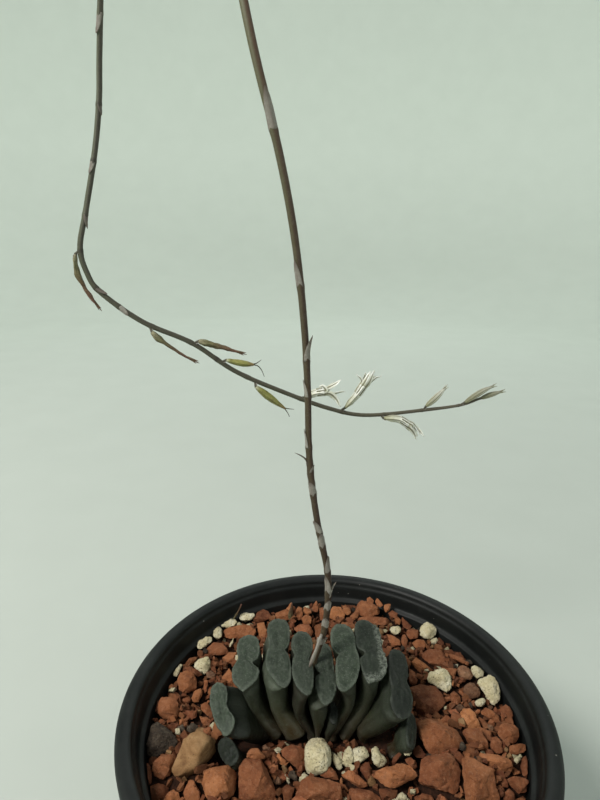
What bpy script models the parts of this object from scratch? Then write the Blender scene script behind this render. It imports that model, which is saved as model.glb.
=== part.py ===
# Potted Haworthia truncata: a fan of cut-off succulent leaves in brick and pumice gravel,
# in a round black plastic nursery pot, with one long arched flower stem.
#
# Units are metres, +Z up. The origin is the middle of the pot's underside. +X runs along the
# fan of leaves and +Y runs to the back, where the flower stem comes down again.
# The tables below are in millimetres, with heights counted from the rim plane where they
# belong to the plant or the gravel, and from the floor where they belong to the pot.

import bpy
import bmesh
import math
import random
from mathutils import Vector, Matrix, noise

MM = 0.001

# ---------------------------------------------------------------- driving dimensions (mm)
POT_RIM_R = 63.5          # outer radius of the rim
RIM_PLANE = 86.0          # height of the rim's widest line above the floor
RIM_TOP = 1.6             # rolled top of the rim above that line
RIM_IN_R = 58.8           # inner edge of the rolled rim
STEP_R = 57.6             # wall above the inner step
STEP_DROP = 5.6           # inner step below the rim plane
WALL_TOP_R = 56.0         # inner wall just under the step
WALL_BOT_R = 44.2         # inner wall at the pot's floor
WALL = 1.8                # wall thickness
FLOOR_T = 3.0             # pot floor thickness
SKIRT_DROP = 15.0         # lower edge of the rim's skirt below the rim plane
FOOT_R_OUT = 45.6
FOOT_R_IN = 39.0
HUB_R = 17.0              # flat middle of the underside
RECESS = 1.2              # lift of the ring between hub and foot
DRAIN_R = 3.2             # drain hole radius
DRAIN_RING_R = 30.0       # circle of drain holes
DRAIN_COUNT = 8
GAP = 0.35                # clearance between neighbouring pieces
SOIL_TOP = -18.0          # top of the potting mix below the rim plane
BED_TOP = -8.3           # mean top of the fine gravel below the rim plane
BED_BUMP = 0.7            # roughness of the fine gravel
LEAF_BASE_Z = -9.4        # where the leaves leave the short stem
PEDUNCLE_R0 = 1.10        # flower stem radius at its foot
PEDUNCLE_R1 = 0.45        # flower stem radius at its tip

SCREW_STEPS = 64

# ---------------------------------------------------------------- clean start
for ob in list(bpy.data.objects):
    bpy.data.objects.remove(ob, do_unlink=True)

PARTS = bpy.data.collections.new("potted_haworthia_truncata")
CUTS = bpy.data.collections.new("cutters")
bpy.context.scene.collection.children.link(PARTS)
bpy.context.scene.collection.children.link(CUTS)


def material(name, rgb, rough=0.6, metal=0.0):
    m = bpy.data.materials.new(name)
    m.use_nodes = True
    p = m.node_tree.nodes["Principled BSDF"]
    p.inputs["Base Color"].default_value = (rgb[0], rgb[1], rgb[2], 1.0)
    p.inputs["Roughness"].default_value = rough
    p.inputs["Metallic"].default_value = metal
    m.diffuse_color = (rgb[0], rgb[1], rgb[2], 1.0)
    return m


def add_object(name, data, rgb, rough=0.6, where=None):
    ob = bpy.data.objects.new(name, data)
    (where or PARTS).objects.link(ob)
    ob.data.materials.append(material(name + "_mat", rgb, rough))
    return ob


def hide_cutter(ob):
    ob.hide_render = True
    ob.display_type = "WIRE"


def mesh_from_bmesh(name, bm, smooth=False):
    bmesh.ops.recalc_face_normals(bm, faces=bm.faces[:])
    me = bpy.data.meshes.new(name)
    bm.to_mesh(me)
    bm.free()
    if smooth:
        me.shade_smooth()
        me.set_sharp_from_angle(angle=math.radians(50))
    return me


def screw_object(name, profile, rgb, rough, steps=SCREW_STEPS, where=None):
    """Turned piece: the profile is (radius, height) in mm, from the axis at the top,
    down the outer side, to the axis at the bottom."""
    bm = bmesh.new()
    vs = [bm.verts.new((r * MM, 0.0, z * MM)) for r, z in profile]
    for a, b in zip(vs, vs[1:]):
        bm.edges.new((a, b))
    me = bpy.data.meshes.new(name)
    bm.to_mesh(me)
    bm.free()
    ob = add_object(name, me, rgb, rough, where)
    mod = ob.modifiers.new("turn", "SCREW")
    mod.axis = "Z"
    mod.angle = math.tau
    mod.steps = steps
    mod.render_steps = steps
    mod.use_merge_vertices = True
    mod.merge_threshold = 0.00005
    mod.use_smooth_shade = False
    return ob


def evaluated_mesh(ob, name):
    deps = bpy.context.evaluated_depsgraph_get()
    deps.update()
    me = bpy.data.meshes.new_from_object(ob.evaluated_get(deps))
    me.name = name
    return me


def inner_wall_r(z):
    """Inner radius of the pot's tapered wall at height z above the floor, in mm."""
    z_hi = RIM_PLANE - STEP_DROP - 0.8
    t = (z - FLOOR_T) / (z_hi - FLOOR_T)
    return WALL_BOT_R + (WALL_TOP_R - WALL_BOT_R) * max(0.0, min(1.0, t))


# ---------------------------------------------------------------- pot
def build_pot():
    rp = RIM_PLANE
    prof = [(0.0, FLOOR_T), (WALL_BOT_R - 2.0, FLOOR_T), (WALL_BOT_R, FLOOR_T + 2.0)]
    prof += [(WALL_TOP_R, rp - STEP_DROP - 0.8), (STEP_R - 0.3, rp - STEP_DROP),
             (STEP_R, rp - STEP_DROP + 0.6), (RIM_IN_R - 0.5, rp - 1.0)]
    # rolled top of the rim, half an ellipse from the inner edge to the outer edge
    cx, hw = 0.5 * (RIM_IN_R + POT_RIM_R), 0.5 * (POT_RIM_R - RIM_IN_R)
    for k in range(7):
        a = math.pi * (1.0 - k / 6.0)
        prof.append((cx + hw * math.cos(a), rp + RIM_TOP * math.sin(a)))
    # skirt outside, under its lip, and up to the body wall
    prof += [(POT_RIM_R - 0.9, rp - SKIRT_DROP + 0.6), (POT_RIM_R - 1.4, rp - SKIRT_DROP),
             (POT_RIM_R - 2.4, rp - SKIRT_DROP), (POT_RIM_R - 2.3, rp - 5.0),
             (WALL_TOP_R + WALL + 0.9, rp - 5.8)]
    prof += [(inner_wall_r(rp - 10.0) + WALL, rp - 10.0), (FOOT_R_OUT + 0.4, 2.2),
             (FOOT_R_OUT, 0.5), (FOOT_R_OUT - 0.5, 0.0), (FOOT_R_IN, 0.0),
             (FOOT_R_IN - 1.0, RECESS), (HUB_R + 1.0, RECESS), (HUB_R, 0.0), (0.0, 0.0)]
    pot = screw_object("pot", prof, (0.018, 0.019, 0.021), 0.42)
    # drain holes through the ring between hub and foot
    bm = bmesh.new()
    for k in range(DRAIN_COUNT):
        a = math.tau * (k + 0.5) / DRAIN_COUNT
        m = Matrix.Translation(Vector((math.cos(a), math.sin(a), 0.0)) * DRAIN_RING_R * MM
                               + Vector((0, 0, 1.5 * MM)))
        bmesh.ops.create_cone(bm, cap_ends=True, segments=14, radius1=DRAIN_R * MM,
                              radius2=DRAIN_R * MM, depth=8.0 * MM, matrix=m)
    cut = add_object("drain_hole_cutter", mesh_from_bmesh("drain_hole_cutter", bm),
                     (0.5, 0.5, 0.5), 0.5, CUTS)
    hide_cutter(cut)
    b = pot.modifiers.new("drain holes", "BOOLEAN")
    b.operation = "DIFFERENCE"
    b.solver = "EXACT"
    b.object = cut
    return pot


# ---------------------------------------------------------------- potting mix
def build_mix():
    lo, hi = FLOOR_T + GAP, RIM_PLANE + SOIL_TOP
    prof = [(0.0, hi + 0.8), (30.0, hi + 0.4), (inner_wall_r(hi) - GAP - 1.5, hi),
            (inner_wall_r(hi) - GAP, hi - 1.5), (inner_wall_r(lo + 4.0) - GAP - 0.1, lo + 4.0),
            (WALL_BOT_R - 3.4, lo), (0.0, lo)]
    return screw_object("potting_mix", prof, (0.045, 0.028, 0.017), 0.95)


# ---------------------------------------------------------------- loose stones
def hull_stone(name, kind, cx, cy, cz, sx, sy, sz, yaw, seed):
    """Convex stone: the hull of seeded points on a squared or round ellipsoid."""
    rnd = random.Random(seed)
    count = {"chip": 15, "pumice": 34, "egg": 60, "pebble": 60, "lava": 30}[kind]
    power = {"chip": 3.6, "pumice": 2.3, "egg": 2.0, "pebble": 2.2, "lava": 2.6}[kind]
    pts = []
    golden = math.pi * (3.0 - math.sqrt(5.0))
    for k in range(count):
        z = 1.0 - 2.0 * (k + 0.5) / count
        a = golden * k + rnd.uniform(-0.35, 0.35)
        z = max(-0.98, min(0.98, z + rnd.uniform(-0.9, 0.9) / count))
        h = math.sqrt(1.0 - z * z)
        v = Vector((h * math.cos(a), h * math.sin(a), z))
        q = (abs(v.x) ** power + abs(v.y) ** power + abs(v.z) ** power) ** (-1.0 / power)
        jitter = {"chip": 0.16, "pumice": 0.07, "egg": 0.02, "pebble": 0.02, "lava": 0.10}[kind]
        v = v * q * (1.0 - rnd.random() * jitter)
        if kind == "egg":
            v.x *= 1.0 - 0.16 * v.y
        pts.append(Vector((v.x * sx * 0.5, v.y * sy * 0.5, v.z * sz * 0.5)))
    if kind in ("chip", "lava"):
        tip = Matrix.Rotation(rnd.uniform(-0.35, 0.35), 3, "X") @ Matrix.Rotation(
            rnd.uniform(-0.35, 0.35), 3, "Y")
        pts = [tip @ p for p in pts]
    rot = Matrix.Rotation(math.radians(yaw), 3, "Z")
    c = Vector((cx, cy, cz + RIM_PLANE))
    out = []
    for p in pts:
        w = rot @ p + c
        r = math.hypot(w.x, w.y)
        lim = inner_wall_r(min(w.z, RIM_PLANE - 7.0)) - GAP - 0.15
        if r > lim:
            w.x *= lim / r
            w.y *= lim / r
        out.append(w)
    return {"name": name, "kind": kind, "c": c, "pts": out}


def hull_bmesh(pts):
    bm = bmesh.new()
    for p in pts:
        bm.verts.new(p * MM)
    res = bmesh.ops.convex_hull(bm, input=bm.verts[:])
    junk = {e for e in res["geom_interior"] + res["geom_unused"]
            if isinstance(e, bmesh.types.BMVert)}
    bmesh.ops.delete(bm, geom=list(junk), context="VERTS")
    bmesh.ops.remove_doubles(bm, verts=bm.verts[:], dist=0.00003)
    return bm


def clip_points(pts, co, no):
    """Points of the hull of pts cut to the side of the plane that no points away from."""
    bm = hull_bmesh(pts)
    bmesh.ops.bisect_plane(bm, geom=bm.verts[:] + bm.edges[:] + bm.faces[:], dist=1e-9,
                           plane_co=co * MM, plane_no=no, clear_outer=True)
    out = [v.co / MM for v in bm.verts]
    bm.free()
    return out


def separate(stones):
    """Neighbouring stones that would meet are both cut back to one plane between them."""
    for i in range(len(stones)):
        for j in range(i + 1, len(stones)):
            a, b = stones[i], stones[j]
            ra = max((p - a["c"]).length for p in a["pts"])
            rb = max((p - b["c"]).length for p in b["pts"])
            d = b["c"] - a["c"]
            if d.length > ra + rb + GAP:
                continue
            axes = [d.normalized()]
            for s in (a, b):
                bm = hull_bmesh(s["pts"])
                bmesh.ops.recalc_face_normals(bm, faces=bm.faces[:])
                for f in bm.faces:
                    n = f.normal.copy()
                    axes.append(n if n.dot(d) > 0 else -n)
                bm.free()
            if any(max(p.dot(n) for p in a["pts"]) + GAP < min(p.dot(n) for p in b["pts"])
                   for n in axes):
                continue
            n = axes[0]
            m = 0.5 * (max(p.dot(n) for p in a["pts"]) + min(p.dot(n) for p in b["pts"]))
            m = max(a["c"].dot(n) + 0.8, min(b["c"].dot(n) - 0.8, m))
            a["pts"] = clip_points(a["pts"], n * (m - 0.5 * GAP), n)
            b["pts"] = clip_points(b["pts"], n * (m + 0.5 * GAP), -n)


BRICK = (0.42, 0.16, 0.09)
CREAM = (0.72, 0.68, 0.54)
# name, kind, x, y, z from the rim plane, length along X, along Y, height, yaw, seed
STONES = [
    ("pumice_front_egg", "egg", -5.4, -14.2, -4.6, 7.8, 10.6, 7.4, -6, 3),
    ("pumice_front_pair", "pumice", 5.4, -14.4, -5.6, 7.6, 6.4, 5.4, 10, 5),
    ("pumice_front_cone", "pumice", 11.8, -14.6, -5.4, 4.4, 6.0, 4.2, 12, 8),
    ("pumice_left_1", "pumice", -43.8, 20.8, -6.6, 6.1, 6.8, 5.0, 20, 11),
    ("pumice_left_2", "pumice", -43.6, 31.0, -6.2, 6.0, 5.4, 4.6, 30, 12),
    ("pumice_left_3", "pumice", -34.6, 40.6, -5.8, 7.0, 4.8, 4.4, -20, 14),
    ("pumice_right_1", "pumice", 35.6, 39.4, -6.4, 6.2, 6.0, 5.2, 40, 15),
    ("pumice_right_2", "egg", 35.4, 15.8, -5.8, 8.4, 8.6, 6.4, 60, 16),
    ("pumice_right_3", "pumice", 49.4, 11.2, -6.0, 7.4, 10.6, 6.4, -12, 17),
    ("tan_pebble", "pebble", -40.6, -14.0, -5.6, 10.6, 17.0, 8.4, 18, 21),
    ("grey_lava_stone", "lava", -49.8, -7.6, -6.4, 9.4, 11.0, 7.6, 10, 22),
    ("brick_chip_01", "chip", -49.6, 3.0, -6.6, 7.6, 9.0, 5.6, 20, 31),
    ("brick_chip_02", "chip", -46.8, 13.8, -6.8, 6.4, 9.4, 5.2, -15, 32),
    ("brick_chip_03", "chip", -48.4, -17.4, -7.0, 6.6, 6.4, 5.6, 35, 33),
    ("brick_chip_04", "chip", -32.6, -23.6, -6.0, 9.6, 9.2, 7.0, 14, 34),
    ("brick_chip_05", "chip", -22.0, -21.4, -5.0, 11.6, 14.4, 8.2, -22, 35),
    ("brick_chip_06", "chip", -32.6, 34.8, -7.4, 12.4, 6.2, 4.6, 8, 36),
    ("brick_chip_07", "chip", -13.2, -14.6, -6.2, 7.6, 7.8, 5.8, 30, 37),
    ("brick_chip_08", "chip", -5.0, -25.0, -6.4, 13.6, 8.6, 7.4, 6, 38),
    ("brick_chip_09", "chip", 5.6, -21.2, -7.6, 7.4, 5.6, 5.2, -18, 39),
    ("brick_chip_10", "chip", 15.6, -20.2, -6.4, 11.6, 6.4, 6.0, -8, 40),
    ("brick_chip_11", "chip", 36.0, 26.0, -7.0, 9.0, 6.6, 5.2, 10, 41),
    ("brick_chip_12", "chip", 30.4, -7.2, -6.2, 13.6, 9.6, 7.4, -24, 42),
    ("brick_chip_13", "chip", 27.6, -18.8, -5.8, 11.0, 11.4, 7.8, 16, 43),
    ("brick_chip_14", "chip", 38.2, -22.6, -5.0, 10.6, 10.4, 7.4, 42, 44),
    ("brick_chip_15", "chip", 45.2, -14.4, -6.9, 10.4, 6.2, 5.6, 20, 45),
    ("brick_chip_16", "chip", 41.0, -6.8, -7.0, 7.2, 6.8, 5.6, 18, 46),
    ("brick_chip_17", "chip", 50.2, -4.6, -7.0, 6.8, 6.4, 5.2, -30, 47),
]
STONE_RGB = {"chip": BRICK, "pumice": CREAM, "egg": CREAM, "pebble": (0.34, 0.24, 0.15),
             "lava": (0.16, 0.15, 0.15)}


# ---------------------------------------------------------------- leaves
# name, face centre x y z, face length, face width, yaw, front-down tilt, outward lean,
# notch depth left, notch depth right, notch place, foot x, foot y, foot length, foot width,
# width of the body as a share of the face's
LEAVES = [
    ("leaf_01_low_left", -30.8, -15.8, -3.0, 7.8, 4.0, -20, 12, -30, 0.10, 0.10, 0.0,
     -25.6, -13.2, 4.6, 2.2, 0.90),
    ("leaf_02_far_left", -32.8, -8.2, 6.2, 15.6, 5.2, -16, 20, -18, 0.20, 0.34, 0.05,
     -23.2, -2.4, 7.4, 2.3, 0.70),
    ("leaf_03_left_outer", -26.9, 2.4, 12.0, 18.9, 7.0, -2, 14, -8, 0.14, 0.62, 0.02,
     -17.4, -1.2, 9.4, 2.6, 0.66),
    ("leaf_04_left_inner", -16.6, 4.6, 14.0, 23.0, 7.0, -5, 14, -4, 0.08, 0.42, 0.02,
     -13.2, -1.0, 10.2, 3.2, 0.96),
    ("leaf_05_left_centre", -9.8, 1.0, 14.0, 21.5, 5.2, -4, 14, -3, 0.18, 0.30, 0.10,
     -9.3, -1.2, 10.2, 2.5, 0.84),
    ("leaf_06_centre", -3.5, -0.8, 10.6, 18.0, 5.4, 0, 16, 0, 0.40, 0.04, 0.08,
     -6.0, -2.0, 9.4, 2.3, 0.86),
    ("leaf_07_young", -0.8, -5.0, 0.6, 6.4, 1.2, 0, 15, 4, 0.0, 0.0, 0.0,
     -3.6, -2.8, 6.0, 0.8, 1.0),
    ("leaf_08_right_centre", 3.0, 3.3, 14.0, 21.6, 6.4, 1, 14, 3, 0.40, 0.08, 0.06,
     -0.9, -1.2, 10.2, 2.4, 0.66),
    ("leaf_09_right_inner", 10.4, 5.5, 14.0, 21.0, 7.4, -3, 14, 5, 0.62, 0.04, 0.05,
     3.2, -1.0, 10.0, 2.6, 0.74),
    ("leaf_10_right_outer", 18.9, -1.4, 9.4, 21.5, 6.0, 2, 16, 12, 0.10, 0.18, -0.05,
     8.2, -1.2, 9.2, 2.8, 0.84),
    ("leaf_11_low_right", 20.2, -10.6, -0.8, 9.8, 4.4, 8, 18, 22, 0.06, 0.06, 0.0,
     15.8, -8.8, 5.0, 2.2, 0.90),
]
LEAF_RGB = (0.115, 0.165, 0.115)
SIDE = 10       # steps from one end of a leaf's outline to the other
RINGS = 7       # outlines from the foot to the face


def outline(side, notch_l, notch_r, place):
    """Unit outline of a leaf's cut-off face: two lobes with a pinch between them."""
    pts = []

    def half(s):
        return max(0.0, 1.0 - abs(s) ** 2.5) ** (1.0 / 2.5)

    for k in range(side + 1):
        s = -math.cos(math.pi * k / side)
        s += place * (1.0 - s * s)
        pinch = 1.0 - notch_r * math.exp(-((s - place) / 0.20) ** 2)
        pts.append((s, half(s) * pinch))
    for k in range(side - 1, 0, -1):
        s = -math.cos(math.pi * k / side)
        s += place * (1.0 - s * s)
        pinch = 1.0 - notch_l * math.exp(-((s - place) / 0.20) ** 2)
        pts.append((s, -half(s) * pinch))
    return pts


def bezier(p0, p1, p2, p3, t):
    u = 1.0 - t
    return p0 * u ** 3 + p1 * 3 * u * u * t + p2 * 3 * u * t * t + p3 * t ** 3


def build_leaf(row):
    (name, x, y, z, length, width, yaw, tilt, lean, nl, nr, place, fx, fy, fl, fw, body) = row
    top = Vector((x, y, z + RIM_PLANE))
    foot = Vector((fx, fy, LEAF_BASE_Z + RIM_PLANE))
    ya, ti, le = math.radians(yaw), math.radians(tilt), math.radians(lean)
    normal = Vector((math.sin(le), -math.sin(ti) * math.cos(le), math.cos(ti) * math.cos(le)))
    normal.normalize()
    h = top.z - foot.z
    p1 = foot + Vector((0.92 * (x - fx), 0.25 * (y - fy), 0.14 * h))
    p2 = top - normal * (0.44 * h)
    along0 = Vector((0.0, 1.0, 0.0))
    along1 = Vector((math.sin(ya), math.cos(ya), 0.0))
    bm = bmesh.new()
    rings = []

    def ring(t, shrink=1.0, lift=0.0):
        c = bezier(foot, p1, p2, top, t)
        tan = bezier(foot, p1, p2, top, min(1.0, t + 0.01)) - bezier(
            foot, p1, p2, top, max(0.0, t - 0.01))
        tan.normalize()
        if t > 0.999:
            tan = normal
        tan = tan.lerp(Vector((0.0, 0.0, 1.0)), 0.5 * max(0.0, 1.0 - t / 0.3)).normalized()
        a = along0.lerp(along1, t)
        a = (a - tan * a.dot(tan)).normalized()
        b = a.cross(tan).normalized()
        g = t * t * (3 - 2 * t)
        hl = 0.5 * (fl + (length - fl) * g)
        low, up = min(1.0, t / 0.45), max(0.0, (t - 0.72) / 0.28)
        hw = 0.5 * (fw + (width * body - fw) * low * low * (3 - 2 * low))
        hw += (0.5 * width - hw) * up * up * (3 - 2 * up)
        fade = max(0.0, (t - 0.40) / 0.60) ** 1.2
        vs = []
        for s, w in outline(SIDE, nl * fade, nr * fade, place):
            p = c + a * (s * hl * shrink) + b * (w * hw * shrink) + tan * lift
            vs.append(bm.verts.new(p * MM))
        rings.append(vs)

    for k in range(RINGS):
        ring(k / (RINGS - 1))
    ring(1.0, 0.84, 0.45)
    ring(1.0, 0.45, 0.70)
    for r0, r1 in zip(rings, rings[1:]):
        n = len(r0)
        for k in range(n):
            bm.faces.new((r0[k], r0[(k + 1) % n], r1[(k + 1) % n], r1[k]))
    for r in (rings[0], rings[-1]):
        c = sum((v.co for v in r), Vector()) / len(r)
        m = bm.verts.new(c)
        for k in range(len(r)):
            bm.faces.new((r[k], r[(k + 1) % len(r)], m))
    bmesh.ops.triangulate(bm, faces=bm.faces[:])
    return add_object(name, mesh_from_bmesh(name, bm, True), LEAF_RGB, 0.45)


# ---------------------------------------------------------------- short stem of the rosette
def build_stem_base():
    bm = bmesh.new()
    bmesh.ops.create_uvsphere(bm, u_segments=20, v_segments=8, radius=1.0)
    for v in bm.verts:
        v.co = Vector(((v.co.x * 19.0 - 5.0) * MM, (v.co.y * 6.5 - 1.8) * MM,
                       (RIM_PLANE + LEAF_BASE_Z - 4.7 + v.co.z * 2.6) * MM))
    return add_object("stem_base", mesh_from_bmesh("stem_base", bm, True), (0.16, 0.11, 0.05), 0.7)


# ---------------------------------------------------------------- swept stems and flowers
def smooth_route(ctrl, count):
    """Evenly spread points on a Catmull-Rom curve through the route's own points."""
    ctrl = [Vector(c) for c in ctrl]
    ext = [ctrl[0] * 2 - ctrl[1]] + ctrl + [ctrl[-1] * 2 - ctrl[-2]]
    dense = []
    for i in range(1, len(ext) - 2):
        p0, p1, p2, p3 = ext[i - 1:i + 3]
        for k in range(12):
            t = k / 12.0
            dense.append(0.5 * ((2 * p1) + (p2 - p0) * t + (2 * p0 - 5 * p1 + 4 * p2 - p3) * t * t
                                + (3 * p1 - p0 - 3 * p2 + p3) * t ** 3))
    dense.append(ctrl[-1])
    run = [0.0]
    for a, b in zip(dense, dense[1:]):
        run.append(run[-1] + (b - a).length)
    out, j = [], 0
    for k in range(count):
        want = run[-1] * k / (count - 1)
        while j < len(run) - 2 and run[j + 1] < want:
            j += 1
        f = (want - run[j]) / max(1e-9, run[j + 1] - run[j])
        out.append(dense[j].lerp(dense[j + 1], max(0.0, min(1.0, f))))
    return out


def tube(name, pts, radii, rgb, rough, resolution=2):
    cu = bpy.data.curves.new(name, "CURVE")
    cu.dimensions = "3D"
    cu.bevel_depth = MM
    cu.bevel_resolution = resolution
    cu.use_fill_caps = True
    sp = cu.splines.new("POLY")
    sp.points.add(len(pts) - 1)
    for q, p, r in zip(sp.points, pts, radii):
        q.co = ((p.x) * MM, (p.y) * MM, (p.z + RIM_PLANE) * MM, 1.0)
        q.radius = r
    return add_object(name, cu, rgb, rough)


# Route of the flower stem, x y z in mm from the rim plane: up from the middle of the fan,
# over the arch, down behind the pot and out to the right along the flowering end.
STEM_ROUTE = [
    (-6.9, 3.4, -6.4), (-6.8, 3.1, 3.0), (-6.8, 2.7, 11.0), (-5.2, 2.2, 18.4), (-3.9, 2.0, 24.5), (-3.2, 2.0, 34.0),
    (-3.6, 2.0, 44.0), (-6.9, 2.0, 60.2), (-9.3, 2.0, 78.0), (-10.2, 2.0, 98.0),
    (-11.5, 2.0, 114.8), (-14.0, 2.0, 134.0), (-17.7, 2.6, 152.0), (-23.6, 4.4, 174.0),
    (-29.6, 10.5, 200.0), (-37.0, 23.0, 226.0), (-51.0, 45.0, 242.0), (-67.0, 68.0, 236.0),
    (-77.6, 80.6, 216.0), (-81.4, 82.2, 190.8), (-82.4, 80.6, 175.4), (-84.6, 78.8, 159.5),
    (-88.6, 76.3, 140.0), (-91.4, 74.6, 127.0), (-89.6, 74.1, 118.0), (-85.2, 74.1, 111.0),
    (-71.0, 75.4, 100.3), (-53.5, 77.4, 92.2), (-37.5, 78.9, 81.1), (-19.7, 81.0, 72.7),
    (-0.7, 83.3, 65.2), (15.0, 85.5, 61.7), (39.0, 89.5, 62.9), (55.3, 92.3, 64.5),
    (64.0, 94.0, 67.2),
]


def stem_groove_cutter():
    """Channel that the foot of the flower stem presses into the two leaves beside it."""
    a, b = Vector(STEM_ROUTE[0]), Vector(STEM_ROUTE[1])
    pts = smooth_route([a + (a - b) * 0.12] + STEM_ROUTE[:6], 18)
    cu = tube("stem_groove_curve", pts, [PEDUNCLE_R0 + GAP + 0.1] * len(pts), (0.5, 0.5, 0.5), 0.5)
    me = evaluated_mesh(cu, "stem_groove")
    bm = bmesh.new()
    bm.from_mesh(me)
    bmesh.ops.remove_doubles(bm, verts=bm.verts[:], dist=1e-6)
    world = cu.matrix_world.copy()
    bpy.data.objects.remove(cu, do_unlink=True)
    cut = add_object("stem_groove", mesh_from_bmesh("stem_groove_mesh", bm), (0.5, 0.5, 0.5),
                     0.5, CUTS)
    cut.matrix_world = world
    hide_cutter(cut)
    return cut


def build_peduncle():
    n = 76
    pts = smooth_route(STEM_ROUTE, n)
    radii = []
    for k in range(n):
        u = k / (n - 1)
        radii.append(PEDUNCLE_R0 + (PEDUNCLE_R1 - PEDUNCLE_R0) * max(0.0, (u - 0.35) / 0.65) ** 1.1)
    return tube("peduncle", pts, radii, (0.22, 0.17, 0.10), 0.6)


# name, colour, widest radius, where it is widest, tip radius, points
FLOWERS = [
    ("spent_flower_1", (0.25, 0.17, 0.10), 0.9, 0.35, 0.25,
     [(-92.9, 73.4, 124.6), (-92.9, 73.2, 120.6), (-91.6, 73.0, 115.6), (-88.4, 72.8, 109.6),
      (-87.1, 73.0, 107.2)]),
    ("spent_flower_2", (0.25, 0.17, 0.10), 1.0, 0.45, 0.30,
     [(-67.6, 74.6, 96.8), (-65.1, 74.8, 94.1), (-60.8, 75.3, 90.8), (-56.9, 75.7, 88.0),
      (-53.6, 76.0, 86.2)]),
    ("spent_flower_3", (0.25, 0.17, 0.10), 1.1, 0.45, 0.35,
     [(-50.8, 77.4, 93.0), (-46.8, 78.0, 91.9), (-41.2, 78.6, 90.2), (-35.9, 79.2, 88.6)]),
    ("seed_pod_1", (0.32, 0.33, 0.10), 1.25, 0.55, 0.35,
     [(-40.6, 78.2, 85.6), (-37.9, 78.4, 84.9), (-33.3, 79.0, 84.0), (-30.2, 79.6, 83.6),
      (-27.6, 80.2, 82.2)]),
    ("seed_pod_2", (0.34, 0.33, 0.10), 1.5, 0.45, 0.35,
     [(-28.6, 78.6, 73.6), (-25.6, 79.0, 71.4), (-21.6, 79.6, 68.4), (-17.2, 80.2, 65.2)]),
    ("open_flower_1", (0.80, 0.80, 0.72), 2.6, 1.0, 2.6,
     [(-9.8, 81.6, 71.4), (-6.4, 81.8, 72.0), (-2.4, 82.4, 72.2), (0.6, 83.0, 72.6),
      (4.2, 83.6, 73.4)]),
    ("open_flower_2", (0.80, 0.80, 0.72), 2.4, 1.0, 2.4,
     [(7.0, 84.2, 66.6), (9.6, 84.8, 69.6), (12.4, 85.4, 72.8), (14.6, 86.0, 75.6),
      (16.8, 86.6, 78.4)]),
    ("open_flower_3", (0.62, 0.62, 0.50), 1.5, 0.8, 1.4,
     [(23.0, 85.6, 60.0), (27.2, 86.0, 59.0), (31.2, 86.6, 57.0), (34.8, 87.2, 53.8),
      (37.0, 87.6, 51.2)]),
    ("flower_bud_1", (0.50, 0.48, 0.36), 1.0, 0.5, 0.30,
     [(41.0, 89.4, 65.4), (43.2, 89.9, 67.4), (45.6, 90.5, 69.4), (47.9, 91.0, 71.4)]),
    ("flower_bud_2", (0.45, 0.42, 0.28), 0.95, 0.6, 0.30,
     [(57.4, 92.2, 67.2), (60.9, 92.9, 69.2), (65.0, 93.7, 71.0), (68.8, 94.4, 72.2)]),
    ("flower_bud_3", (0.42, 0.38, 0.26), 0.80, 0.5, 0.25,
     [(64.9, 94.3, 67.6), (67.8, 94.8, 68.2), (70.4, 95.2, 68.9), (73.0, 95.6, 69.5)]),
]


def build_flower(row):
    name, rgb, wide, at, tip, ctrl = row
    n = 7
    pts = smooth_route(ctrl, n)
    radii = []
    for k in range(n):
        u = k / (n - 1)
        if u <= at:
            radii.append(0.4 + (wide - 0.4) * math.sin(0.5 * math.pi * u / at) ** 1.3)
        else:
            radii.append(wide + (tip - wide) * ((u - at) / (1.0 - at)) ** 1.6)
    return tube(name, pts, radii, rgb, 0.6, 1)


# name, foot on the stem, tip, width: papery scales that clasp the flower stem
BRACTS = [
    ("bract_1", (-3.6, 0.20, 38.2), (-1.2, -0.60, 43.4), 0.55),
    ("bract_2", (-10.0, 0.20, 101.6), (-7.7, -0.40, 109.6), 0.60),
    ("bract_3", (-17.8, 0.80, 154.0), (-18.4, 0.40, 164.0), 0.70),
]


def build_bract(row):
    name, a, b, w = row
    a, b = Vector(a), Vector(b)
    pts = [a.lerp(b, t) for t in (0.0, 0.25, 0.6, 1.0)]
    return tube(name, pts, [0.25, w, 0.7 * w, 0.12], (0.55, 0.53, 0.44), 0.7, 1)


# ---------------------------------------------------------------- fine gravel bed
def build_bed(cutters):
    """Bumpy disc of fine gravel, hollowed where the stones and the short stem sit in it."""
    rp = RIM_PLANE
    lo = rp + SOIL_TOP + 0.8 + GAP
    hi = rp + BED_TOP
    edge_hi = inner_wall_r(hi) - GAP - 0.1
    edge_lo = inner_wall_r(lo) - GAP - 0.1
    radii = [5.0 * k for k in range(1, 11)] + [edge_hi - 0.6]
    prof = [(0.0, hi)] + [(r, hi) for r in radii] + [(edge_hi, hi - 1.0), (edge_lo, lo), (0.0, lo)]
    raw = screw_object("gravel_bed_blank", prof, (0.3, 0.13, 0.08), 0.95, 44, CUTS)
    me = evaluated_mesh(raw, "gravel_bed")
    bpy.data.objects.remove(raw, do_unlink=True)
    for v in me.vertices:
        x, y, z = v.co / MM
        r = math.hypot(x, y)
        if z > hi - 0.5 and r < edge_hi - 0.1:
            rise = 0.9 * math.exp(-((x + 5.0) / 30.0) ** 2 - ((y + 2.0) / 20.0) ** 2)
            bump = noise.noise(Vector((x * 0.23, y * 0.23, 1.7))) * 1.4 * BED_BUMP
            v.co.z = (z + rise + bump - 0.7) * MM
    ob = add_object("gravel_bed", me, (0.30, 0.13, 0.08), 0.95)
    for c in cutters:
        b = ob.modifiers.new("seat", "BOOLEAN")
        b.operation = "DIFFERENCE"
        b.solver = "EXACT"
        b.object = c
    return ob


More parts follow.
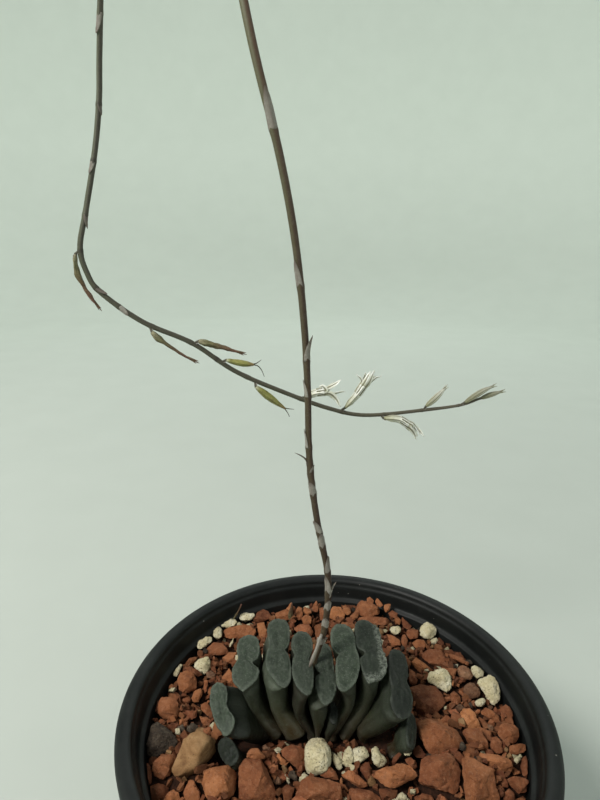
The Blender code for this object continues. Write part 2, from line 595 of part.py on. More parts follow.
def inflated_cutter(name, me, by, convex=False):
    """Copy of a piece grown outward by a clearance, used to seat it in the gravel."""
    bm = bmesh.new()
    bm.from_mesh(me)
    bm.normal_update()
    moves = [(v, v.normal.copy()) for v in bm.verts]
    for v, n in moves:
        v.co += n * by * MM
    if convex:
        grown = [v.co / MM for v in bm.verts]
        bm.free()
        bm = hull_bmesh(grown)
    cut = add_object(name, mesh_from_bmesh(name, bm), (0.5, 0.5, 0.5), 0.5, CUTS)
    hide_cutter(cut)
    return cut


def foot_cutter(name, pts):
    """Hollow round the buried feet of the leaves: the hull of their low points, grown."""
    c = sum(pts, Vector()) / len(pts)
    grown = [p + (p - c).normalized() * 1.1 for p in pts]
    bm = hull_bmesh(grown)
    bmesh.ops.remove_doubles(bm, verts=bm.verts[:], dist=0.5 * MM)
    coarse = [v.co / MM for v in bm.verts]
    bm.free()
    cut = add_object(name, mesh_from_bmesh(name, hull_bmesh(coarse)), (0.5, 0.5, 0.5), 0.5, CUTS)
    hide_cutter(cut)
    return cut


def main():
    build_pot()
    build_mix()
    stones = [hull_stone(*row) for row in STONES]
    separate(stones)
    cutters = []
    for s in stones:
        bm = hull_bmesh(s["pts"])
        me = mesh_from_bmesh(s["name"], bm)
        add_object(s["name"], me, STONE_RGB[s["kind"]], 0.9)
        cutters.append(inflated_cutter(s["name"] + "_seat", me, 0.55, True))
    base = build_stem_base()
    cutters.append(inflated_cutter("stem_base_seat", base.data, 0.45))
    feet = []
    for row in LEAVES:
        ob = build_leaf(row)
        low = [v.co / MM for v in ob.data.vertices if v.co.z / MM < RIM_PLANE - 5.0]
        if row in (LEAVES[0], LEAVES[-1]):
            cutters.append(foot_cutter(row[0] + "_seat", low))
        else:
            feet += low
    cutters.append(foot_cutter("fan_seat", feet))
    groove = stem_groove_cutter()
    for name in ("leaf_05_left_centre", "leaf_06_centre"):
        b = bpy.data.objects[name].modifiers.new("stem groove", "BOOLEAN")
        b.operation = "DIFFERENCE"
        b.solver = "EXACT"
        b.object = groove
    build_bed(cutters)
    build_peduncle()
    for row in FLOWERS:
        build_flower(row)
    for row in BRACTS:
        build_bract(row)


main()
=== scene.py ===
import bpy
import bmesh
import math
import random
import numpy as np
from mathutils import Vector, Matrix, noise
from mathutils.bvhtree import BVHTree


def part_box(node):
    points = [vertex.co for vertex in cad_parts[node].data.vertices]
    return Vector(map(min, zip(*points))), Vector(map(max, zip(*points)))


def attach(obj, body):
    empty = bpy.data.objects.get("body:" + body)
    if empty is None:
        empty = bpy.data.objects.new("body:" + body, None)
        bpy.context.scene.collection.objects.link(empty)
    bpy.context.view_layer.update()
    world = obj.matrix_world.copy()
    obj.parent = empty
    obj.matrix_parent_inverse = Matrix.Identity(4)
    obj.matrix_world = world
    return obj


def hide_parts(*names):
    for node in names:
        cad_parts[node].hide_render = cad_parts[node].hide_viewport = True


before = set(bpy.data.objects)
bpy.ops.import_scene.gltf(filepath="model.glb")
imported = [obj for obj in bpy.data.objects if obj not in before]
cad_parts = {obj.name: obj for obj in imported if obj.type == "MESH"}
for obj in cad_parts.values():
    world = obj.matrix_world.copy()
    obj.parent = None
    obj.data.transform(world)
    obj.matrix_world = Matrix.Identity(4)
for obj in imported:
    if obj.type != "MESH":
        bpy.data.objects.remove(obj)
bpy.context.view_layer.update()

MM = 0.001
RP = 86.0                 # rim plane above the floor
BODY = "root"

# ---------------------------------------------------------------- pot dimensions (mm)
POT_RIM_R, RIM_TOP, RIM_IN_R = 63.5, 1.6, 58.8
STEP_R, STEP_DROP = 57.6, 5.6
WALL_TOP_R, WALL_BOT_R, WALL, FLOOR_T = 56.0, 44.2, 1.8, 3.0
SKIRT_DROP = 15.0
FOOT_R_OUT, FOOT_R_IN, HUB_R, RECESS = 45.6, 39.0, 17.0, 1.2
DRAIN_R, DRAIN_RING_R, DRAIN_COUNT = 3.2, 30.0, 8
SOIL_TOP = -18.0
LEAF_BASE_Z = -9.4


def inner_wall_r(z):
    t = (z - FLOOR_T) / (RP - STEP_DROP - 0.8 - FLOOR_T)
    return WALL_BOT_R + (WALL_TOP_R - WALL_BOT_R) * max(0.0, min(1.0, t))


# ================================================================ small tools
def smoothstep(t):
    t = max(0.0, min(1.0, t))
    return t * t * (3.0 - 2.0 * t)


def new_piece(name, me, mats, slot, nodes=()):
    """Puts a finished mesh, in metres in the row frame, on the CAD body."""
    for m in mats if isinstance(mats, (list, tuple)) else [mats]:
        me.materials.append(m)
    ob = bpy.data.objects.new(name, me)
    bpy.context.scene.collection.objects.link(ob)
    if nodes:
        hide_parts(*nodes)
    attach(ob, BODY)
    return ob


def mesh_mm(name, verts, faces, smooth=True, sharp=None):
    """Mesh from millimetre points in the world frame."""
    me = bpy.data.meshes.new(name)
    v = np.asarray(verts, float) * MM
    me.from_pydata(v.tolist(), [], [list(map(int, f)) for f in faces])
    me.validate(verbose=False)
    if smooth:
        me.shade_smooth()
        if sharp is not None:
            me.set_sharp_from_angle(angle=math.radians(sharp))
    me.update()
    return me


def put(me, name, data):
    """Stores four numbers at each point for the material to read."""
    a = np.zeros((len(me.vertices), 4), np.float32)
    d = np.asarray(data, np.float32)
    a[:, :d.shape[1]] = d
    at = me.attributes.new(name, "FLOAT_COLOR", "POINT")
    at.data.foreach_set("color", a.ravel())


def outward(me):
    bm = bmesh.new()
    bm.from_mesh(me)
    bmesh.ops.recalc_face_normals(bm, faces=bm.faces[:])
    bm.to_mesh(me)
    bm.free()
    me.update()
    return me


def n3(x, y, z):
    return noise.noise(Vector((x, y, z)))


def smooth_route(ctrl, count):
    """Evenly spread points on a Catmull-Rom curve through the route's own points."""
    c = [np.array(p, float) for p in ctrl]
    ext = [c[0] * 2 - c[1]] + c + [c[-1] * 2 - c[-2]]
    dense = []
    for i in range(1, len(ext) - 2):
        p0, p1, p2, p3 = ext[i - 1:i + 3]
        for k in range(12):
            t = k / 12.0
            dense.append(0.5 * ((2 * p1) + (p2 - p0) * t + (2 * p0 - 5 * p1 + 4 * p2 - p3) * t * t
                                + (3 * p1 - p0 - 3 * p2 + p3) * t ** 3))
    dense.append(c[-1])
    d = np.array(dense)
    run = np.r_[0, np.cumsum(np.linalg.norm(np.diff(d, axis=0), axis=1))]
    w = np.linspace(0, run[-1], count)
    return np.stack([np.interp(w, run, d[:, k]) for k in range(3)], axis=1)


def frames_along(pts, up=(0.0, -1.0, 0.0)):
    """Tangent and two cross directions at each point, turned as little as possible."""
    pts = np.asarray(pts, float)
    tan = np.gradient(pts, axis=0)
    tan /= np.linalg.norm(tan, axis=1)[:, None]
    n = np.array(up, float)
    ns, bs = [], []
    for t in tan:
        n = n - t * n.dot(t)
        n /= np.linalg.norm(n)
        ns.append(n.copy())
        bs.append(np.cross(t, n))
    return tan, np.array(ns), np.array(bs)


# ================================================================ materials
class Paint:
    """Short way to write a node material; texture coordinates are object space in mm."""

    def __init__(self, name):
        self.m = bpy.data.materials.new(name)
        self.m.use_nodes = True
        self.t = self.m.node_tree
        self.t.nodes.clear()
        out = self.t.nodes.new("ShaderNodeOutputMaterial")
        self.b = self.t.nodes.new("ShaderNodeBsdfPrincipled")
        self.t.links.new(self.b.outputs[0], out.inputs[0])
        tc = self.t.nodes.new("ShaderNodeTexCoord")
        mp = self.t.nodes.new("ShaderNodeVectorMath")
        mp.operation = "SCALE"
        mp.inputs[3].default_value = 1000.0
        self.t.links.new(tc.outputs["Object"], mp.inputs[0])
        self.co = mp.outputs[0]

    def own_place(self, number):
        """Shifts the texture by a number from 0 to 1, so that each stone has its own pattern."""
        c = self.t.nodes.new("ShaderNodeCombineXYZ")
        for k, far in enumerate((310.0, 170.0, 230.0)):
            self.t.links.new(self.math("MULTIPLY", number, far), c.inputs[k])
        n = self.t.nodes.new("ShaderNodeVectorMath")
        self.t.links.new(self.co, n.inputs[0])
        self.t.links.new(c.outputs[0], n.inputs[1])
        self.co = n.outputs[0]

    def set(self, **kw):
        for k, v in kw.items():
            s = self.b.inputs[k.replace("_", " ")]
            if isinstance(v, bpy.types.NodeSocket):
                self.t.links.new(v, s)
            elif hasattr(s.default_value, "__len__"):
                s.default_value = (*v, 1.0) if len(v) == 3 and len(s.default_value) == 4 else v
            else:
                s.default_value = v
        return self

    def put(self, sock, v):
        if isinstance(v, bpy.types.NodeSocket):
            self.t.links.new(v, sock)
        elif isinstance(v, (tuple, list)):
            sock.default_value = (*v, 1.0) if len(v) == 3 and len(sock.default_value) == 4 else v
        else:
            sock.default_value = v

    def stretch(self, vec, sx, sy, sz):
        n = self.t.nodes.new("ShaderNodeVectorMath")
        n.operation = "MULTIPLY"
        self.put(n.inputs[0], vec)
        n.inputs[1].default_value = (sx, sy, sz)
        return n.outputs[0]

    def noise(self, scale, detail=4.0, rough=0.55, distort=0.0, vec=None, colour=False):
        n = self.t.nodes.new("ShaderNodeTexNoise")
        n.inputs["Scale"].default_value = scale
        n.inputs["Detail"].default_value = detail
        n.inputs["Roughness"].default_value = rough
        n.inputs["Distortion"].default_value = distort
        self.t.links.new(vec if vec is not None else self.co, n.inputs["Vector"])
        return n.outputs["Color" if colour else "Fac"]

    def voronoi(self, scale, feature="F1", out="Distance", rand=1.0, vec=None):
        n = self.t.nodes.new("ShaderNodeTexVoronoi")
        n.feature = feature
        n.inputs["Scale"].default_value = scale
        n.inputs["Randomness"].default_value = rand
        self.t.links.new(vec if vec is not None else self.co, n.inputs["Vector"])
        return n.outputs[out]

    def ramp(self, fac, stops, ease="LINEAR"):
        n = self.t.nodes.new("ShaderNodeValToRGB")
        n.color_ramp.interpolation = ease
        e = n.color_ramp.elements
        while len(e) < len(stops):
            e.new(0.5)
        for el, (p, c) in zip(e, stops):
            el.position = p
            el.color = (c, c, c, 1.0) if isinstance(c, (int, float)) else (*c, 1.0)
        self.t.links.new(fac, n.inputs[0])
        return n.outputs[0]

    def mix(self, fac, a, b, blend="MIX"):
        n = self.t.nodes.new("ShaderNodeMix")
        n.data_type = "RGBA"
        n.blend_type = blend
        n.clamp_factor = True
        self.put(n.inputs[0], fac)
        self.put(n.inputs[6], a)
        self.put(n.inputs[7], b)
        return n.outputs[2]

    def math(self, op, a, b=0.0, c=None, clamp=False):
        n = self.t.nodes.new("ShaderNodeMath")
        n.operation = op
        n.use_clamp = clamp
        self.put(n.inputs[0], a)
        self.put(n.inputs[1], b)
        if c is not None:
            self.put(n.inputs[2], c)
        return n.outputs[0]

    def attr(self, name, part="all"):
        n = self.t.nodes.new("ShaderNodeAttribute")
        n.attribute_name = name
        if part == "all":
            return n.outputs["Color"]
        if part == "a":
            return n.outputs["Alpha"]
        s = self.t.nodes.new("ShaderNodeSeparateColor")
        self.t.links.new(n.outputs["Color"], s.inputs[0])
        return s.outputs["rgb".index(part)]

    def xyz(self, part, vec=None):
        s = self.t.nodes.new("ShaderNodeSeparateXYZ")
        self.t.links.new(vec if vec is not None else self.co, s.inputs[0])
        return s.outputs["xyz".index(part)]

    def up_facing(self):
        """How far the surface faces up, from its own normal in the row frame."""
        g = self.t.nodes.new("ShaderNodeNewGeometry")
        s = self.t.nodes.new("ShaderNodeSeparateXYZ")
        self.t.links.new(g.outputs["Normal"], s.inputs[0])
        return s.outputs[2]

    def bump(self, height, strength=0.5, distance=0.1, normal=None):
        """distance in mm."""
        n = self.t.nodes.new("ShaderNodeBump")
        n.inputs["Strength"].default_value = strength
        n.inputs["Distance"].default_value = distance * MM
        self.t.links.new(height, n.inputs["Height"])
        if normal is not None:
            self.t.links.new(normal, n.inputs["Normal"])
        self.t.links.new(n.outputs[0], self.b.inputs["Normal"])
        return n.outputs[0]


def mat_plastic():
    p = Paint("black_pot_plastic")
    cloud = p.noise(0.05, 4, 0.6)
    fine = p.noise(1.3, 5, 0.6)
    scuff = p.noise(0.9, 6, 0.7, 0.4, vec=p.stretch(p.co, 0.25, 0.25, 1.4))
    base = p.mix(p.ramp(cloud, [(0.35, 0.0), (0.7, 1.0)]), (0.0034, 0.0042, 0.0042), (0.0068, 0.0080, 0.0078))
    # grey dust that settled on what faces up, thicker in patches; on the rim's top it is also a painted sheen
    up = p.math("MULTIPLY", p.math("MAXIMUM", p.up_facing(), 0.0), 0.75)
    patch = p.ramp(p.noise(0.11, 6, 0.65), [(0.42, 0.15), (0.68, 1.0)])
    dust_and_sheen = p.math("MULTIPLY", p.math("MULTIPLY", up, patch), p.ramp(fine, [(0.3, 0.25), (0.75, 1.0)]))
    base = p.mix(p.math("MULTIPLY", dust_and_sheen, 0.055), base, (0.27, 0.29, 0.27))
    # single pale specks
    d = p.voronoi(0.22)
    size = p.voronoi(0.22, out="Color")
    speck = p.math("LESS_THAN", d, p.math("MULTIPLY", p.attr_pick(size), 0.055))
    base = p.mix(p.math("MULTIPLY", speck, 0.40), base, (0.42, 0.40, 0.35))
    # pale dried water marks in patches
    mark = p.ramp(p.noise(0.35, 7, 0.7, 0.6), [(0.55, 0.0), (0.75, 1.0)])
    base = p.mix(p.math("MULTIPLY", mark, 0.02), base, (0.24, 0.25, 0.23))
    rough = p.math("ADD", p.math("MULTIPLY", scuff, 0.18), 0.40)
    rough = p.math("ADD", rough, p.math("MULTIPLY", dust_and_sheen, 0.25), clamp=True)
    grain = p.noise(3.2, 3, 0.5)
    b1 = p.bump(grain, 0.16, 0.06)
    p.bump(scuff, 0.12, 0.08, normal=b1)
    p.set(Base_Color=base, Roughness=rough, Specular_IOR_Level=0.24)
    return p.m


def attr_pick(self, colour):
    s = self.t.nodes.new("ShaderNodeSeparateColor")
    self.t.links.new(colour, s.inputs[0])
    return s.outputs[0]


Paint.attr_pick = attr_pick


def mat_mix():
    p = Paint("potting_mix_crumb")
    n = p.noise(0.8, 8, 0.7)
    base = p.ramp(n, [(0.3, (0.010, 0.007, 0.005)), (0.55, (0.030, 0.019, 0.011)), (0.78, (0.075, 0.048, 0.028))])
    perlite = p.math("LESS_THAN", p.voronoi(0.45), 0.13)
    base = p.mix(perlite, base, (0.55, 0.53, 0.47))
    p.bump(p.noise(1.6, 8, 0.75), 0.9, 0.6)
    p.set(Base_Color=base, Roughness=0.95, Specular_IOR_Level=0.2)
    return p.m


def mat_brick(name="crushed_brick"):
    """Terracotta: the shade and hue of each grain come with its points as tone.r and tone.g."""
    p = Paint(name)
    tr, tg, tb = p.attr("tone", "r"), p.attr("tone", "g"), p.attr("tone", "b")
    p.own_place(tb)
    big = p.noise(0.22, 5, 0.6, 0.3)
    med = p.noise(0.9, 6, 0.65)
    fine = p.noise(4.5, 4, 0.6)
    red = p.ramp(big, [(0.32, (0.118, 0.034, 0.016)), (0.52, (0.182, 0.057, 0.025)), (0.72, (0.240, 0.084, 0.038))])
    orange = p.ramp(big, [(0.32, (0.200, 0.072, 0.026)), (0.52, (0.275, 0.108, 0.042)), (0.74, (0.345, 0.148, 0.064))])
    base = p.mix(tg, red, orange)
    # pale dust and bare sandy grains in the clay
    base = p.mix(p.ramp(med, [(0.50, 0.0), (0.70, 0.50)]), base, (0.345, 0.160, 0.086))
    sand = p.math("LESS_THAN", p.voronoi(2.4), 0.17)
    base = p.mix(p.math("MULTIPLY", sand, 0.40), base, (0.42, 0.26, 0.16))
    # painted shade: small pits, sunk by the bump below, are coloured dark for the shade inside them
    pit = p.math("LESS_THAN", p.voronoi(1.15), 0.13)
    base = p.mix(p.math("MULTIPLY", pit, 0.65), base, (0.045, 0.014, 0.007))
    stain = p.ramp(p.noise(0.5, 6, 0.7, 0.5), [(0.54, 0.0), (0.72, 0.65)])
    base = p.mix(stain, base, (0.100, 0.032, 0.017))
    shade = p.math("ADD", p.math("MULTIPLY", tr, 0.85), 0.36)
    shade = p.math("MULTIPLY", shade, p.math("ADD", p.math("MULTIPLY", fine, 0.5), 0.75))
    base = p.mix(1.0, base, p.grey(shade), "MULTIPLY")
    h = p.math("ADD", p.math("MULTIPLY", med, 0.6), p.math("MULTIPLY", fine, 0.4))
    h = p.math("SUBTRACT", h, p.math("MULTIPLY", pit, 0.5))
    p.bump(h, 0.75, 0.30)
    p.set(Base_Color=base, Roughness=0.92, Specular_IOR_Level=0.22)
    return p.m


def grey(self, v):
    c = self.t.nodes.new("ShaderNodeCombineColor")
    for k in range(3):
        self.t.links.new(v, c.inputs[k])
    return c.outputs[0]


Paint.grey = grey


def mat_pumice():
    p = Paint("cream_pumice")
    tr = p.attr("tone", "r")
    big = p.noise(0.3, 5, 0.6)
    fine = p.noise(2.6, 6, 0.7)
    base = p.ramp(big, [(0.3, (0.56, 0.48, 0.28)), (0.52, (0.69, 0.61, 0.40)), (0.75, (0.78, 0.74, 0.58))])
    base = p.mix(p.ramp(fine, [(0.32, 0.70), (0.50, 0.0)]), base, (0.30, 0.245, 0.140))
    cell = p.voronoi(1.25)
    # painted shade: the holes, sunk by the bump below, are coloured dark for the shade inside them
    hole = p.ramp(cell, [(0.10, 1.0), (0.24, 0.0)])
    base = p.mix(p.math("MULTIPLY", hole, 0.75), base, (0.15, 0.120, 0.068))
    base = p.mix(p.ramp(p.noise(0.7, 5, 0.7, 0.4), [(0.60, 0.0), (0.76, 0.35)]), base, (0.50, 0.40, 0.24))
    base = p.mix(1.0, base, p.grey(p.math("ADD", p.math("MULTIPLY", tr, 0.36), 0.50)), "MULTIPLY")
    h = p.math("SUBTRACT", fine, p.math("MULTIPLY", hole, 0.9))
    p.bump(h, 0.95, 0.42)
    p.set(Base_Color=base, Roughness=0.9, Specular_IOR_Level=0.25)
    return p.m


def mat_tan():
    p = Paint("tan_sandstone")
    tr = p.attr("tone", "r")
    band = p.noise(0.22, 5, 0.6, 0.8, vec=p.stretch(p.co, 1.0, 0.5, 2.0))
    fine = p.noise(3.4, 6, 0.7)
    base = p.ramp(band, [(0.3, (0.180, 0.084, 0.030)), (0.5, (0.330, 0.178, 0.074)), (0.72, (0.450, 0.275, 0.132))])
    base = p.mix(p.ramp(fine, [(0.35, 0.5), (0.5, 0.0)]), base, (0.085, 0.042, 0.020))
    pit = p.math("LESS_THAN", p.voronoi(0.9), 0.10)
    base = p.mix(p.math("MULTIPLY", pit, 0.8), base, (0.045, 0.022, 0.012))
    base = p.mix(1.0, base, p.grey(p.math("ADD", p.math("MULTIPLY", tr, 0.4), 0.40)), "MULTIPLY")
    p.bump(fine, 0.5, 0.22)
    p.set(Base_Color=base, Roughness=0.85, Specular_IOR_Level=0.3)
    return p.m


def mat_lava():
    p = Paint("grey_lava_rock")
    tr, tg = p.attr("tone", "r"), p.attr("tone", "g")
    big = p.noise(0.45, 6, 0.65)
    grey_ = p.ramp(big, [(0.3, (0.026, 0.017, 0.011)), (0.52, (0.056, 0.039, 0.026)), (0.74, (0.140, 0.106, 0.074))])
    pink = p.ramp(big, [(0.3, (0.150, 0.062, 0.032)), (0.52, (0.245, 0.118, 0.062)), (0.74, (0.340, 0.195, 0.115))])
    base = p.mix(tg, grey_, pink)
    # painted shade: the cells, sunk by the bump below, are coloured dark for the shade inside them
    cell = p.ramp(p.voronoi(1.6), [(0.14, 1.0), (0.30, 0.0)])
    base = p.mix(p.math("MULTIPLY", cell, 0.6), base, (0.018, 0.014, 0.012))
    crystal = p.math("LESS_THAN", p.voronoi(1.9), 0.085)
    base = p.mix(p.math("MULTIPLY", crystal, 0.7), base, (0.42, 0.40, 0.36))
    base = p.mix(1.0, base, p.grey(p.math("ADD", p.math("MULTIPLY", tr, 0.55), 0.42)), "MULTIPLY")
    fine = p.noise(3.0, 6, 0.7)
    p.bump(p.math("SUBTRACT", fine, p.math("MULTIPLY", cell, 0.9)), 0.95, 0.45)
    p.set(Base_Color=base, Roughness=0.9, Specular_IOR_Level=0.3)
    return p.m


def mat_bed():
    p = Paint("painted_shade_bed")
    n = p.noise(1.1, 7, 0.7)
    # painted shade: the fines are much darker than the brick they come from, standing for the shade deep in the gaps
    base = p.ramp(n, [(0.30, (0.008, 0.004, 0.002)), (0.52, (0.026, 0.010, 0.005)), (0.75, (0.075, 0.028, 0.014))])
    p.bump(p.noise(2.0, 7, 0.75), 0.9, 0.5)
    p.set(Base_Color=base, Roughness=0.95, Specular_IOR_Level=0.2)
    return p.m


def mat_leaf():
    """leaf.r is 1 on the cut-off face, leaf.g is 1 on its edge, leaf.b runs from the foot to
    the face and leaf.a marks warty, pale places. own.r shades the face, own.g the body and own.b
    turns the body brown."""
    p = Paint("truncata_leaf")
    face, edge, up, wart = (p.attr("leaf", k) for k in "rgba")
    own, own_body, own_brown = (p.attr("own", k) for k in "rgb")
    big = p.noise(0.30, 5, 0.6)
    med = p.noise(0.95, 6, 0.66)
    fine = p.noise(4.2, 5, 0.65)
    # body: brown foot, olive, then grey green, darkest at the foot, which is partly its own brown and partly painted
    # shade low between the leaves; faint lines run along it
    body = p.ramp(up, [(0.0, (0.028, 0.015, 0.004)), (0.16, (0.032, 0.019, 0.006)), (0.34, (0.031, 0.026, 0.011)),
                       (0.58, (0.033, 0.039, 0.022)), (1.0, (0.044, 0.055, 0.040))])
    body = p.mix(p.math("MULTIPLY", own_brown, 0.8), body, (0.040, 0.026, 0.019))
    lines = p.attr("line", "r")
    streak = p.ramp(p.noise_1d(lines, 7.0), [(0.42, 0.0), (0.66, 1.0)])
    body = p.mix(p.math("MULTIPLY", streak, 0.35), body, (0.074, 0.082, 0.060))
    body = p.mix(p.ramp(med, [(0.50, 0.0), (0.76, 0.5)]), body, (0.078, 0.086, 0.066))
    body = p.mix(p.ramp(big, [(0.52, 0.0), (0.74, 0.55)]), body, (0.020, 0.024, 0.014))
    scurf = p.ramp(p.voronoi(2.2), [(0.10, 1.0), (0.19, 0.0)])
    body = p.mix(p.math("MULTIPLY", scurf, 0.35), body, (0.135, 0.148, 0.120))
    body = p.mix(1.0, body, p.grey(own_body), "MULTIPLY")
    # face: grey green, cloudy, with whitish dots, darker hollows and a rough pale rim, which is partly the leaf's own
    # pale edge and partly a painted highlight
    top = p.ramp(big, [(0.30, (0.040, 0.060, 0.036)), (0.52, (0.074, 0.100, 0.066)), (0.75, (0.112, 0.142, 0.098))])
    top = p.mix(p.ramp(med, [(0.48, 0.0), (0.70, 0.75)]), top, (0.190, 0.228, 0.172))
    top = p.mix(p.ramp(p.noise(0.6, 5, 0.7, 0.5), [(0.53, 0.0), (0.70, 0.75)]), top, (0.022, 0.032, 0.018))
    dots = p.ramp(p.voronoi(1.35), [(0.12, 1.0), (0.24, 0.0)])
    top = p.mix(p.math("MULTIPLY", dots, p.ramp(fine, [(0.35, 0.15), (0.65, 0.75)])), top, (0.330, 0.375, 0.300))
    cells = p.ramp(p.voronoi(2.7, "DISTANCE_TO_EDGE"), [(0.02, 1.0), (0.10, 0.0)])
    top = p.mix(p.math("MULTIPLY", cells, 0.20), top, (0.040, 0.052, 0.036))
    # pale rim: partly the leaf's own pale, rough edge, partly a painted highlight on the rounded rim
    rim = p.math("MULTIPLY", edge, p.ramp(p.noise(1.6, 5, 0.7), [(0.36, 0.10), (0.60, 1.0)]))
    top = p.mix(p.math("MULTIPLY", rim, 0.62), top, (0.250, 0.290, 0.225))
    top = p.mix(1.0, top, p.grey(own), "MULTIPLY")
    base = p.mix(face, body, top)
    base = p.mix(p.math("MULTIPLY", wart, p.ramp(p.noise(1.25, 6, 0.75), [(0.43, 0.0), (0.60, 0.85)])), base,
                 (0.165, 0.180, 0.150))
    h = p.math("ADD", p.math("MULTIPLY", med, 0.7), p.math("MULTIPLY", fine, 0.40))
    h = p.math("ADD", h, p.math("MULTIPLY", dots, 0.40))
    h = p.math("ADD", h, p.math("MULTIPLY", streak, 0.15))
    p.bump(h, 0.75, 0.24)
    rough = p.mix(face, (0.44, 0.44, 0.44), (0.60, 0.60, 0.60))
    p.set(Base_Color=base, Roughness=p.attr_pick(rough), Specular_IOR_Level=0.26,
          Subsurface_Weight=0.06, Subsurface_Radius=(0.6, 1.0, 0.4), Subsurface_Scale=0.0010)
    return p.m


def noise_1d(self, v, scale):
    n = self.t.nodes.new("ShaderNodeTexNoise")
    n.noise_dimensions = "1D"
    n.inputs["Scale"].default_value = scale
    n.inputs["Detail"].default_value = 3.0
    self.t.links.new(v, n.inputs["W"])
    return n.outputs["Fac"]


Paint.noise_1d = noise_1d


def mat_stem():
    """along.r runs from the foot to the tip, along.g is 1 on the right side, away from the key light, where painted
    shade makes the stem browner and darker; its lit left side is painted greener.
    """
    p = Paint("flower_stem_skin")
    u, shade_side, ring = (p.attr("along", k) for k in "rgb")
    med = p.noise(0.5, 5, 0.6)
    green = p.ramp(u, [(0.0, (0.120, 0.100, 0.055)), (0.06, (0.050, 0.034, 0.019)), (0.20, (0.054, 0.040, 0.019)),
                       (0.32, (0.088, 0.086, 0.044)), (0.60, (0.072, 0.078, 0.048)), (0.80, (0.060, 0.062, 0.036)),
                       (0.90, (0.088, 0.082, 0.052)), (1.0, (0.100, 0.088, 0.058))])
    brown = p.ramp(u, [(0.0, (0.090, 0.060, 0.034)), (0.06, (0.034, 0.018, 0.011)), (0.20, (0.040, 0.020, 0.010)),
                       (0.32, (0.070, 0.040, 0.024)), (0.60, (0.050, 0.046, 0.032)), (0.80, (0.040, 0.037, 0.024)),
                       (1.0, (0.072, 0.060, 0.042))])
    # painted shade: green on the lit left side of the stem, brown and darker on its shaded right side
    base = p.mix(p.ramp(shade_side, [(0.35, 0.0), (0.65, 1.0)]), green, brown)
    base = p.mix(p.ramp(med, [(0.52, 0.0), (0.78, 0.3)]), base, (0.11, 0.092, 0.056))
    blot = p.ramp(p.noise(1.2, 5, 0.7), [(0.57, 0.0), (0.72, 0.6)])
    base = p.mix(blot, base, (0.030, 0.022, 0.018))
    bloom = p.ramp(p.noise(2.4, 4, 0.6), [(0.50, 0.0), (0.85, 0.22)])
    base = p.mix(bloom, base, (0.22, 0.21, 0.18))
    base = p.mix(p.math("MULTIPLY", ring, 0.75), base, (0.022, 0.015, 0.012))
    long_ = p.noise(3.0, 4, 0.6, vec=p.stretch(p.co, 1.0, 1.0, 0.12))
    p.bump(long_, 0.35, 0.12)
    p.set(Base_Color=base, Roughness=0.55, Specular_IOR_Level=0.35)
    return p.m


def mat_bract():
    """part.r runs from foot to tip, part.g is the distance from the middle line, part.b darkens."""
    p = Paint("papery_bract")
    u, v, dark = (p.attr("part", k) for k in "rgb")
    lines = p.noise_1d(p.math("MULTIPLY", v, 3.0), 5.0)
    base = p.ramp(lines, [(0.35, (0.155, 0.140, 0.118)), (0.6, (0.270, 0.250, 0.218))])
    base = p.mix(p.ramp(p.noise(1.3, 5, 0.6), [(0.48, 0.0), (0.75, 0.5)]), base, (0.40, 0.39, 0.36))
    base = p.mix(p.ramp(v, [(0.0, 0.55), (0.16, 0.0)]), base, (0.085, 0.055, 0.040))
    base = p.mix(p.ramp(u, [(0.62, 0.0), (1.0, 0.80)]), base, (0.075, 0.050, 0.038))
    base = p.mix(p.math("MULTIPLY", dark, 0.85), base, (0.060, 0.043, 0.034))
    p.bump(lines, 0.4, 0.06)
    p.set(Base_Color=base, Roughness=0.68, Specular_IOR_Level=0.3, Subsurface_Weight=0.12,
          Subsurface_Radius=(1.0, 0.8, 0.6), Subsurface_Scale=0.0006)
    return p.m


def mat_spent():
    p = Paint("withered_flower")
    u, v = p.attr("part", "r"), p.attr("part", "g")
    wr = p.noise(1.2, 6, 0.7, 0.6)
    base = p.ramp(u, [(0.0, (0.27, 0.25, 0.16)), (0.22, (0.150, 0.145, 0.070)), (0.55, (0.120, 0.082, 0.045)),
                      (1.0, (0.150, 0.070, 0.050))])
    base = p.mix(p.ramp(wr, [(0.42, 0.0), (0.66, 0.75)]), base, (0.036, 0.024, 0.015))
    base = p.mix(p.ramp(p.noise(2.0, 4, 0.6), [(0.6, 0.0), (0.8, 0.5)]), base, (0.36, 0.30, 0.22))
    p.bump(wr, 0.7, 0.20)
    p.set(Base_Color=base, Roughness=0.8, Specular_IOR_Level=0.25)
    return p.m


def mat_pod():
    p = Paint("seed_pod_skin")
    u, v, dark = (p.attr("part", k) for k in "rgb")
    n = p.noise(0.8, 5, 0.6)
    base = p.ramp(n, [(0.35, (0.155, 0.165, 0.040)), (0.6, (0.225, 0.215, 0.062)), (0.8, (0.290, 0.250, 0.090))])
    base = p.mix(p.ramp(v, [(0.0, 0.65), (0.30, 0.0)]), base, (0.075, 0.078, 0.022))
    blotch = p.ramp(p.noise(0.6, 6, 0.75, 0.5), [(0.48, 0.0), (0.62, 0.65)])
    base = p.mix(blotch, base, (0.085, 0.064, 0.022))
    base = p.mix(p.ramp(u, [(0.70, 0.0), (0.95, 0.7)]), base, (0.170, 0.090, 0.040))
    base = p.mix(p.ramp(u, [(0.02, 0.85), (0.12, 0.0)]), base, (0.35, 0.35, 0.24))
    base = p.mix(dark, base, (0.016, 0.012, 0.010))
    p.bump(p.noise(2.5, 5, 0.6), 0.3, 0.10)
    p.set(Base_Color=base, Roughness=0.5, Specular_IOR_Level=0.4)
    return p.m


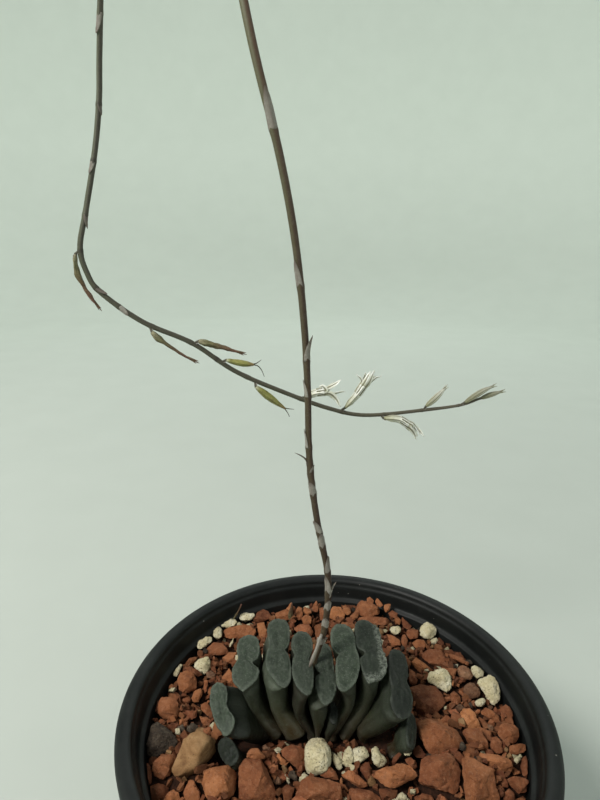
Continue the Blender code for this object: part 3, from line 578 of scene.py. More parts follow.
def mat_petal():
    """part.r foot to tip, part.g distance from the midrib, part.b 1 on buds."""
    p = Paint("white_petal")
    u, v, bud = (p.attr("part", k) for k in "rgb")
    white = p.ramp(p.noise(1.0, 4, 0.5), [(0.3, (0.70, 0.70, 0.62)), (0.7, (0.86, 0.86, 0.82))])
    foot = p.mix(p.ramp(u, [(0.0, 1.0), (0.50, 0.45), (0.76, 0.0)]), white, (0.33, 0.33, 0.20))
    foot = p.mix(p.math("MULTIPLY", bud, 0.90), foot, (0.122, 0.115, 0.060))
    rib = p.ramp(v, [(0.16, 1.0), (0.46, 0.0)])
    rib = p.math("MULTIPLY", rib, p.ramp(u, [(0.0, 0.95), (0.78, 0.85), (1.0, 0.25)]))
    base = p.mix(rib, foot, (0.080, 0.072, 0.032))
    veins = p.noise_1d(p.math("MULTIPLY", v, 4.0), 6.0)
    base = p.mix(p.ramp(veins, [(0.5, 0.0), (0.7, 0.25)]), base, (0.42, 0.42, 0.30))
    p.bump(veins, 0.35, 0.05)
    p.set(Base_Color=base, Roughness=0.6, Specular_IOR_Level=0.3, Subsurface_Weight=0.2,
          Subsurface_Radius=(1.0, 1.0, 0.7), Subsurface_Scale=0.0006)
    return p.m


def mat_stage():
    """Pale table and pale wall, a little lighter where less light reaches them."""
    p = Paint("pale_floor")
    n = p.noise(0.02, 3, 0.5)
    x, y, z = (p.math("MULTIPLY", p.xyz(k), 0.001) for k in "xyz")
    far = p.math("POWER", p.math("ADD", p.math("MULTIPLY", x, x), p.math("MULTIPLY", y, y)), 0.5)
    floor_ = p.ramp(n, [(0.3, (0.482, 0.518, 0.480)), (0.7, (0.496, 0.532, 0.494))])
    reach = p.ramp(p.math("MULTIPLY", far, 0.5), [(0.0, 0.93), (0.15, 1.0), (0.25, 1.09), (0.40, 1.26), (0.56, 1.50), (1.0, 1.56)])
    base = p.mix(1.0, floor_, p.grey(reach), "MULTIPLY")
    glow = p.ramp(z, [(0.06, 0.0), (0.40, 0.11), (0.80, 0.07)])
    p.set(Base_Color=base, Roughness=0.88, Specular_IOR_Level=0.12, Emission_Color=(0.52, 0.565, 0.51),
          Emission_Strength=p.attr_pick(glow))
    return p.m


# ================================================================ pot
def fillet(pts, radii, steps=4):
    """Rounds each inner corner of an open outline."""
    out = [pts[0]]
    for k in range(1, len(pts) - 1):
        p, a, b = Vector(pts[k]), Vector(pts[k - 1]), Vector(pts[k + 1])
        r = radii[k]
        if r <= 0.0:
            out.append(tuple(p))
            continue
        da, db = (a - p), (b - p)
        cut = min(r, 0.48 * da.length, 0.48 * db.length)
        q0, q1 = p + da.normalized() * cut, p + db.normalized() * cut
        for j in range(steps + 1):
            t = j / steps
            m = q0 * (1 - t) ** 2 + p * 2 * t * (1 - t) + q1 * t * t
            out.append(tuple(m))
    out.append(pts[-1])
    return out


def turned(name, prof, seg):
    """Closed turned mesh from an outline that starts and ends on the axis."""
    verts, faces = [], []
    rings = []
    for r, z in prof:
        if r < 1e-6:
            rings.append([len(verts)])
            verts.append((0.0, 0.0, z))
        else:
            base = len(verts)
            for k in range(seg):
                a = math.tau * k / seg
                verts.append((r * math.cos(a), r * math.sin(a), z))
            rings.append(list(range(base, base + seg)))
    for a, b in zip(rings, rings[1:]):
        for k in range(seg):
            k2 = (k + 1) % seg
            if len(a) == 1:
                faces.append((a[0], b[k], b[k2]))
            elif len(b) == 1:
                faces.append((a[k], b[0], a[k2]))
            else:
                faces.append((a[k], b[k], b[k2], a[k2]))
    me = bpy.data.meshes.new(name)
    me.from_pydata((np.array(verts) * MM).tolist(), [], faces)
    return outward(me)


def build_pot(mat):
    rp = RP
    pts = [(0.0, FLOOR_T), (WALL_BOT_R - 2.0, FLOOR_T), (WALL_BOT_R, FLOOR_T + 2.0),
           (WALL_TOP_R, rp - STEP_DROP - 0.8), (STEP_R - 0.3, rp - STEP_DROP),
           (STEP_R, rp - STEP_DROP + 0.7), (RIM_IN_R - 0.7, rp - 1.3)]
    rad = [0, 0.8, 1.5, 0.3, 0.35, 0.4, 0.6]
    cx, hw = 0.5 * (RIM_IN_R + POT_RIM_R), 0.5 * (POT_RIM_R - RIM_IN_R)
    for k in range(17):
        a = math.pi * (1.0 - k / 16.0)
        x, z = math.cos(a), math.sin(a)
        # a flat-topped roll with a soft shoulder on each side
        pts.append((cx + hw * math.copysign(abs(x) ** 0.92, x), rp - 0.35 + (RIM_TOP + 0.35) * z ** 0.85))
        rad.append(0)
    pts += [(POT_RIM_R - 0.15, rp - 3.0), (POT_RIM_R - 0.9, rp - SKIRT_DROP + 1.2),
            (POT_RIM_R - 0.75, rp - SKIRT_DROP + 0.6), (POT_RIM_R - 1.4, rp - SKIRT_DROP),
            (POT_RIM_R - 2.4, rp - SKIRT_DROP), (POT_RIM_R - 2.3, rp - 5.0),
            (WALL_TOP_R + WALL + 0.9, rp - 5.8)]
    rad += [0, 0.3, 0.3, 0.4, 0.3, 0.6, 0.3]
    z0 = rp - 10.0
    pts += [(inner_wall_r(z0) + WALL, z0)]
    rad += [0.4]
    # two shallow moulded lines low on the wall
    for z in (22.0, 19.0):
        r = inner_wall_r(z) + WALL
        pts += [(r, z + 0.5), (r + 0.28, z + 0.25), (r + 0.28, z - 0.25), (r - 0.02, z - 0.5)]
        rad += [0.15, 0.15, 0.15, 0.15]
    pts += [(FOOT_R_OUT + 0.4, 2.2), (FOOT_R_OUT, 0.5), (FOOT_R_OUT - 0.5, 0.0), (FOOT_R_IN, 0.0),
            (FOOT_R_IN - 1.0, RECESS), (HUB_R + 1.0, RECESS), (HUB_R, 0.0), (0.0, 0.0)]
    rad += [0.8, 0.3, 0.2, 0.25, 0.4, 0.4, 0.25, 0]
    # rows between far corners keep the faces short
    prof = fillet(pts, rad)
    fine = [prof[0]]
    for a, b in zip(prof, prof[1:]):
        n = max(1, int(math.dist(a, b) / 6.0))
        for j in range(1, n + 1):
            fine.append((a[0] + (b[0] - a[0]) * j / n, a[1] + (b[1] - a[1]) * j / n))
    me = turned("pot_body", fine, 176)
    pot = bpy.data.objects.new("pot_body_raw", me)
    bpy.context.scene.collection.objects.link(pot)
    bm = bmesh.new()
    for k in range(DRAIN_COUNT):
        a = math.tau * (k + 0.5) / DRAIN_COUNT
        at = Vector((math.cos(a), math.sin(a), 0.0)) * DRAIN_RING_R * MM
        bmesh.ops.create_cone(bm, cap_ends=True, segments=40, radius1=DRAIN_R * MM, radius2=DRAIN_R * MM,
                              depth=8 * MM, matrix=Matrix.Translation(at + Vector((0, 0, 1.5 * MM))))
    cut_me = bpy.data.meshes.new("drain_cut")
    bm.to_mesh(cut_me)
    bm.free()
    cut = bpy.data.objects.new("drain_cut", cut_me)
    bpy.context.scene.collection.objects.link(cut)
    mod = pot.modifiers.new("holes", "BOOLEAN")
    mod.operation, mod.solver, mod.object = "DIFFERENCE", "EXACT", cut
    bpy.context.view_layer.update()
    done = bpy.data.meshes.new_from_object(pot.evaluated_get(bpy.context.evaluated_depsgraph_get()))
    bpy.data.objects.remove(pot, do_unlink=True)
    bpy.data.objects.remove(cut, do_unlink=True)
    done.name = "pot_body"
    done.materials.clear()
    done.shade_smooth()
    done.set_sharp_from_angle(angle=math.radians(38))
    return new_piece("pot_body", done, mat, "pot_plastic", ["pot"])


def build_mix(mat):
    lo, hi = FLOOR_T + 0.5, RP + SOIL_TOP
    prof = [(0.0, hi + 0.8)]
    for k in range(1, 15):
        r = k / 15.0 * (inner_wall_r(hi) - 2.0)
        prof.append((r, hi + 0.8 - 0.8 * r / 54.0))
    prof += [(inner_wall_r(hi) - 1.2, hi - 1.2)]
    for k in range(1, 20):
        z = hi - 1.5 + (lo + 4.0 - hi + 1.5) * k / 19.0
        prof.append((inner_wall_r(z) - 0.9, z))
    prof += [(WALL_BOT_R - 3.6, lo + 0.4)]
    for k in range(1, 26):
        prof.append(((WALL_BOT_R - 3.6) * (1 - k / 25.0), lo))
    me = turned("potting_compost", prof, 96)
    for v in me.vertices:
        x, y, z = (c / MM for c in v.co)
        d = n3(x * 0.35, y * 0.35, z * 0.35) * 0.7 + n3(x * 0.9, y * 0.9, z * 0.9) * 0.5
        r = math.hypot(x, y)
        if z < lo + 1.0:
            v.co.z += max(0.0, 0.35 + d) * 1.3 * MM
        elif z > hi - 0.5:
            v.co.z += d * 0.8 * MM
        elif r > 1.0:
            k = 1.0 - max(0.0, 0.4 + d) * 0.8 / r
            v.co.x *= k
            v.co.y *= k
    me.shade_smooth()
    me.update()
    return new_piece("potting_compost", me, mat, "potting_mix", ["potting_mix"])


# ================================================================ camera
# mm from the rim's centre, looking down by PITCH and turned by ROLL; FOCAL is in pixels of a
# picture 600 wide and 800 high
CAM_AT = np.array([-12.1, -137.9, 139.1])
PITCH, ROLL, FOCAL = math.radians(17.73), math.radians(0.97), 577.8


def camera_axes():
    fwd = np.array([0.0, math.cos(PITCH), -math.sin(PITCH)])
    up = np.array([0.0, math.sin(PITCH), math.cos(PITCH)])
    right = np.array([1.0, 0.0, 0.0])
    return (fwd, right * math.cos(ROLL) + up * math.sin(ROLL), up * math.cos(ROLL) - right * math.sin(ROLL))


def seen(px, py, z):
    """Point at height z over the rim plane that shows at px, py of the picture."""
    f, r, u = camera_axes()
    d = f + r * ((px - 300.0) / FOCAL) - u * ((py - 400.0) / FOCAL)
    return CAM_AT + d * ((z - CAM_AT[2]) / d[2])


def seen_in_plane(px, py, y):
    """Point of the upright plane at y, in mm, that shows at px, py of the picture."""
    f, r, u = camera_axes()
    d = f + r * ((px - 300.0) / FOCAL) - u * ((py - 400.0) / FOCAL)
    return CAM_AT + d * ((y - CAM_AT[1]) / d[1])


# ================================================================ leaves
# name, face centre x y z, length, width, yaw, front-down tilt, outward lean, foot x, foot y,
# foot length, foot width, width of the body as a share of the face's, own shade
LEAVES = [
    ("leaf_01_low_left", -30.4, -14.8, -3.0, 10.4, 5.0, -38, 12, -34, -25.4, -12.6, 4.8, 2.4, 0.95, 0.12),
    ("leaf_02_far_left", -32.8, -8.2, 6.2, 15.6, 5.2, -16, 20, -18, -23.2, -2.4, 7.4, 2.3, 0.70, 0.42),
    ("leaf_03_left_outer", -26.9, 2.4, 12.0, 18.9, 7.0, -2, 14, -8, -17.4, -1.2, 9.4, 2.6, 0.66, 0.38),
    ("leaf_04_left_inner", -16.6, 4.6, 14.0, 23.0, 7.0, -5, 14, -4, -13.2, -1.0, 10.2, 3.2, 0.96, 0.33),
    ("leaf_05_left_centre", -9.8, 1.0, 14.0, 21.5, 5.2, -4, 14, -3, -9.3, -1.2, 10.2, 2.5, 0.84, 0.29),
    ("leaf_06_centre", -3.5, -0.8, 10.6, 18.0, 5.4, 0, 16, 0, -6.0, -2.0, 9.4, 2.3, 0.86, 0.31),
    ("leaf_07_young", -0.8, -4.6, 0.4, 6.6, 2.6, 0, 15, 4, -3.6, -2.8, 6.0, 1.4, 1.0, 0.08),
    ("leaf_08_right_centre", 3.0, 3.3, 14.0, 21.6, 6.4, 1, 14, 3, -0.9, -1.2, 10.2, 2.4, 0.66, 0.41),
    ("leaf_09_right_inner", 10.4, 5.5, 14.0, 21.0, 7.4, -3, 14, 5, 3.2, -1.0, 10.0, 2.6, 0.74, 0.20),
    ("leaf_10_right_outer", 18.9, -1.4, 9.4, 21.5, 6.0, 2, 16, 12, 8.2, -1.2, 9.2, 2.8, 0.84, 0.11),
    ("leaf_11_low_right", 21.2, -9.4, -0.6, 11.0, 4.6, 6, 20, 46, 16.0, -8.6, 5.2, 2.4, 0.95, 0.16),
]
# outline of each cut-off face on its own plane, (along, across) in mm, from the front tip:
# first round the right side to the back, then up the left side
FACES = {
    "leaf_02_far_left": (
        [(-8.8, -0.7), (-8.5, 0.5), (-7.2, 1.8), (-5.8, 2.4), (-4.2, 2.3), (-2.3, 1.7), (-0.4, 1.5), (1.1, 2.0),
         (2.8, 2.6), (4.8, 2.5), (6.3, 1.7), (7.4, 0.4)],
        [(-8.3, -1.5), (-6.8, -2.1), (-5.0, -2.8), (-2.7, -3.1), (-0.3, -3.2), (2.2, -3.2), (4.8, -2.5),
         (6.6, -1.6)]),
    "leaf_03_left_outer": (
        [(-9.4, -0.6), (-9.1, 0.0), (-8.4, 1.0), (-7.4, 2.2), (-6.3, 3.3), (-4.8, 3.9), (-2.9, 3.9), (-1.8, 3.0),
         (-0.5, 1.9), (0.0, 3.0), (0.7, 3.7), (2.0, 4.1), (4.0, 4.2), (6.5, 3.9), (8.1, 3.0), (9.1, 1.0)],
        [(-8.7, -1.5), (-7.3, -2.7), (-5.9, -3.7), (-4.0, -4.1), (-2.1, -4.1), (-0.5, -3.5), (0.6, -2.8),
         (1.6, -2.5), (3.7, -2.8), (5.8, -2.9), (7.4, -2.4), (8.7, -1.1)]),
    "leaf_04_left_inner": (
        [(-11.7, 0.0), (-11.4, 1.0), (-10.4, 1.9), (-8.6, 2.5), (-6.5, 2.8), (-4.5, 2.7), (-2.5, 2.5), (-0.7, 1.9),
         (0.2, 1.3), (0.9, 2.0), (1.9, 2.6), (3.6, 3.1), (6.4, 3.3), (9.0, 3.1), (10.7, 2.3), (11.8, 0.0)],
        [(-10.9, -1.3), (-9.5, -2.3), (-7.8, -3.4), (-6.1, -4.2), (-4.5, -4.7), (-2.5, -4.8), (-0.2, -4.4),
         (1.7, -3.7), (3.1, -3.5), (5.2, -3.7), (7.7, -3.7), (9.9, -3.2), (11.4, -1.9)]),
    "leaf_05_left_centre": (
        [(-10.9, 0.2), (-10.3, 1.3), (-8.7, 2.0), (-6.3, 2.5), (-3.6, 2.7), (-1.3, 2.4), (0.1, 1.7), (1.6, 2.4),
         (3.2, 3.1), (5.6, 3.3), (7.3, 3.1), (9.1, 2.1), (10.1, 0.4)],
        [(-10.5, -0.7), (-9.2, -1.7), (-7.6, -2.7), (-5.4, -3.4), (-3.3, -3.6), (-1.0, -3.4), (0.9, -3.1),
         (2.1, -2.6), (3.9, -3.2), (6.3, -3.2), (8.6, -2.4), (9.8, -1.1)]),
    "leaf_06_centre": (
        [(-9.2, -0.3), (-8.8, 0.7), (-7.7, 1.9), (-6.2, 2.7), (-4.5, 3.3), (-2.7, 3.4), (-0.2, 3.2), (2.2, 3.0),
         (4.8, 2.8), (7.4, 2.5), (9.4, 1.7), (10.3, 0.4)],
        [(-8.3, -1.2), (-6.6, -2.1), (-4.6, -2.6), (-2.2, -2.9), (-0.3, -2.6), (0.5, -1.1), (1.3, -2.6),
         (3.4, -3.0), (5.7, -2.7), (8.0, -2.0), (9.7, -1.1)]),
    "leaf_08_right_centre": (
        [(-11.4, -0.7), (-10.4, 0.8), (-9.1, 2.0), (-7.5, 2.9), (-5.6, 3.5), (-3.6, 3.9), (-1.0, 4.0), (0.9, 3.6),
         (2.9, 3.1), (5.0, 3.0), (7.4, 2.8), (9.5, 1.8), (10.8, 0.2), (11.0, -1.4)],
        [(-11.2, -2.0), (-9.8, -2.9), (-8.0, -3.2), (-5.5, -3.3), (-3.0, -3.2), (-1.0, -2.9), (0.0, -2.1),
         (0.9, -3.2), (2.2, -4.3), (4.9, -4.7), (7.8, -4.6), (9.7, -3.8), (10.7, -2.6)]),
    "leaf_09_right_inner": (
        [(-10.6, -1.4), (-10.0, 0.1), (-9.6, 1.4), (-8.6, 2.7), (-7.0, 3.8), (-4.8, 4.4), (-2.8, 4.4), (-0.5, 4.2),
         (1.2, 3.6), (2.9, 4.0), (5.0, 4.0), (7.5, 3.7), (9.2, 2.4), (10.6, 0.7), (10.9, -1.2)],
        [(-10.1, -2.2), (-8.6, -2.9), (-6.4, -3.3), (-4.5, -3.6), (-2.5, -3.3), (-1.5, -2.1), (-0.4, -1.9),
         (0.6, -3.7), (2.5, -4.1), (4.9, -4.1), (7.1, -4.1), (9.3, -3.6), (10.5, -2.6)]),
    "leaf_10_right_outer": (
        [(-11.4, 0.2), (-10.2, 1.9), (-7.9, 2.9), (-5.5, 3.3), (-3.5, 3.2), (-1.5, 2.6), (0.2, 1.9), (1.8, 2.2),
         (4.1, 2.4), (6.7, 2.2), (8.6, 1.6), (9.9, 0.2), (10.1, -1.6)],
        [(-11.2, -1.1), (-10.3, -2.4), (-8.5, -3.3), (-6.2, -3.5), (-4.1, -3.2), (-2.2, -3.1), (-0.5, -3.5),
         (2.0, -3.8), (4.2, -3.8), (6.9, -3.6), (9.1, -2.9)]),
}
# both edges of each leaf's body where it shows under its face: height down the picture, left and
# right place across it, in the upright plane given first
BODY_EDGES = {
    "leaf_02_far_left": (-9.5, [(690, 226, 240), (700, 228, 242), (710, 231, 245), (720, 234.5, 249), (730, 237, 254),
                                (738, 242, 260), (745, 248, 267), (752, 254, 273)]),
    "leaf_03_left_outer": (-6.0, [(691, 240, 258), (700, 241, 258.5), (710, 244.5, 260), (720, 249, 263),
                                  (728, 254, 268), (735, 261, 275), (742, 268, 284)]),
    "leaf_04_left_inner": (-6.0, [(690, 264, 290), (700, 265, 289), (710, 267, 288), (720, 270, 288), (727, 273, 294),
                                  (733, 277, 301), (740, 283, 307)]),
    "leaf_05_left_centre": (-6.0, [(697, 294, 309), (705, 293, 307), (712, 292.5, 306), (720, 294, 306.5),
                                   (727, 298, 309.5), (733, 304, 313), (738, 307, 317)]),
    "leaf_06_centre": (-7.0, [(706, 308, 324), (712, 308, 328), (718, 309.5, 328), (724, 311, 327), (731, 313, 325),
                              (738, 315, 321)]),
    "leaf_07_young": (-6.0, [(714, 330, 338), (722, 329, 338.5), (728, 327, 336), (735, 324, 332)]),
    "leaf_08_right_centre": (-6.0, [(692, 340, 357), (700, 342, 357.5), (710, 343, 357), (718, 340.5, 354.5),
                                    (725, 335, 350), (731, 330, 345), (738, 326, 338)]),
    "leaf_09_right_inner": (-6.0, [(684, 363, 383), (695, 363, 383), (705, 362.5, 381.5), (714, 360.5, 377.5),
                                   (722, 356.5, 373), (729, 351, 367), (736, 343, 359), (742, 338, 351)]),
    "leaf_10_right_outer": (-8.0, [(697, 389, 410), (708, 385, 408), (716, 381, 405), (724, 375.5, 400),
                                   (731, 370, 392), (738, 363, 383), (744, 356, 372)]),
}
AROUND = 96         # points round a leaf, half on each side
UP_RINGS = 40       # outlines from the foot to the face


def chain(pts, count):
    """Points spread on a smooth curve through an open chain, closer together at its ends."""
    d = smooth_route([(a, b, 0.0) for a, b in pts], 400)[:, :2]
    run = np.r_[0, np.cumsum(np.linalg.norm(np.diff(d, axis=0), axis=1))]
    w = run[-1] * (0.5 - 0.5 * np.cos(math.pi * np.linspace(0, 1, count))) * 0.35 + run[-1] * np.linspace(
        0, 1, count) * 0.65
    return np.stack([np.interp(w, run, d[:, k]) for k in range(2)], axis=1)


def face_outline(name, length, width):
    half = AROUND // 2
    if name in FACES:
        right, left = FACES[name]
        tip, back = right[0], right[-1]
        r = chain(list(right), half + 1)
        l = chain([tip] + list(left) + [back], half + 1)
        return np.vstack([r, l[-2:0:-1]])
    out = []
    for k in range(AROUND):
        a = math.tau * k / AROUND
        s, w = -math.cos(a), math.sin(a)
        w = math.copysign(max(0.0, 1.0 - abs(s) ** 2.4) ** (1 / 2.4), w) if abs(s) < 1 else 0.0
        out.append((s * length / 2, w * width / 2))
    return np.array(out)


def bezier(p0, p1, p2, p3, t):
    u = 1.0 - t
    return p0 * u ** 3 + p1 * 3 * u * u * t + p2 * 3 * u * t * t + p3 * t ** 3


def build_leaf(row, mat, seed):
    (name, x, y, z, length, width, yaw, tilt, lean, fx, fy, fl, fw, body, own) = row
    top = Vector((x, y, z + RP))
    foot = Vector((fx, fy, LEAF_BASE_Z + RP))
    ya, ti, le = math.radians(yaw), math.radians(tilt), math.radians(lean)
    normal = Vector((math.sin(le), -math.sin(ti) * math.cos(le), math.cos(ti) * math.cos(le))).normalized()
    h = top.z - foot.z
    p1 = foot + Vector((0.92 * (x - fx), 0.25 * (y - fy), 0.14 * h))
    p2 = top - normal * (0.44 * h)
    along0, along1 = Vector((0.0, 1.0, 0.0)), Vector((math.sin(ya), math.cos(ya), 0.0))
    rim = face_outline(name, length, width)
    mid = np.array([(rim[:, 0].max() + rim[:, 0].min()) / 2, (rim[:, 1].max() + rim[:, 1].min()) / 2])
    ang = np.arange(AROUND) * math.tau / AROUND
    oval = np.stack([-np.cos(ang), np.sin(ang)], axis=1)
    oval[:, 1] = np.sign(oval[:, 1]) * np.maximum(0, 1 - np.abs(oval[:, 0]) ** 4.2) ** (1 / 2.1)
    table = None
    if name in BODY_EDGES:
        plane, edge_rows = BODY_EDGES[name]
        table = []
        for py, pl, pr in edge_rows:
            ql, qr = seen_in_plane(pl, py, plane), seen_in_plane(pr, py, plane)
            table.append((0.5 * (ql[2] + qr[2]), 0.5 * (ql[0] + qr[0]), 0.5 * (qr[0] - ql[0])))
        table = np.array(sorted(table))
    # outward direction of the outline, for the rounded rim of the face
    step = np.roll(rim, -1, axis=0) - np.roll(rim, 1, axis=0)
    out = np.stack([step[:, 1], -step[:, 0]], axis=1)
    out /= np.maximum(1e-9, np.linalg.norm(out, axis=1))[:, None]
    if ((rim - mid) * out).sum() < 0:
        out = -out
    for _ in range(2):
        out = 0.5 * out + 0.25 * (np.roll(out, 1, axis=0) + np.roll(out, -1, axis=0))
    verts, dat, line = [], [], []

    def basis(t):
        c = bezier(foot, p1, p2, top, t)
        tan = bezier(foot, p1, p2, top, min(1.0, t + 0.01)) - bezier(foot, p1, p2, top, max(0.0, t - 0.01))
        tan.normalize()
        if t > 0.999:
            tan = normal
        tan = tan.lerp(Vector((0, 0, 1)), 0.5 * max(0.0, 1.0 - t / 0.3)).normalized()
        a = along0.lerp(along1, t)
        a = (a - tan * a.dot(tan)).normalized()
        return c, a, a.cross(tan).normalized(), tan

    wide = 0.5 * width
    for k in range(UP_RINGS):
        t = 0.975 * (k / (UP_RINGS - 1)) ** 0.92
        c, a, b, tan = basis(t)
        g = smoothstep(t)
        hl = 0.5 * (fl + (length - fl) * g)
        low, upw = min(1.0, t / 0.45), max(0.0, (t - 0.78) / 0.22)
        hw = 0.5 * (fw + (width * body - fw) * smoothstep(low))
        if table is not None:
            zf = c.z - RP - 0.75 * hl * a.z
            f = smoothstep((t - 0.80) / 0.19)
            c = c.copy()
            slant = a.x / a.y * (plane - c.y)
            c.x += (float(np.interp(zf, table[:, 0], table[:, 1])) - slant - c.x) * (1.0 - f)
            hw = float(np.interp(zf, table[:, 0], table[:, 2]))
            hw += (wide - hw) * f
        else:
            hw += (wide - hw) * smoothstep(upw)
        m = smoothstep((t - 0.66) / 0.31)
        shape = rim * np.array([hl / (0.5 * length), hw / wide])
        ring = oval * np.array([hl, hw])
        if table is not None and name != "leaf_02_far_left":
            # the body grows wider to the back and fills the room beside its neighbours
            back = np.clip((oval[:, 0] + 0.25) / 0.8, 0.0, 1.0)
            ring[:, 1] += np.sign(oval[:, 1]) * np.minimum(1.0, np.abs(oval[:, 1]) * 2.5) * 0.85 * back * back * (3 - 2 * back)
        ring = ring * (1 - m) + shape * m
        # small hollow under the lip of the face
        lip = math.exp(-((t - 0.93) / 0.05) ** 2) * 0.22
        ring = ring - out * lip * m
        for i in range(AROUND):
            s, w = ring[i]
            p = c + a * float(s) + b * float(w)
            q = p * 0.16
            bump = n3(q.x + seed, q.y, q.z) * 0.26 + n3(p.x * 0.55, p.y * 0.55, p.z * 0.2 + seed) * 0.12
            bump += n3(p.x * 1.5, p.y * 1.5, p.z * 0.8 + seed) * 0.05
            # low ribs that run up the side of the leaf
            rib = math.cos(oval[i][0] * 9.0 + seed) * 0.05 * math.sin(math.pi * min(1.0, t / 0.9))
            p = p + (a * float(out[i][0]) + b * float(out[i][1])) * ((bump + rib) * min(1.0, t * 4.0) * (1 - 0.5 * m))
            verts.append(p)
            dat.append((0.0, 0.0, t, 0.0))
            line.append((float(oval[i][0]) * 0.5 + 0.5 + 0.02 * n3(p.x * 0.2, p.y * 0.2, p.z * 0.2), 0, 0, 0))
    c, a, b, tan = basis(1.0)
    e = 0.34
    for phi in (-50, -20, 10, 38, 64, 86):
        f = math.radians(phi)
        for i in range(AROUND):
            s, w = rim[i] + out[i] * (e * (math.cos(f) - 1.0))
            wob = n3(rim[i][0] * 0.9 + seed, rim[i][1] * 0.9, 2.0) * 0.16
            wob += n3(rim[i][0] * 2.4 + seed, rim[i][1] * 2.4, 6.0) * 0.11
            p = c + a * float(s + out[i][0] * wob) + b * float(w + out[i][1] * wob) + tan * (e * math.sin(f))
            verts.append(p)
            k = smoothstep((phi + 60) / 80.0)
            dat.append((k, 1.0 if phi > -30 else 0.5, 1.0, 0.0))
            line.append((float(oval[i][0]) * 0.5 + 0.5, 0, 0, 0))
    inner = rim - out * e
    groove = 1.0 if name == "leaf_02_far_left" else 0.35
    shares = [0.985, 0.96, 0.925, 0.88, 0.825, 0.76, 0.69, 0.61, 0.53, 0.45, 0.37, 0.29, 0.21, 0.13, 0.06]
    for sh in shares:
        rise = 0.34 + 0.30 * (1.0 - sh ** 2.2)
        for i in range(AROUND):
            d = inner[i] - mid
            s, w = mid + d * sh
            swell = n3(s * 0.28 + seed, w * 0.28, 5.0) * 0.42 + n3(s * 0.8, w * 0.8 + seed, 1.0) * 0.20
            swell += n3(s * 2.0, w * 2.0 + seed, 3.0) * 0.10
            swell *= smoothstep((1.0 - sh) / 0.12)
            dent = groove * 0.38 * math.exp(-((w - mid[1] - 0.3 * math.sin(s * 0.4)) / 0.55) ** 2) * smoothstep(
                (0.80 - abs(s - mid[0]) / (0.5 * length)) / 0.3)
            p = c + a * float(s) + b * float(w) + tan * float(rise + swell - dent * smoothstep((1.0 - sh) / 0.2))
            verts.append(p)
            near = smoothstep((sh - 0.86) / 0.13)
            dat.append((1.0, near, 1.0, 0.0))
            line.append((0.5, 0, 0, 0))
    rows = len(verts) // AROUND
    faces = []
    for r in range(rows - 1):
        for i in range(AROUND):
            j = (i + 1) % AROUND
            faces.append((r * AROUND + i, r * AROUND + j, (r + 1) * AROUND + j, (r + 1) * AROUND + i))
    verts.append(bezier(foot, p1, p2, top, 0.0))
    dat.append((0, 0, 0, 0)); line.append((0.5, 0, 0, 0))
    mm_ = c + a * float(mid[0]) + b * float(mid[1]) + tan * 0.76
    tip = sum((verts[(rows - 1) * AROUND + i] for i in range(AROUND)), Vector()) / AROUND
    verts.append(tip)
    dat.append((1, 0, 1, 0)); line.append((0.5, 0, 0, 0))
    for i in range(AROUND):
        j = (i + 1) % AROUND
        faces.append((len(verts) - 2, j, i))
        faces.append((len(verts) - 1, (rows - 1) * AROUND + i, (rows - 1) * AROUND + j))
    V = np.array([tuple(v) for v in verts])
    D = np.array(dat)
    if name == "leaf_09_right_inner":
        # warty, whitish rim along the right side and the front of this face
        nb = np.array(b), np.array(a)
        for i in range(len(V)):
            if D[i, 0] < 0.5:
                continue
            rel = V[i] - np.array(c)
            s, w = rel.dot(nb[1]), rel.dot(nb[0])
            near = max(smoothstep((w - 1.2) / 1.6), smoothstep((-s - 6.6) / 2.0))
            if near > 0:
                wart = max(0.0, n3(s * 1.25, w * 1.25, 7.0) + 0.12) * 0.75 * near * (0.35 + 0.65 * D[i, 1])
                V[i] += np.array(tan) * wart + np.array(b) * wart * 0.4
                D[i, 3] = near
    if name in ("leaf_03_left_outer", "leaf_10_right_outer", "leaf_04_left_inner"):
        for i in range(len(V)):
            if D[i, 1] > 0.4:
                D[i, 3] = 0.55 * max(0.0, n3(V[i][0] * 0.5, V[i][1] * 0.5, 3.0))
    me = mesh_mm(name + "_skin", V, faces, True)
    outward(me)
    put(me, "leaf", D)
    put(me, "line", np.array(line))
    body_own = {"leaf_01_low_left": (0.42, 0.0), "leaf_02_far_left": (0.26, 0.0), "leaf_03_left_outer": (0.85, 0.10),
                "leaf_04_left_inner": (1.20, 0.0), "leaf_05_left_centre": (0.60, 0.70), "leaf_06_centre": (0.90, 0.20),
                "leaf_07_young": (0.60, 0.3), "leaf_08_right_centre": (0.90, 0.35), "leaf_09_right_inner": (0.80, 0.10),
                "leaf_10_right_outer": (0.62, 0.0), "leaf_11_low_right": (0.75, 0.0)}[name]
    put(me, "own", np.tile(np.array([[own, body_own[0], body_own[1]]]), (len(V), 1)))
    new_piece(name + "_skin", me, mat, "leaf", [name])
    return V, faces


# ================================================================ short stem of the rosette
def build_stem_base(mat):
    bm = bmesh.new()
    bmesh.ops.create_icosphere(bm, subdivisions=5, radius=1.0)
    for v in bm.verts:
        d = 1.0 + 0.05 * n3(v.co.x * 6, v.co.y * 6, v.co.z * 6)
        v.co = Vector(((v.co.x * 19.0 * d - 5.0) * MM, (v.co.y * 6.5 * d - 1.8) * MM,
                       (RP + LEAF_BASE_Z - 4.7 + v.co.z * 2.6) * MM))
    me = bpy.data.meshes.new("rosette_stem")
    bm.to_mesh(me)
    bm.free()
    me.shade_smooth()
    return new_piece("rosette_stem", me, mat, "stem_base", ["stem_base"])


# ================================================================ stones
BALL = {}


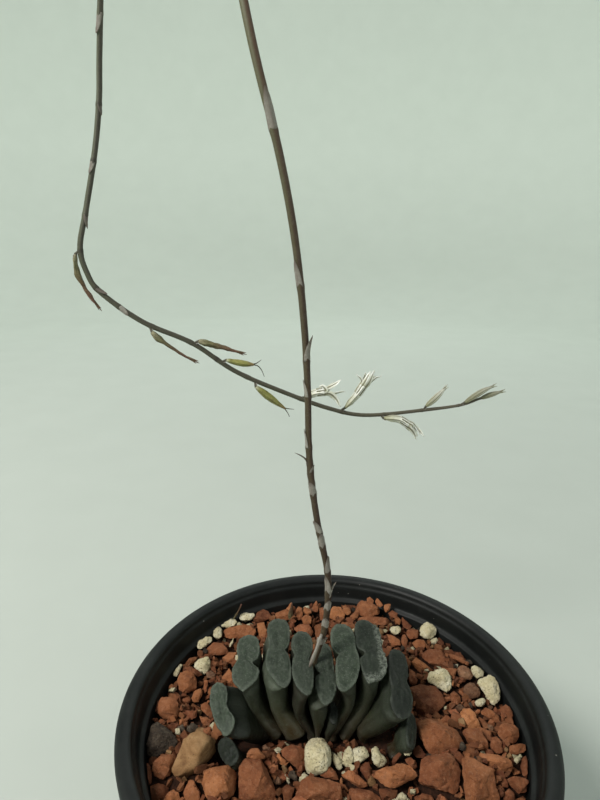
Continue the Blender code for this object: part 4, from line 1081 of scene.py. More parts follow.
def ball(sub):
    if sub not in BALL:
        bm = bmesh.new()
        bmesh.ops.create_icosphere(bm, subdivisions=sub, radius=1.0)
        v = np.array([tuple(x.co) for x in bm.verts])
        f = np.array([[x.index for x in q.verts] for q in bm.faces])
        bm.free()
        BALL[sub] = (v / np.linalg.norm(v, axis=1)[:, None], f)
    return BALL[sub]


def rot_matrix(yaw, pitch, roll):
    return np.array(Matrix.Rotation(yaw, 3, "Z") @ Matrix.Rotation(pitch, 3, "X") @ Matrix.Rotation(roll, 3, "Y"))


def hull_of(P):
    """Outer form of some points as a bmesh in mm."""
    bm = bmesh.new()
    for p in P:
        bm.verts.new(tuple(p))
    res = bmesh.ops.convex_hull(bm, input=bm.verts[:], use_existing_faces=False)
    spare = {e for e in res["geom_interior"] + res["geom_unused"] if isinstance(e, bmesh.types.BMVert)}
    bmesh.ops.delete(bm, geom=list(spare), context="VERTS")
    bmesh.ops.recalc_face_normals(bm, faces=bm.faces[:])
    return bm


def planes_of(bm):
    N = np.array([tuple(f.normal) for f in bm.faces if f.calc_area() > 1e-6])
    h = np.array([f.normal.dot(f.verts[0].co) for f in bm.faces if f.calc_area() > 1e-6])
    return N, h


def slice_off(bm, point, normal):
    """Cuts a corner or an edge off a closed form and closes it again."""
    g = bmesh.ops.bisect_plane(bm, geom=bm.verts[:] + bm.edges[:] + bm.faces[:], dist=1e-6,
                               plane_co=point, plane_no=normal, clear_outer=True)
    edges = [e for e in g["geom_cut"] if isinstance(e, bmesh.types.BMEdge)]
    if edges:
        bmesh.ops.edgeloop_fill(bm, edges=edges)


def broken_edges(bm, rnd, count, bite, towards):
    """Knocks small pieces off the corners that are seen, as on crushed brick."""
    co = np.array([tuple(v.co) for v in bm.verts])
    mid = co.mean(0)
    for _ in range(count):
        co = np.array([tuple(v.co) for v in bm.verts])
        if len(co) < 5:
            return
        near = co @ towards
        front = co[near > np.median(near)]
        p = front[rnd.randrange(len(front))]
        n = (p - mid) / max(1e-6, np.linalg.norm(p - mid)) + np.array([rnd.gauss(0, 0.45) for _ in range(3)])
        n /= np.linalg.norm(n)
        reach = float((co @ n).max())
        low = float((co @ n).min())
        at = reach - (reach - low) * bite * rnd.uniform(0.5, 1.0)
        slice_off(bm, Vector(tuple(n * at)), Vector(tuple(n)))


def planes_top(N, h, X, Y):
    """Lower and upper surface over a grid, and where the grid is inside."""
    up, lo, ok = np.full(X.shape, 99.0), np.full(X.shape, -99.0), np.ones(X.shape, bool)
    for n, d in zip(N, h):
        v = d - n[0] * X - n[1] * Y
        if n[2] > 1e-4:
            up = np.minimum(up, v / n[2])
        elif n[2] < -1e-4:
            lo = np.maximum(lo, v / n[2])
        else:
            ok &= v > 0
    return lo, up, ok & (up > lo)


def random_stone(rnd, size, kind):
    """Planes of one loose grain of about the given size in mm, about its own centre."""
    if kind == "brick":
        a, b, c = size * rnd.uniform(0.42, 0.60), size * rnd.uniform(0.32, 0.45), size * rnd.uniform(0.20, 0.36)
        cuts, tilt, jit = rnd.randint(3, 6), 0.60, 0.36
    elif kind == "flake":
        a, b, c = size * rnd.uniform(0.52, 0.72), size * rnd.uniform(0.24, 0.38), size * rnd.uniform(0.09, 0.16)
        cuts, tilt, jit = rnd.randint(3, 5), 0.85, 0.30
    else:
        a, b, c = size * rnd.uniform(0.44, 0.56), size * rnd.uniform(0.36, 0.46), size * rnd.uniform(0.30, 0.40)
        cuts, tilt, jit = rnd.randint(6, 9), 0.5, 0.30
    N, h = [], []
    for ax, d in ((0, a), (1, b), (2, c)):
        for sg in (-1, 1):
            n = np.array([rnd.uniform(-jit, jit) for _ in range(3)])
            n[ax] += sg
            n /= np.linalg.norm(n)
            N.append(n)
            h.append(d * rnd.uniform(0.85, 1.0))
    half = np.array([a, b, c])
    for _ in range(cuts):
        n = np.array([rnd.gauss(0, 1) for _ in range(3)])
        n /= np.linalg.norm(n)
        N.append(n)
        h.append(np.abs(n * half).sum() * rnd.uniform(0.52, 0.76))
    R = rot_matrix(rnd.uniform(0, math.tau), rnd.gauss(0, tilt), rnd.gauss(0, tilt * 0.7))
    return np.array(N) @ R.T, np.array(h)


def corners(N, h):
    """Corner points of the form that the planes enclose."""
    k = len(h)
    tri = np.array([(i, j, m) for i in range(k) for j in range(i + 1, k) for m in range(j + 1, k)])
    A = N[tri]
    good = np.abs(np.linalg.det(A)) > 1e-3
    P = np.linalg.solve(A[good], h[tri[good]][:, :, None])[:, :, 0]
    P = P[((P @ N.T) <= h[None, :] + 1e-5).all(1)]
    return np.unique(np.round(P, 4), axis=0)


def flat_faces(bm):
    """Points and triangles of a small form."""
    bmesh.ops.triangulate(bm, faces=bm.faces[:])
    bm.verts.index_update()
    V = np.array([tuple(v.co) for v in bm.verts])
    F = np.array([[v.index for v in f.verts] for f in bm.faces])
    return V, F


def rough_hewn(bm, seed, step, fine=True):
    """Points and triangles of a broken stone: broad flat sides with crisp ridges, each side split
    finely and roughened, the ridges a little chipped."""
    bmesh.ops.dissolve_limit(bm, angle_limit=math.radians(13), verts=bm.verts[:], edges=bm.edges[:])
    bmesh.ops.triangulate(bm, faces=bm.faces[:])
    for e in bm.edges:
        e.smooth = e.calc_face_angle(0.0) < math.radians(20)
    for _ in range(5):
        long_ = [e for e in bm.edges if e.calc_length() > step]
        if not long_:
            break
        bmesh.ops.subdivide_edges(bm, edges=long_, cuts=1, use_grid_fill=True)
        bmesh.ops.triangulate(bm, faces=[f for f in bm.faces if len(f.verts) > 3])
    bm.verts.index_update()
    bm.normal_update()
    ridge = np.zeros(len(bm.verts), bool)
    for e in bm.edges:
        if not e.smooth:
            ridge[e.verts[0].index] = ridge[e.verts[1].index] = True
    V = np.array([tuple(v.co) for v in bm.verts])
    nr = np.array([tuple(v.normal) for v in bm.verts])
    F = np.array([[v.index for v in f.verts] for f in bm.faces])
    mv = np.zeros(len(V))
    for i in range(len(V)):
        x, y, z = V[i]
        d = 0.06 * n3(x * 0.5 + seed, y * 0.5, z * 0.5) + 0.09 * n3(x * 1.3, y * 1.3 + seed, z * 1.3)
        if fine:
            d += 0.05 * n3(x * 2.9, y * 2.9, z * 2.9 + seed)
            d -= 0.20 * smoothstep((n3(x * 0.50 + seed * 2, y * 0.50, z * 0.8) - 0.14) / 0.05)
        if ridge[i]:
            d -= 0.05 + 0.34 * max(0.0, n3(x * 1.1, y * 1.1 + seed * 3, z * 1.1))
        mv[i] = d
    out = V + nr * mv[:, None]
    r = np.hypot(out[:, 0], out[:, 1])
    lim = np.where(out[:, 2] > RP - 5.4, 57.0, 55.6)
    k = np.where(r > lim, lim / np.maximum(r, 1e-6), 1.0)
    out[:, 0] *= k
    out[:, 1] *= k
    return out, F


def remesh_all(forms, voxel, passes):
    """Gives many closed forms small even faces. They are laid out apart in one row for this."""
    gap = 60.0
    big = bmesh.new()
    for k, (V, F) in enumerate(forms):
        vs = [big.verts.new((p[0] - V[:, 0].mean() + gap * k, p[1], p[2])) for p in V]
        for f in F:
            big.faces.new([vs[i] for i in f])
    me = bpy.data.meshes.new("stone_row")
    big.to_mesh(me)
    big.free()
    ob = bpy.data.objects.new("stone_row", me)
    bpy.context.scene.collection.objects.link(ob)
    mod = ob.modifiers.new("even", "REMESH")
    mod.mode, mod.voxel_size, mod.adaptivity = "VOXEL", voxel, 0.0
    bpy.context.view_layer.update()
    done = bpy.data.meshes.new_from_object(ob.evaluated_get(bpy.context.evaluated_depsgraph_get()))
    bpy.data.objects.remove(ob, do_unlink=True)
    n = len(done.vertices)
    co = np.empty(n * 3)
    done.vertices.foreach_get("co", co)
    co = co.reshape(-1, 3)
    edges = np.empty(len(done.edges) * 2, np.int64)
    done.edges.foreach_get("vertices", edges)
    edges = edges.reshape(-1, 2)
    loops = np.empty(len(done.loops), np.int64)
    done.loops.foreach_get("vertex_index", loops)
    quads = loops.reshape(-1, 4)
    bpy.data.meshes.remove(done)
    bpy.data.meshes.remove(me)
    which = np.clip(np.round(co[:, 0] / gap).astype(int), 0, len(forms) - 1)
    deg = np.bincount(edges.ravel(), minlength=n).astype(float)
    reps = np.array(passes)[which]
    for step in range(int(max(passes))):
        s = np.zeros_like(co)
        for c in range(3):
            s[:, c] = (np.bincount(edges[:, 0], co[edges[:, 1], c], n) + np.bincount(edges[:, 1], co[edges[:, 0], c], n))
        avg = s / deg[:, None]
        on = (reps > step)[:, None]
        co = np.where(on, 0.5 * co + 0.5 * avg, co)
    out = []
    order = np.argsort(which, kind="stable")
    place = np.empty(n, np.int64)
    place[order] = np.arange(n)
    start = np.searchsorted(which[order], np.arange(len(forms)))
    stop = np.searchsorted(which[order], np.arange(len(forms)), side="right")
    qw = which[quads[:, 0]]
    for k, (V, F) in enumerate(forms):
        part = order[start[k]:stop[k]]
        v = co[part] + np.array([V[:, 0].mean() - gap * k, 0.0, 0.0])
        out.append((v, place[quads[qw == k]] - start[k]))
    return out


def quad_normals(V, F):
    n = np.cross(V[F[:, 2]] - V[F[:, 0]], V[F[:, 3]] - V[F[:, 1]])
    out = np.zeros_like(V)
    for c in range(4):
        np.add.at(out, F[:, c], n)
    return out / np.maximum(1e-9, np.linalg.norm(out, axis=1))[:, None]


def weathered(V, F, kind, seed):
    """Pitted or worn surface, moved along the surface's own directions."""
    nr = quad_normals(V, F)
    mv = np.zeros(len(V))
    for i in range(len(V)):
        x, y, z = V[i]
        a = n3(x * 0.30 + seed, y * 0.30, z * 0.30)
        b = n3(x * 0.85, y * 0.85 + seed, z * 0.85)
        if kind in ("pumice", "lava"):
            q = noise.voronoi(Vector((x, y, z)) * 0.95 + Vector((seed, 0, 0)))[0][0]
            d = 0.42 * a + 0.30 * b + 0.18 * n3(x * 2.2, y * 2.2, z * 2.2 + seed) - max(0.0, 0.42 - q) * 1.3
        elif kind == "egg":
            q = noise.voronoi(Vector((x, y * 0.7, z)) * 1.1 + Vector((seed, 0, 0)))[0][0]
            d = 0.42 * a + 0.28 * b + 0.16 * n3(x * 2.4, y * 2.4, z * 2.4 + seed) - max(0.0, 0.38 - q) * 1.3
        else:
            d = 0.26 * a + 0.14 * b + 0.10 * n3(x * 2.0, y * 2.0, z * 2.0)
        mv[i] = d
    out = V + nr * mv[:, None]
    r = np.hypot(out[:, 0], out[:, 1])
    lim = np.where(out[:, 2] > RP - 5.4, 57.0, 55.6)
    k = np.where(r > lim, lim / np.maximum(r, 1e-6), 1.0)
    out[:, 0] *= k
    out[:, 1] *= k
    return out


class Heap:
    """Collects many stones into a few meshes."""

    def __init__(self, name, mat, slot, sharp=None):
        self.name, self.mat, self.slot, self.sharp = name, mat, slot, sharp
        self.V, self.F, self.T, self.n, self.tris = [], [], [], 0, 0
        self.made = []

    def add(self, V, F, tone):
        self.V.append(V)
        self.F += [tuple(int(i) + self.n for i in f) for f in F]
        self.T.append(np.tile(np.array([tone]), (len(V), 1)))
        self.n += len(V)
        self.tris += sum(len(f) - 2 for f in F)
        if self.tris > 150000:
            self.flush()

    def flush(self, nodes=()):
        if not self.V:
            return None
        name = self.name if not self.made else "%s_%d" % (self.name, len(self.made) + 1)
        me = mesh_mm(name, np.vstack(self.V), self.F, True, self.sharp)
        put(me, "tone", np.vstack(self.T))
        ob = new_piece(name, me, self.mat, self.slot, nodes)
        self.made.append(ob)
        self.V, self.F, self.T, self.n, self.tris = [], [], [], 0, 0
        return ob


# stones that show one by one: name, CAD node, kind, shade, hue, thickness, and the corners and
# outline as px, py of the picture with the height over the rim plane in mm
ROCKS = [
    ("tan_pebble", "tan_pebble", "pebble", .75, 0, 2.0, [(200, 730, -1.4), (191, 732, -1.8), (184, 739, -2.6),
        (180, 749, -3.4), (175, 759, -4.2), (171, 769, -5.2), (174, 777, -6.4), (207, 734, -1.4),
        (208, 742, -1.6), (201, 750, -1.8), (196, 757, -2.6), (188, 767, -4.0), (179, 776, -5.8),
        (216, 740, -4.6), (216, 752, -6.4), (209, 762, -8.0), (196, 774, -9), (184, 781, -9.5)]),
    ("grey_lava", "grey_lava_stone", "lava", .5, 0, 2.5, [(152, 724, -4.4), (158, 721, -4.2), (161, 728, -4.2),
        (168, 733, -4.4), (176, 735, -4.8), (178, 741, -5.4), (176, 748, -6.6), (168, 750, -7.4),
        (158, 755, -8.2), (150, 760, -9), (146, 756, -8.6), (144, 747, -7), (145, 739, -5.8)]),
    ("left_block", "brick_chip_01", "brick", .55, .5, 3, [(161, 697, -3.8), (170, 696, -3.6), (176, 699, -3.8),
        (179, 705, -4.4), (181, 711, -5.4), (178, 719, -7.2), (172, 721, -7.8), (162, 720, -7.8),
        (157, 712, -6.4), (158, 703, -4.8)]),
    ("left_wedge", "brick_chip_02", "brick", .6, .6, 3, [(180, 672, -4.0), (187, 669, -3.8), (193, 672, -4.2),
        (197, 679, -5.2), (197, 688, -6.6), (195, 693, -7.6), (183, 694, -7.8), (178, 690, -7.2),
        (177, 680, -5.2)]),
    ("left_arc", "", "brick", .4, .3, 1.5, [(183, 668, -4.0), (190, 666, -3.8), (198, 670, -4.4),
        (204, 676, -5.6), (200, 678, -6.2), (191, 671, -4.9)]),
    ("left_front", "brick_chip_03", "brick", .5, .5, 2.5, [(152, 763, -6.4), (158, 757, -4.9), (166, 753, -4.2),
        (177, 750, -4), (178, 757, -5), (174, 766, -6.6), (170, 776, -8.4), (163, 780, -9), (155, 778, -9),
        (152, 771, -8.2)]),
    ("front_cube", "brick_chip_04", "brick", .8, .8, 3, [(207, 766, -2.8), (215, 764, -2.6), (226, 764, -2.6),
        (228, 774, -2.9), (229, 783, -3.2), (228, 791, -3.6), (217, 793, -4.2), (213, 799, -5.4),
        (204, 797, -5.4), (200, 790, -4.4), (199, 782, -3.8), (201, 773, -3.2), (234, 762, -4.8),
        (237, 778, -6), (237, 792, -7.4), (228, 801, -8.5), (214, 806, -9)]),
    ("front_slab", "brick_chip_05", "brick", .55, .35, 3, [(243, 757, -1.6), (237, 761, -2.2), (235, 766, -2.8),
        (237, 777, -4.2), (239, 787, -5.6), (238, 801, -8.0), (261, 759, -1.8), (268, 768, -2.6),
        (273, 778, -4.0), (276, 786, -5.4), (276, 795, -6.8), (273, 806, -8.6), (250, 806, -7.6),
        (250, 775, -2.9)]),
    ("slab_cap", "", "brick", .7, .6, 1.6, [(246, 751, -0.6), (252, 748, -0.4), (258, 748, -0.4),
        (262, 752, -0.8), (266, 756, -1.6), (264, 759, -2.2), (256, 760, -2), (246, 758, -1.6),
        (243, 757, -2.2)]),
    ("mid_block", "brick_chip_07", "brick", .5, .25, 3, [(280, 751, -3.2), (284, 746, -2.6), (292, 744, -2.4),
        (300, 746, -2.8), (306, 750, -3.4), (305, 762, -4.8), (306, 771, -6.4), (301, 773, -6.8),
        (294, 767, -5.6), (287, 761, -4.6), (282, 756, -3.8)]),
    ("tan_flake", "", "brick", 1.0, 1.0, 1.0, [(275, 752, -3.4), (278, 751, -3.3), (281, 758, -4.2),
        (287, 761, -4.8), (287, 766, -5.4), (280, 765, -5.2), (276, 759, -4.4)]),
    ("grey_flake", "", "lava", 1.0, .6, .8, [(261, 746, -3), (264, 744, -2.8), (269, 746, -3), (272, 750, -3.6),
        (268, 751, -3.8), (262, 749, -3.4)]),
    ("grey_wedge", "", "lava", 1.0, 0, 1.2, [(289, 771, -5.6), (293, 770, -5.4), (298, 776, -6), (298, 783, -7),
        (293, 780, -7), (288, 776, -6.4)]),
    ("pale_splinter", "", "pumice", .3, 0, .5, [(283, 772, -6), (285, 773, -5.8), (291, 784, -7.2),
        (289, 786, -7.6)]),
    ("front_wide", "brick_chip_08", "brick", .55, .35, 3, [(299, 781, -3.8), (302, 776, -3.2), (308, 775, -3.0),
        (320, 777, -3.0), (332, 780, -3.4), (341, 784, -4), (346, 791, -5), (346, 803, -7), (320, 808, -7.8),
        (293, 806, -7.6), (291, 799, -6.6), (296, 790, -5.2), (312, 789, -3.6)]),
    ("front_brown", "", "brick", .3, .4, 2, [(281, 788, -7), (287, 784, -6.4), (295, 787, -6.2),
        (292, 800, -8.4), (283, 802, -8.8)]),
    ("pink_chip", "", "brick", .7, .3, 2, [(321, 768, -5), (328, 765, -4.4), (334, 768, -4.6), (338, 775, -5.4),
        (339, 780, -6.2), (334, 781, -6.6), (324, 778, -6.2), (318, 775, -5.8)]),
    ("white_chip", "", "pumice", .35, 0, 1.5, [(332, 753, -4.4), (335, 752, -4.2), (341, 759, -4.8),
        (343, 768, -6), (341, 771, -6.6), (337, 769, -6.4), (333, 762, -5.6)]),
    ("pumice_pair_a", "pumice_front_pair", "pumice", .75, 0, 2.5, [(346, 747, -3.2), (349, 745, -3),
        (353, 749, -3.2), (354, 757, -4), (352, 765, -5.6), (346, 768, -6.2), (342, 764, -5.6),
        (343, 754, -4.2)]),
    ("pumice_pair_b", "", "pumice", .8, 0, 2.5, [(353, 748, -3.2), (358, 746, -2.8), (364, 747, -2.9),
        (368, 752, -3.5), (369, 757, -4.2), (364, 761, -5), (357, 764, -5.6), (352, 760, -5)]),
    ("red_shadow", "", "brick", .3, .1, 2, [(358, 766, -6), (364, 762, -5.4), (369, 762, -5.4), (372, 768, -6),
        (372, 780, -7.6), (368, 783, -8), (362, 774, -7)]),
    ("pink_wedge", "brick_chip_09", "brick", .8, .5, 2, [(341, 775, -5.6), (348, 770, -4.8), (353, 770, -4.6),
        (360, 776, -5.2), (368, 784, -6.2), (369, 789, -7), (361, 789, -7.2), (353, 784, -6.8),
        (344, 779, -6.4)]),
    ("front_red", "", "brick", .55, .3, 2, [(347, 790, -7.2), (352, 787, -6.4), (362, 788, -6.2),
        (373, 791, -6.4), (381, 797, -7.2), (384, 806, -8.6), (350, 808, -9)]),
    ("front_orange", "brick_chip_10", "brick", .8, .7, 3, [(371, 777, -3.8), (374, 771, -3.2), (381, 768, -2.9),
        (390, 767, -2.8), (398, 763, -2.4), (405, 763, -2.5), (411, 766, -2.9), (417, 772, -3.6),
        (418, 776, -4.2), (414, 780, -4.8), (408, 783, -5.2), (401, 785, -5.4), (396, 788, -5.8),
        (388, 788, -5.6), (381, 786, -5.2), (375, 781, -4.4)]),
    ("dark_splinter", "", "brick", .3, .1, 1, [(391, 764, -5.6), (393, 757, -4.8), (399, 752, -4),
        (402, 754, -4.2), (398, 761, -5.2), (393, 767, -6.2)]),
    ("pumice_bit", "", "pumice", .4, 0, 1.5, [(403, 751, -4), (408, 749, -3.8), (412, 752, -4.2),
        (411, 757, -4.9), (404, 757, -4.8)]),
    ("pumice_cone", "pumice_front_cone", "pumice", .6, 0, 2, [(374, 745, -2.2), (371, 749, -2.9),
        (371, 757, -4), (373, 764, -5.2), (378, 768, -5.9), (386, 765, -5.6), (387, 760, -5), (383, 755, -4.2),
        (377, 747, -2.6), (377, 757, -3.2)]),
    ("red_flat", "", "brick", .45, .3, 2, [(404, 759, -4.6), (411, 757, -4.4), (416, 761, -4.8),
        (418, 768, -5.6), (414, 770, -6), (407, 764, -5.2)]),
    ("dark_red", "", "brick", .15, .05, 3, [(413, 748, -5.2), (419, 745, -4.8), (426, 754, -5.8),
        (425, 758, -6.4), (416, 758, -6.4), (413, 754, -6)]),
    ("right_arrow", "brick_chip_12", "brick", .6, .5, 4, [(416, 721, -3.0), (429, 718, -2.2), (437, 721, -2.2),
        (448, 726, -2.6), (458, 730, -3.0), (463, 738, -3.8), (466, 745, -4.6), (465, 748, -5.2),
        (456, 748, -5), (448, 749, -4.8), (440, 752, -5.4), (433, 757, -6.2), (430, 755, -6.2),
        (427, 749, -5.6), (421, 741, -4.8), (415, 732, -4.2), (414, 726, -3.6), (431, 727, -2.1),
        (441, 736, -2.6), (449, 745, -3.9)]),
    ("right_block", "brick_chip_13", "brick", .5, .3, 3, [(421, 759, -3.6), (428, 755, -3.1), (440, 753, -2.9),
        (448, 752, -3), (454, 756, -3.4), (459, 763, -4.2), (461, 771, -5), (461, 781, -6.2), (459, 790, -7.2),
        (454, 795, -7.8), (440, 795, -7.4), (428, 792, -7), (419, 790, -7), (418, 780, -5.8), (419, 768, -4.6),
        (432, 768, -3.4), (450, 765, -3.3), (452, 785, -5.4)]),
    ("right_tall", "brick_chip_14", "brick", .6, .55, 3, [(460, 755, -2.6), (464, 753, -2.3), (475, 759, -2.5),
        (485, 764, -2.8), (493, 769, -3.4), (496, 780, -4.8), (499, 791, -6.2), (501, 804, -7.8),
        (474, 808, -7), (466, 806, -7.6), (464, 790, -6), (462, 775, -4.4), (461, 763, -3.3), (465, 776, -3.7),
        (470, 787, -4.4)]),
    ("right_long", "brick_chip_15", "brick", .75, .75, 2, [(476, 754, -4.4), (480, 752, -4.2), (488, 754, -4.1),
        (500, 755, -4.2), (508, 758, -4.6), (514, 763, -5.2), (517, 769, -6.2), (512, 773, -6.8),
        (502, 775, -7), (495, 771, -6.4), (488, 765, -5.6), (480, 759, -4.9), (500, 763, -4.5)]),
    ("right_mid", "brick_chip_16", "brick", .55, .45, 3, [(461, 731, -4.2), (466, 728, -3.8), (480, 728, -3.8),
        (483, 735, -4.4), (488, 742, -5.2), (489, 750, -6.4), (486, 753, -6.8), (479, 751, -6.4),
        (471, 748, -6), (467, 742, -5.2), (464, 736, -4.6)]),
    ("right_post", "", "brick", .5, .35, 2.5, [(492, 737, -4.4), (497, 736, -4.2), (502, 742, -4.9),
        (503, 750, -6), (502, 755, -6.8), (495, 755, -6.8), (490, 750, -6.2), (490, 742, -5)]),
    ("right_edge", "brick_chip_17", "brick", .6, .5, 2.5, [(498, 728, -4.2), (501, 724, -3.8), (507, 722, -3.6),
        (514, 724, -3.8), (519, 729, -4.4), (519, 738, -5.6), (516, 743, -6.4), (511, 745, -6.8),
        (506, 746, -7), (501, 740, -6), (497, 734, -5), (508, 730, -3.9)]),
    ("wall_flake", "", "brick", .55, .6, 2, [(507, 753, -6), (509, 746, -5), (514, 744, -4.7), (522, 743, -4.6),
        (527, 745, -5), (528, 750, -5.8), (524, 753, -6.2), (516, 755, -6.6), (508, 755, -6.6)]),
    ("low_right", "", "brick", .5, .35, 2, [(506, 779, -5.8), (514, 776, -5.2), (524, 777, -5.2),
        (531, 781, -5.8), (533, 788, -6.8), (527, 792, -7.4), (519, 795, -7.8), (513, 790, -7.2),
        (507, 784, -6.4)]),
    ("wall_red", "", "brick", .3, .3, 2, [(521, 758, -5.8), (526, 755, -5.4), (530, 762, -6.2),
        (532, 775, -7.8), (527, 779, -8.2), (522, 775, -7.8), (520, 766, -6.8)]),
    ("low_chip", "", "brick", .5, .3, 2, [(504, 793, -7.2), (509, 788, -6.6), (515, 793, -7.2),
        (517, 803, -8.8), (502, 803, -8.8)]),
    ("white_bit", "", "pumice", .3, 0, 1, [(517, 755, -5.4), (521, 753, -5.2), (523, 757, -5.6),
        (520, 763, -6.4), (516, 766, -6.8), (513, 761, -6)]),
    ("low_dark", "", "brick", .25, .3, 2, [(377, 789, -7.6), (385, 787, -7.2), (398, 790, -7.4), (400, 800, -9),
        (380, 802, -9.2)]),
    ("low_pumice", "", "pumice", .6, 0, 2, [(395, 801, -7.8), (398, 794, -6.9), (403, 792, -6.7),
        (408, 795, -7), (411, 802, -8)]),
    ("low_mid", "", "brick", .5, .3, 2, [(414, 797, -8), (422, 793, -7.4), (432, 795, -7.6), (436, 804, -9),
        (416, 806, -9.2)]),
    ("left_slab", "", "brick", .15, .1, 1.5, [(144, 763, -7), (150, 763, -6.8), (152, 775, -8.4),
        (151, 789, -10), (145, 788, -10), (143, 775, -8.4)]),
    ("left_low", "", "brick", .35, .2, 2, [(150, 786, -9.2), (158, 783, -8.6), (168, 785, -8.6),
        (170, 793, -9.6), (168, 803, -10.6), (152, 804, -10.8)]),
    ("left_pale", "", "brick", .85, .8, 2, [(163, 800, -8.4), (168, 792, -7.2), (174, 789, -6.8),
        (179, 793, -7.2), (182, 803, -8.6), (166, 806, -9)]),
    ("left_gem", "", "brick", .7, .6, 2.5, [(183, 792, -7.2), (188, 780, -5.6), (193, 779, -5.4),
        (197, 786, -6.2), (201, 793, -7), (201, 803, -8.4), (183, 806, -9)]),
    ("pumice_r2", "pumice_right_2", "pumice", .85, 0, 2.5, [(426, 679, -4.6), (429, 672, -3.6),
        (437, 669, -3.2), (442, 667, -3.0), (447, 669, -3.2), (450, 676, -3.9), (452, 684, -5), (452, 690, -6),
        (447, 693, -6.4), (440, 689, -6), (433, 685, -5.6), (427, 682, -5.2), (440, 678, -3.0)]),
    ("pumice_r3", "pumice_right_3", "pumice", .9, 0, 2.5, [(479, 680, -4.4), (484, 677, -3.9), (489, 674, -3.4),
        (495, 677, -3.6), (499, 683, -4.2), (501, 692, -5.4), (500, 701, -6.8), (495, 706, -7.6),
        (489, 703, -7.2), (487, 697, -6.4), (481, 689, -5.6), (477, 683, -5), (493, 688, -3.7)]),
    ("pumice_r4", "", "pumice", .55, 0, 2, [(471, 667, -4.2), (474, 665, -3.9), (480, 668, -4.1),
        (485, 672, -4.7), (483, 677, -5.4), (477, 679, -5.8), (474, 676, -5.6), (471, 671, -4.9)]),
    ("pumice_r5", "", "pumice", .7, 0, 2, [(475, 702, -5.2), (477, 699, -4.8), (483, 698, -4.7),
        (486, 701, -5.2), (485, 705, -5.8), (480, 708, -6.3), (476, 706, -6)]),
    ("pumice_r1", "pumice_right_1", "pumice", .85, 0, 3, [(420, 630, -5), (421, 625, -4.2), (427, 622, -3.7),
        (433, 624, -3.9), (437, 629, -4.6), (436, 635, -5.6), (431, 639, -6.3), (424, 638, -6.2),
        (420, 635, -5.8), (428, 629, -4.0)]),
    ("pumice_r1b", "", "pumice", .4, 0, 1.5, [(431, 640, -6), (437, 637, -5.6), (438, 641, -6.2),
        (434, 645, -6.9), (430, 644, -6.8)]),
    ("pumice_r6", "", "pumice", .7, 0, 1.8, [(390, 628, -4.6), (394, 626.5, -4.4), (400, 627, -4.5),
        (401.5, 630, -5), (399, 635, -5.8), (393, 634, -5.7), (390, 631, -5.1)]),
    ("pink_a", "", "lava", .8, 1, 2.5, [(457, 669, -4.6), (461, 666, -4.2), (467, 666, -4.2), (472, 671, -4.9),
        (473, 677, -5.8), (470, 681, -6.4), (463, 681, -6.4), (459, 676, -5.6)]),
    ("pink_b", "", "lava", .4, 1, 2.5, [(464, 686, -5.2), (468, 683, -4.8), (474, 683, -4.9), (480, 689, -5.7),
        (481, 695, -6.6), (474, 699, -7.2), (466, 697, -7), (463, 691, -6)]),
    ("ribbed_tan", "", "brick", .95, 1, 2.5, [(459, 711, -4.4), (463, 708, -4), (470, 708, -4),
        (475, 712, -4.5), (478, 720, -5.4), (482, 728, -6.6), (478, 731, -7), (468, 731, -6.8), (462, 724, -6),
        (459, 717, -5.2)]),
    ("wall_sliver", "", "brick", .55, .4, .9, [(448, 654, -4.2), (451, 653.5, -4.1), (462, 657, -4.2),
        (472, 664, -5), (471, 667, -5.4), (460, 662, -5), (450, 658, -4.8)]),
    ("chip_a", "", "brick", .5, .4, 2, [(450, 694, -5), (454, 690, -4.4), (460, 695, -4.9), (462, 703, -6),
        (456, 706, -6.5), (450, 701, -5.8)]),
    ("chip_b", "", "brick", .65, .6, 2, [(480, 711, -5), (485, 707, -4.5), (492, 710, -4.8), (499, 716, -5.6),
        (500, 722, -6.4), (497, 724, -6.8), (488, 718, -6.1), (481, 714, -5.5)]),
    ("chip_c", "", "brick", .45, .3, 2, [(500, 708, -5.2), (505, 704, -4.7), (510, 707, -5), (513, 713, -5.8),
        (512, 719, -6.6), (503, 718, -6.6), (500, 713, -5.9)]),
    ("red_plate", "", "brick", .3, .15, 2, [(410, 687, -5.4), (420, 684, -5), (436, 686, -5), (443, 694, -5.8),
        (446, 704, -6.8), (438, 712, -7.4), (428, 717, -7.8), (416, 718, -7.8), (412, 706, -7),
        (409, 696, -6.2)]),
    ("tan_chip", "", "brick", .7, .9, 2, [(411, 661, -4.8), (416, 657, -4.2), (424, 662, -4.8),
        (430, 667, -5.4), (428, 672, -6), (421, 674, -6.2), (414, 668, -5.6)]),
    ("chip_d", "", "brick", .4, .2, 2, [(409, 668, -5.8), (415, 672, -6), (418, 680, -6.8), (416, 687, -7.4),
        (409, 686, -7.4)]),
    ("right_plate", "brick_chip_11", "brick", .45, .25, 2, [(421, 653, -4.9), (428, 649, -4.4),
        (440, 649, -4.4), (446, 655, -5), (447, 662, -5.8), (443, 667, -6.4), (434, 667, -6.4), (427, 662, -6),
        (421, 658, -5.5)]),
    ("chip_e", "", "brick", .65, .6, 2, [(411, 643, -5), (417, 639, -4.6), (424, 640, -4.7), (428, 645, -5.3),
        (423, 649, -5.8), (415, 649, -5.8)]),
    ("chip_f", "", "brick", .7, .4, 2, [(386, 634, -5), (392, 635, -4.9), (400, 640, -5.2), (401, 646, -5.9),
        (392, 648, -6.2), (387, 643, -5.8)]),
    ("chip_g", "", "brick", .5, .4, 2, [(402, 634.5, -5), (405, 634, -5), (408, 640, -5.5), (407, 648, -6.3),
        (403, 650, -6.6), (401, 642, -5.9)]),
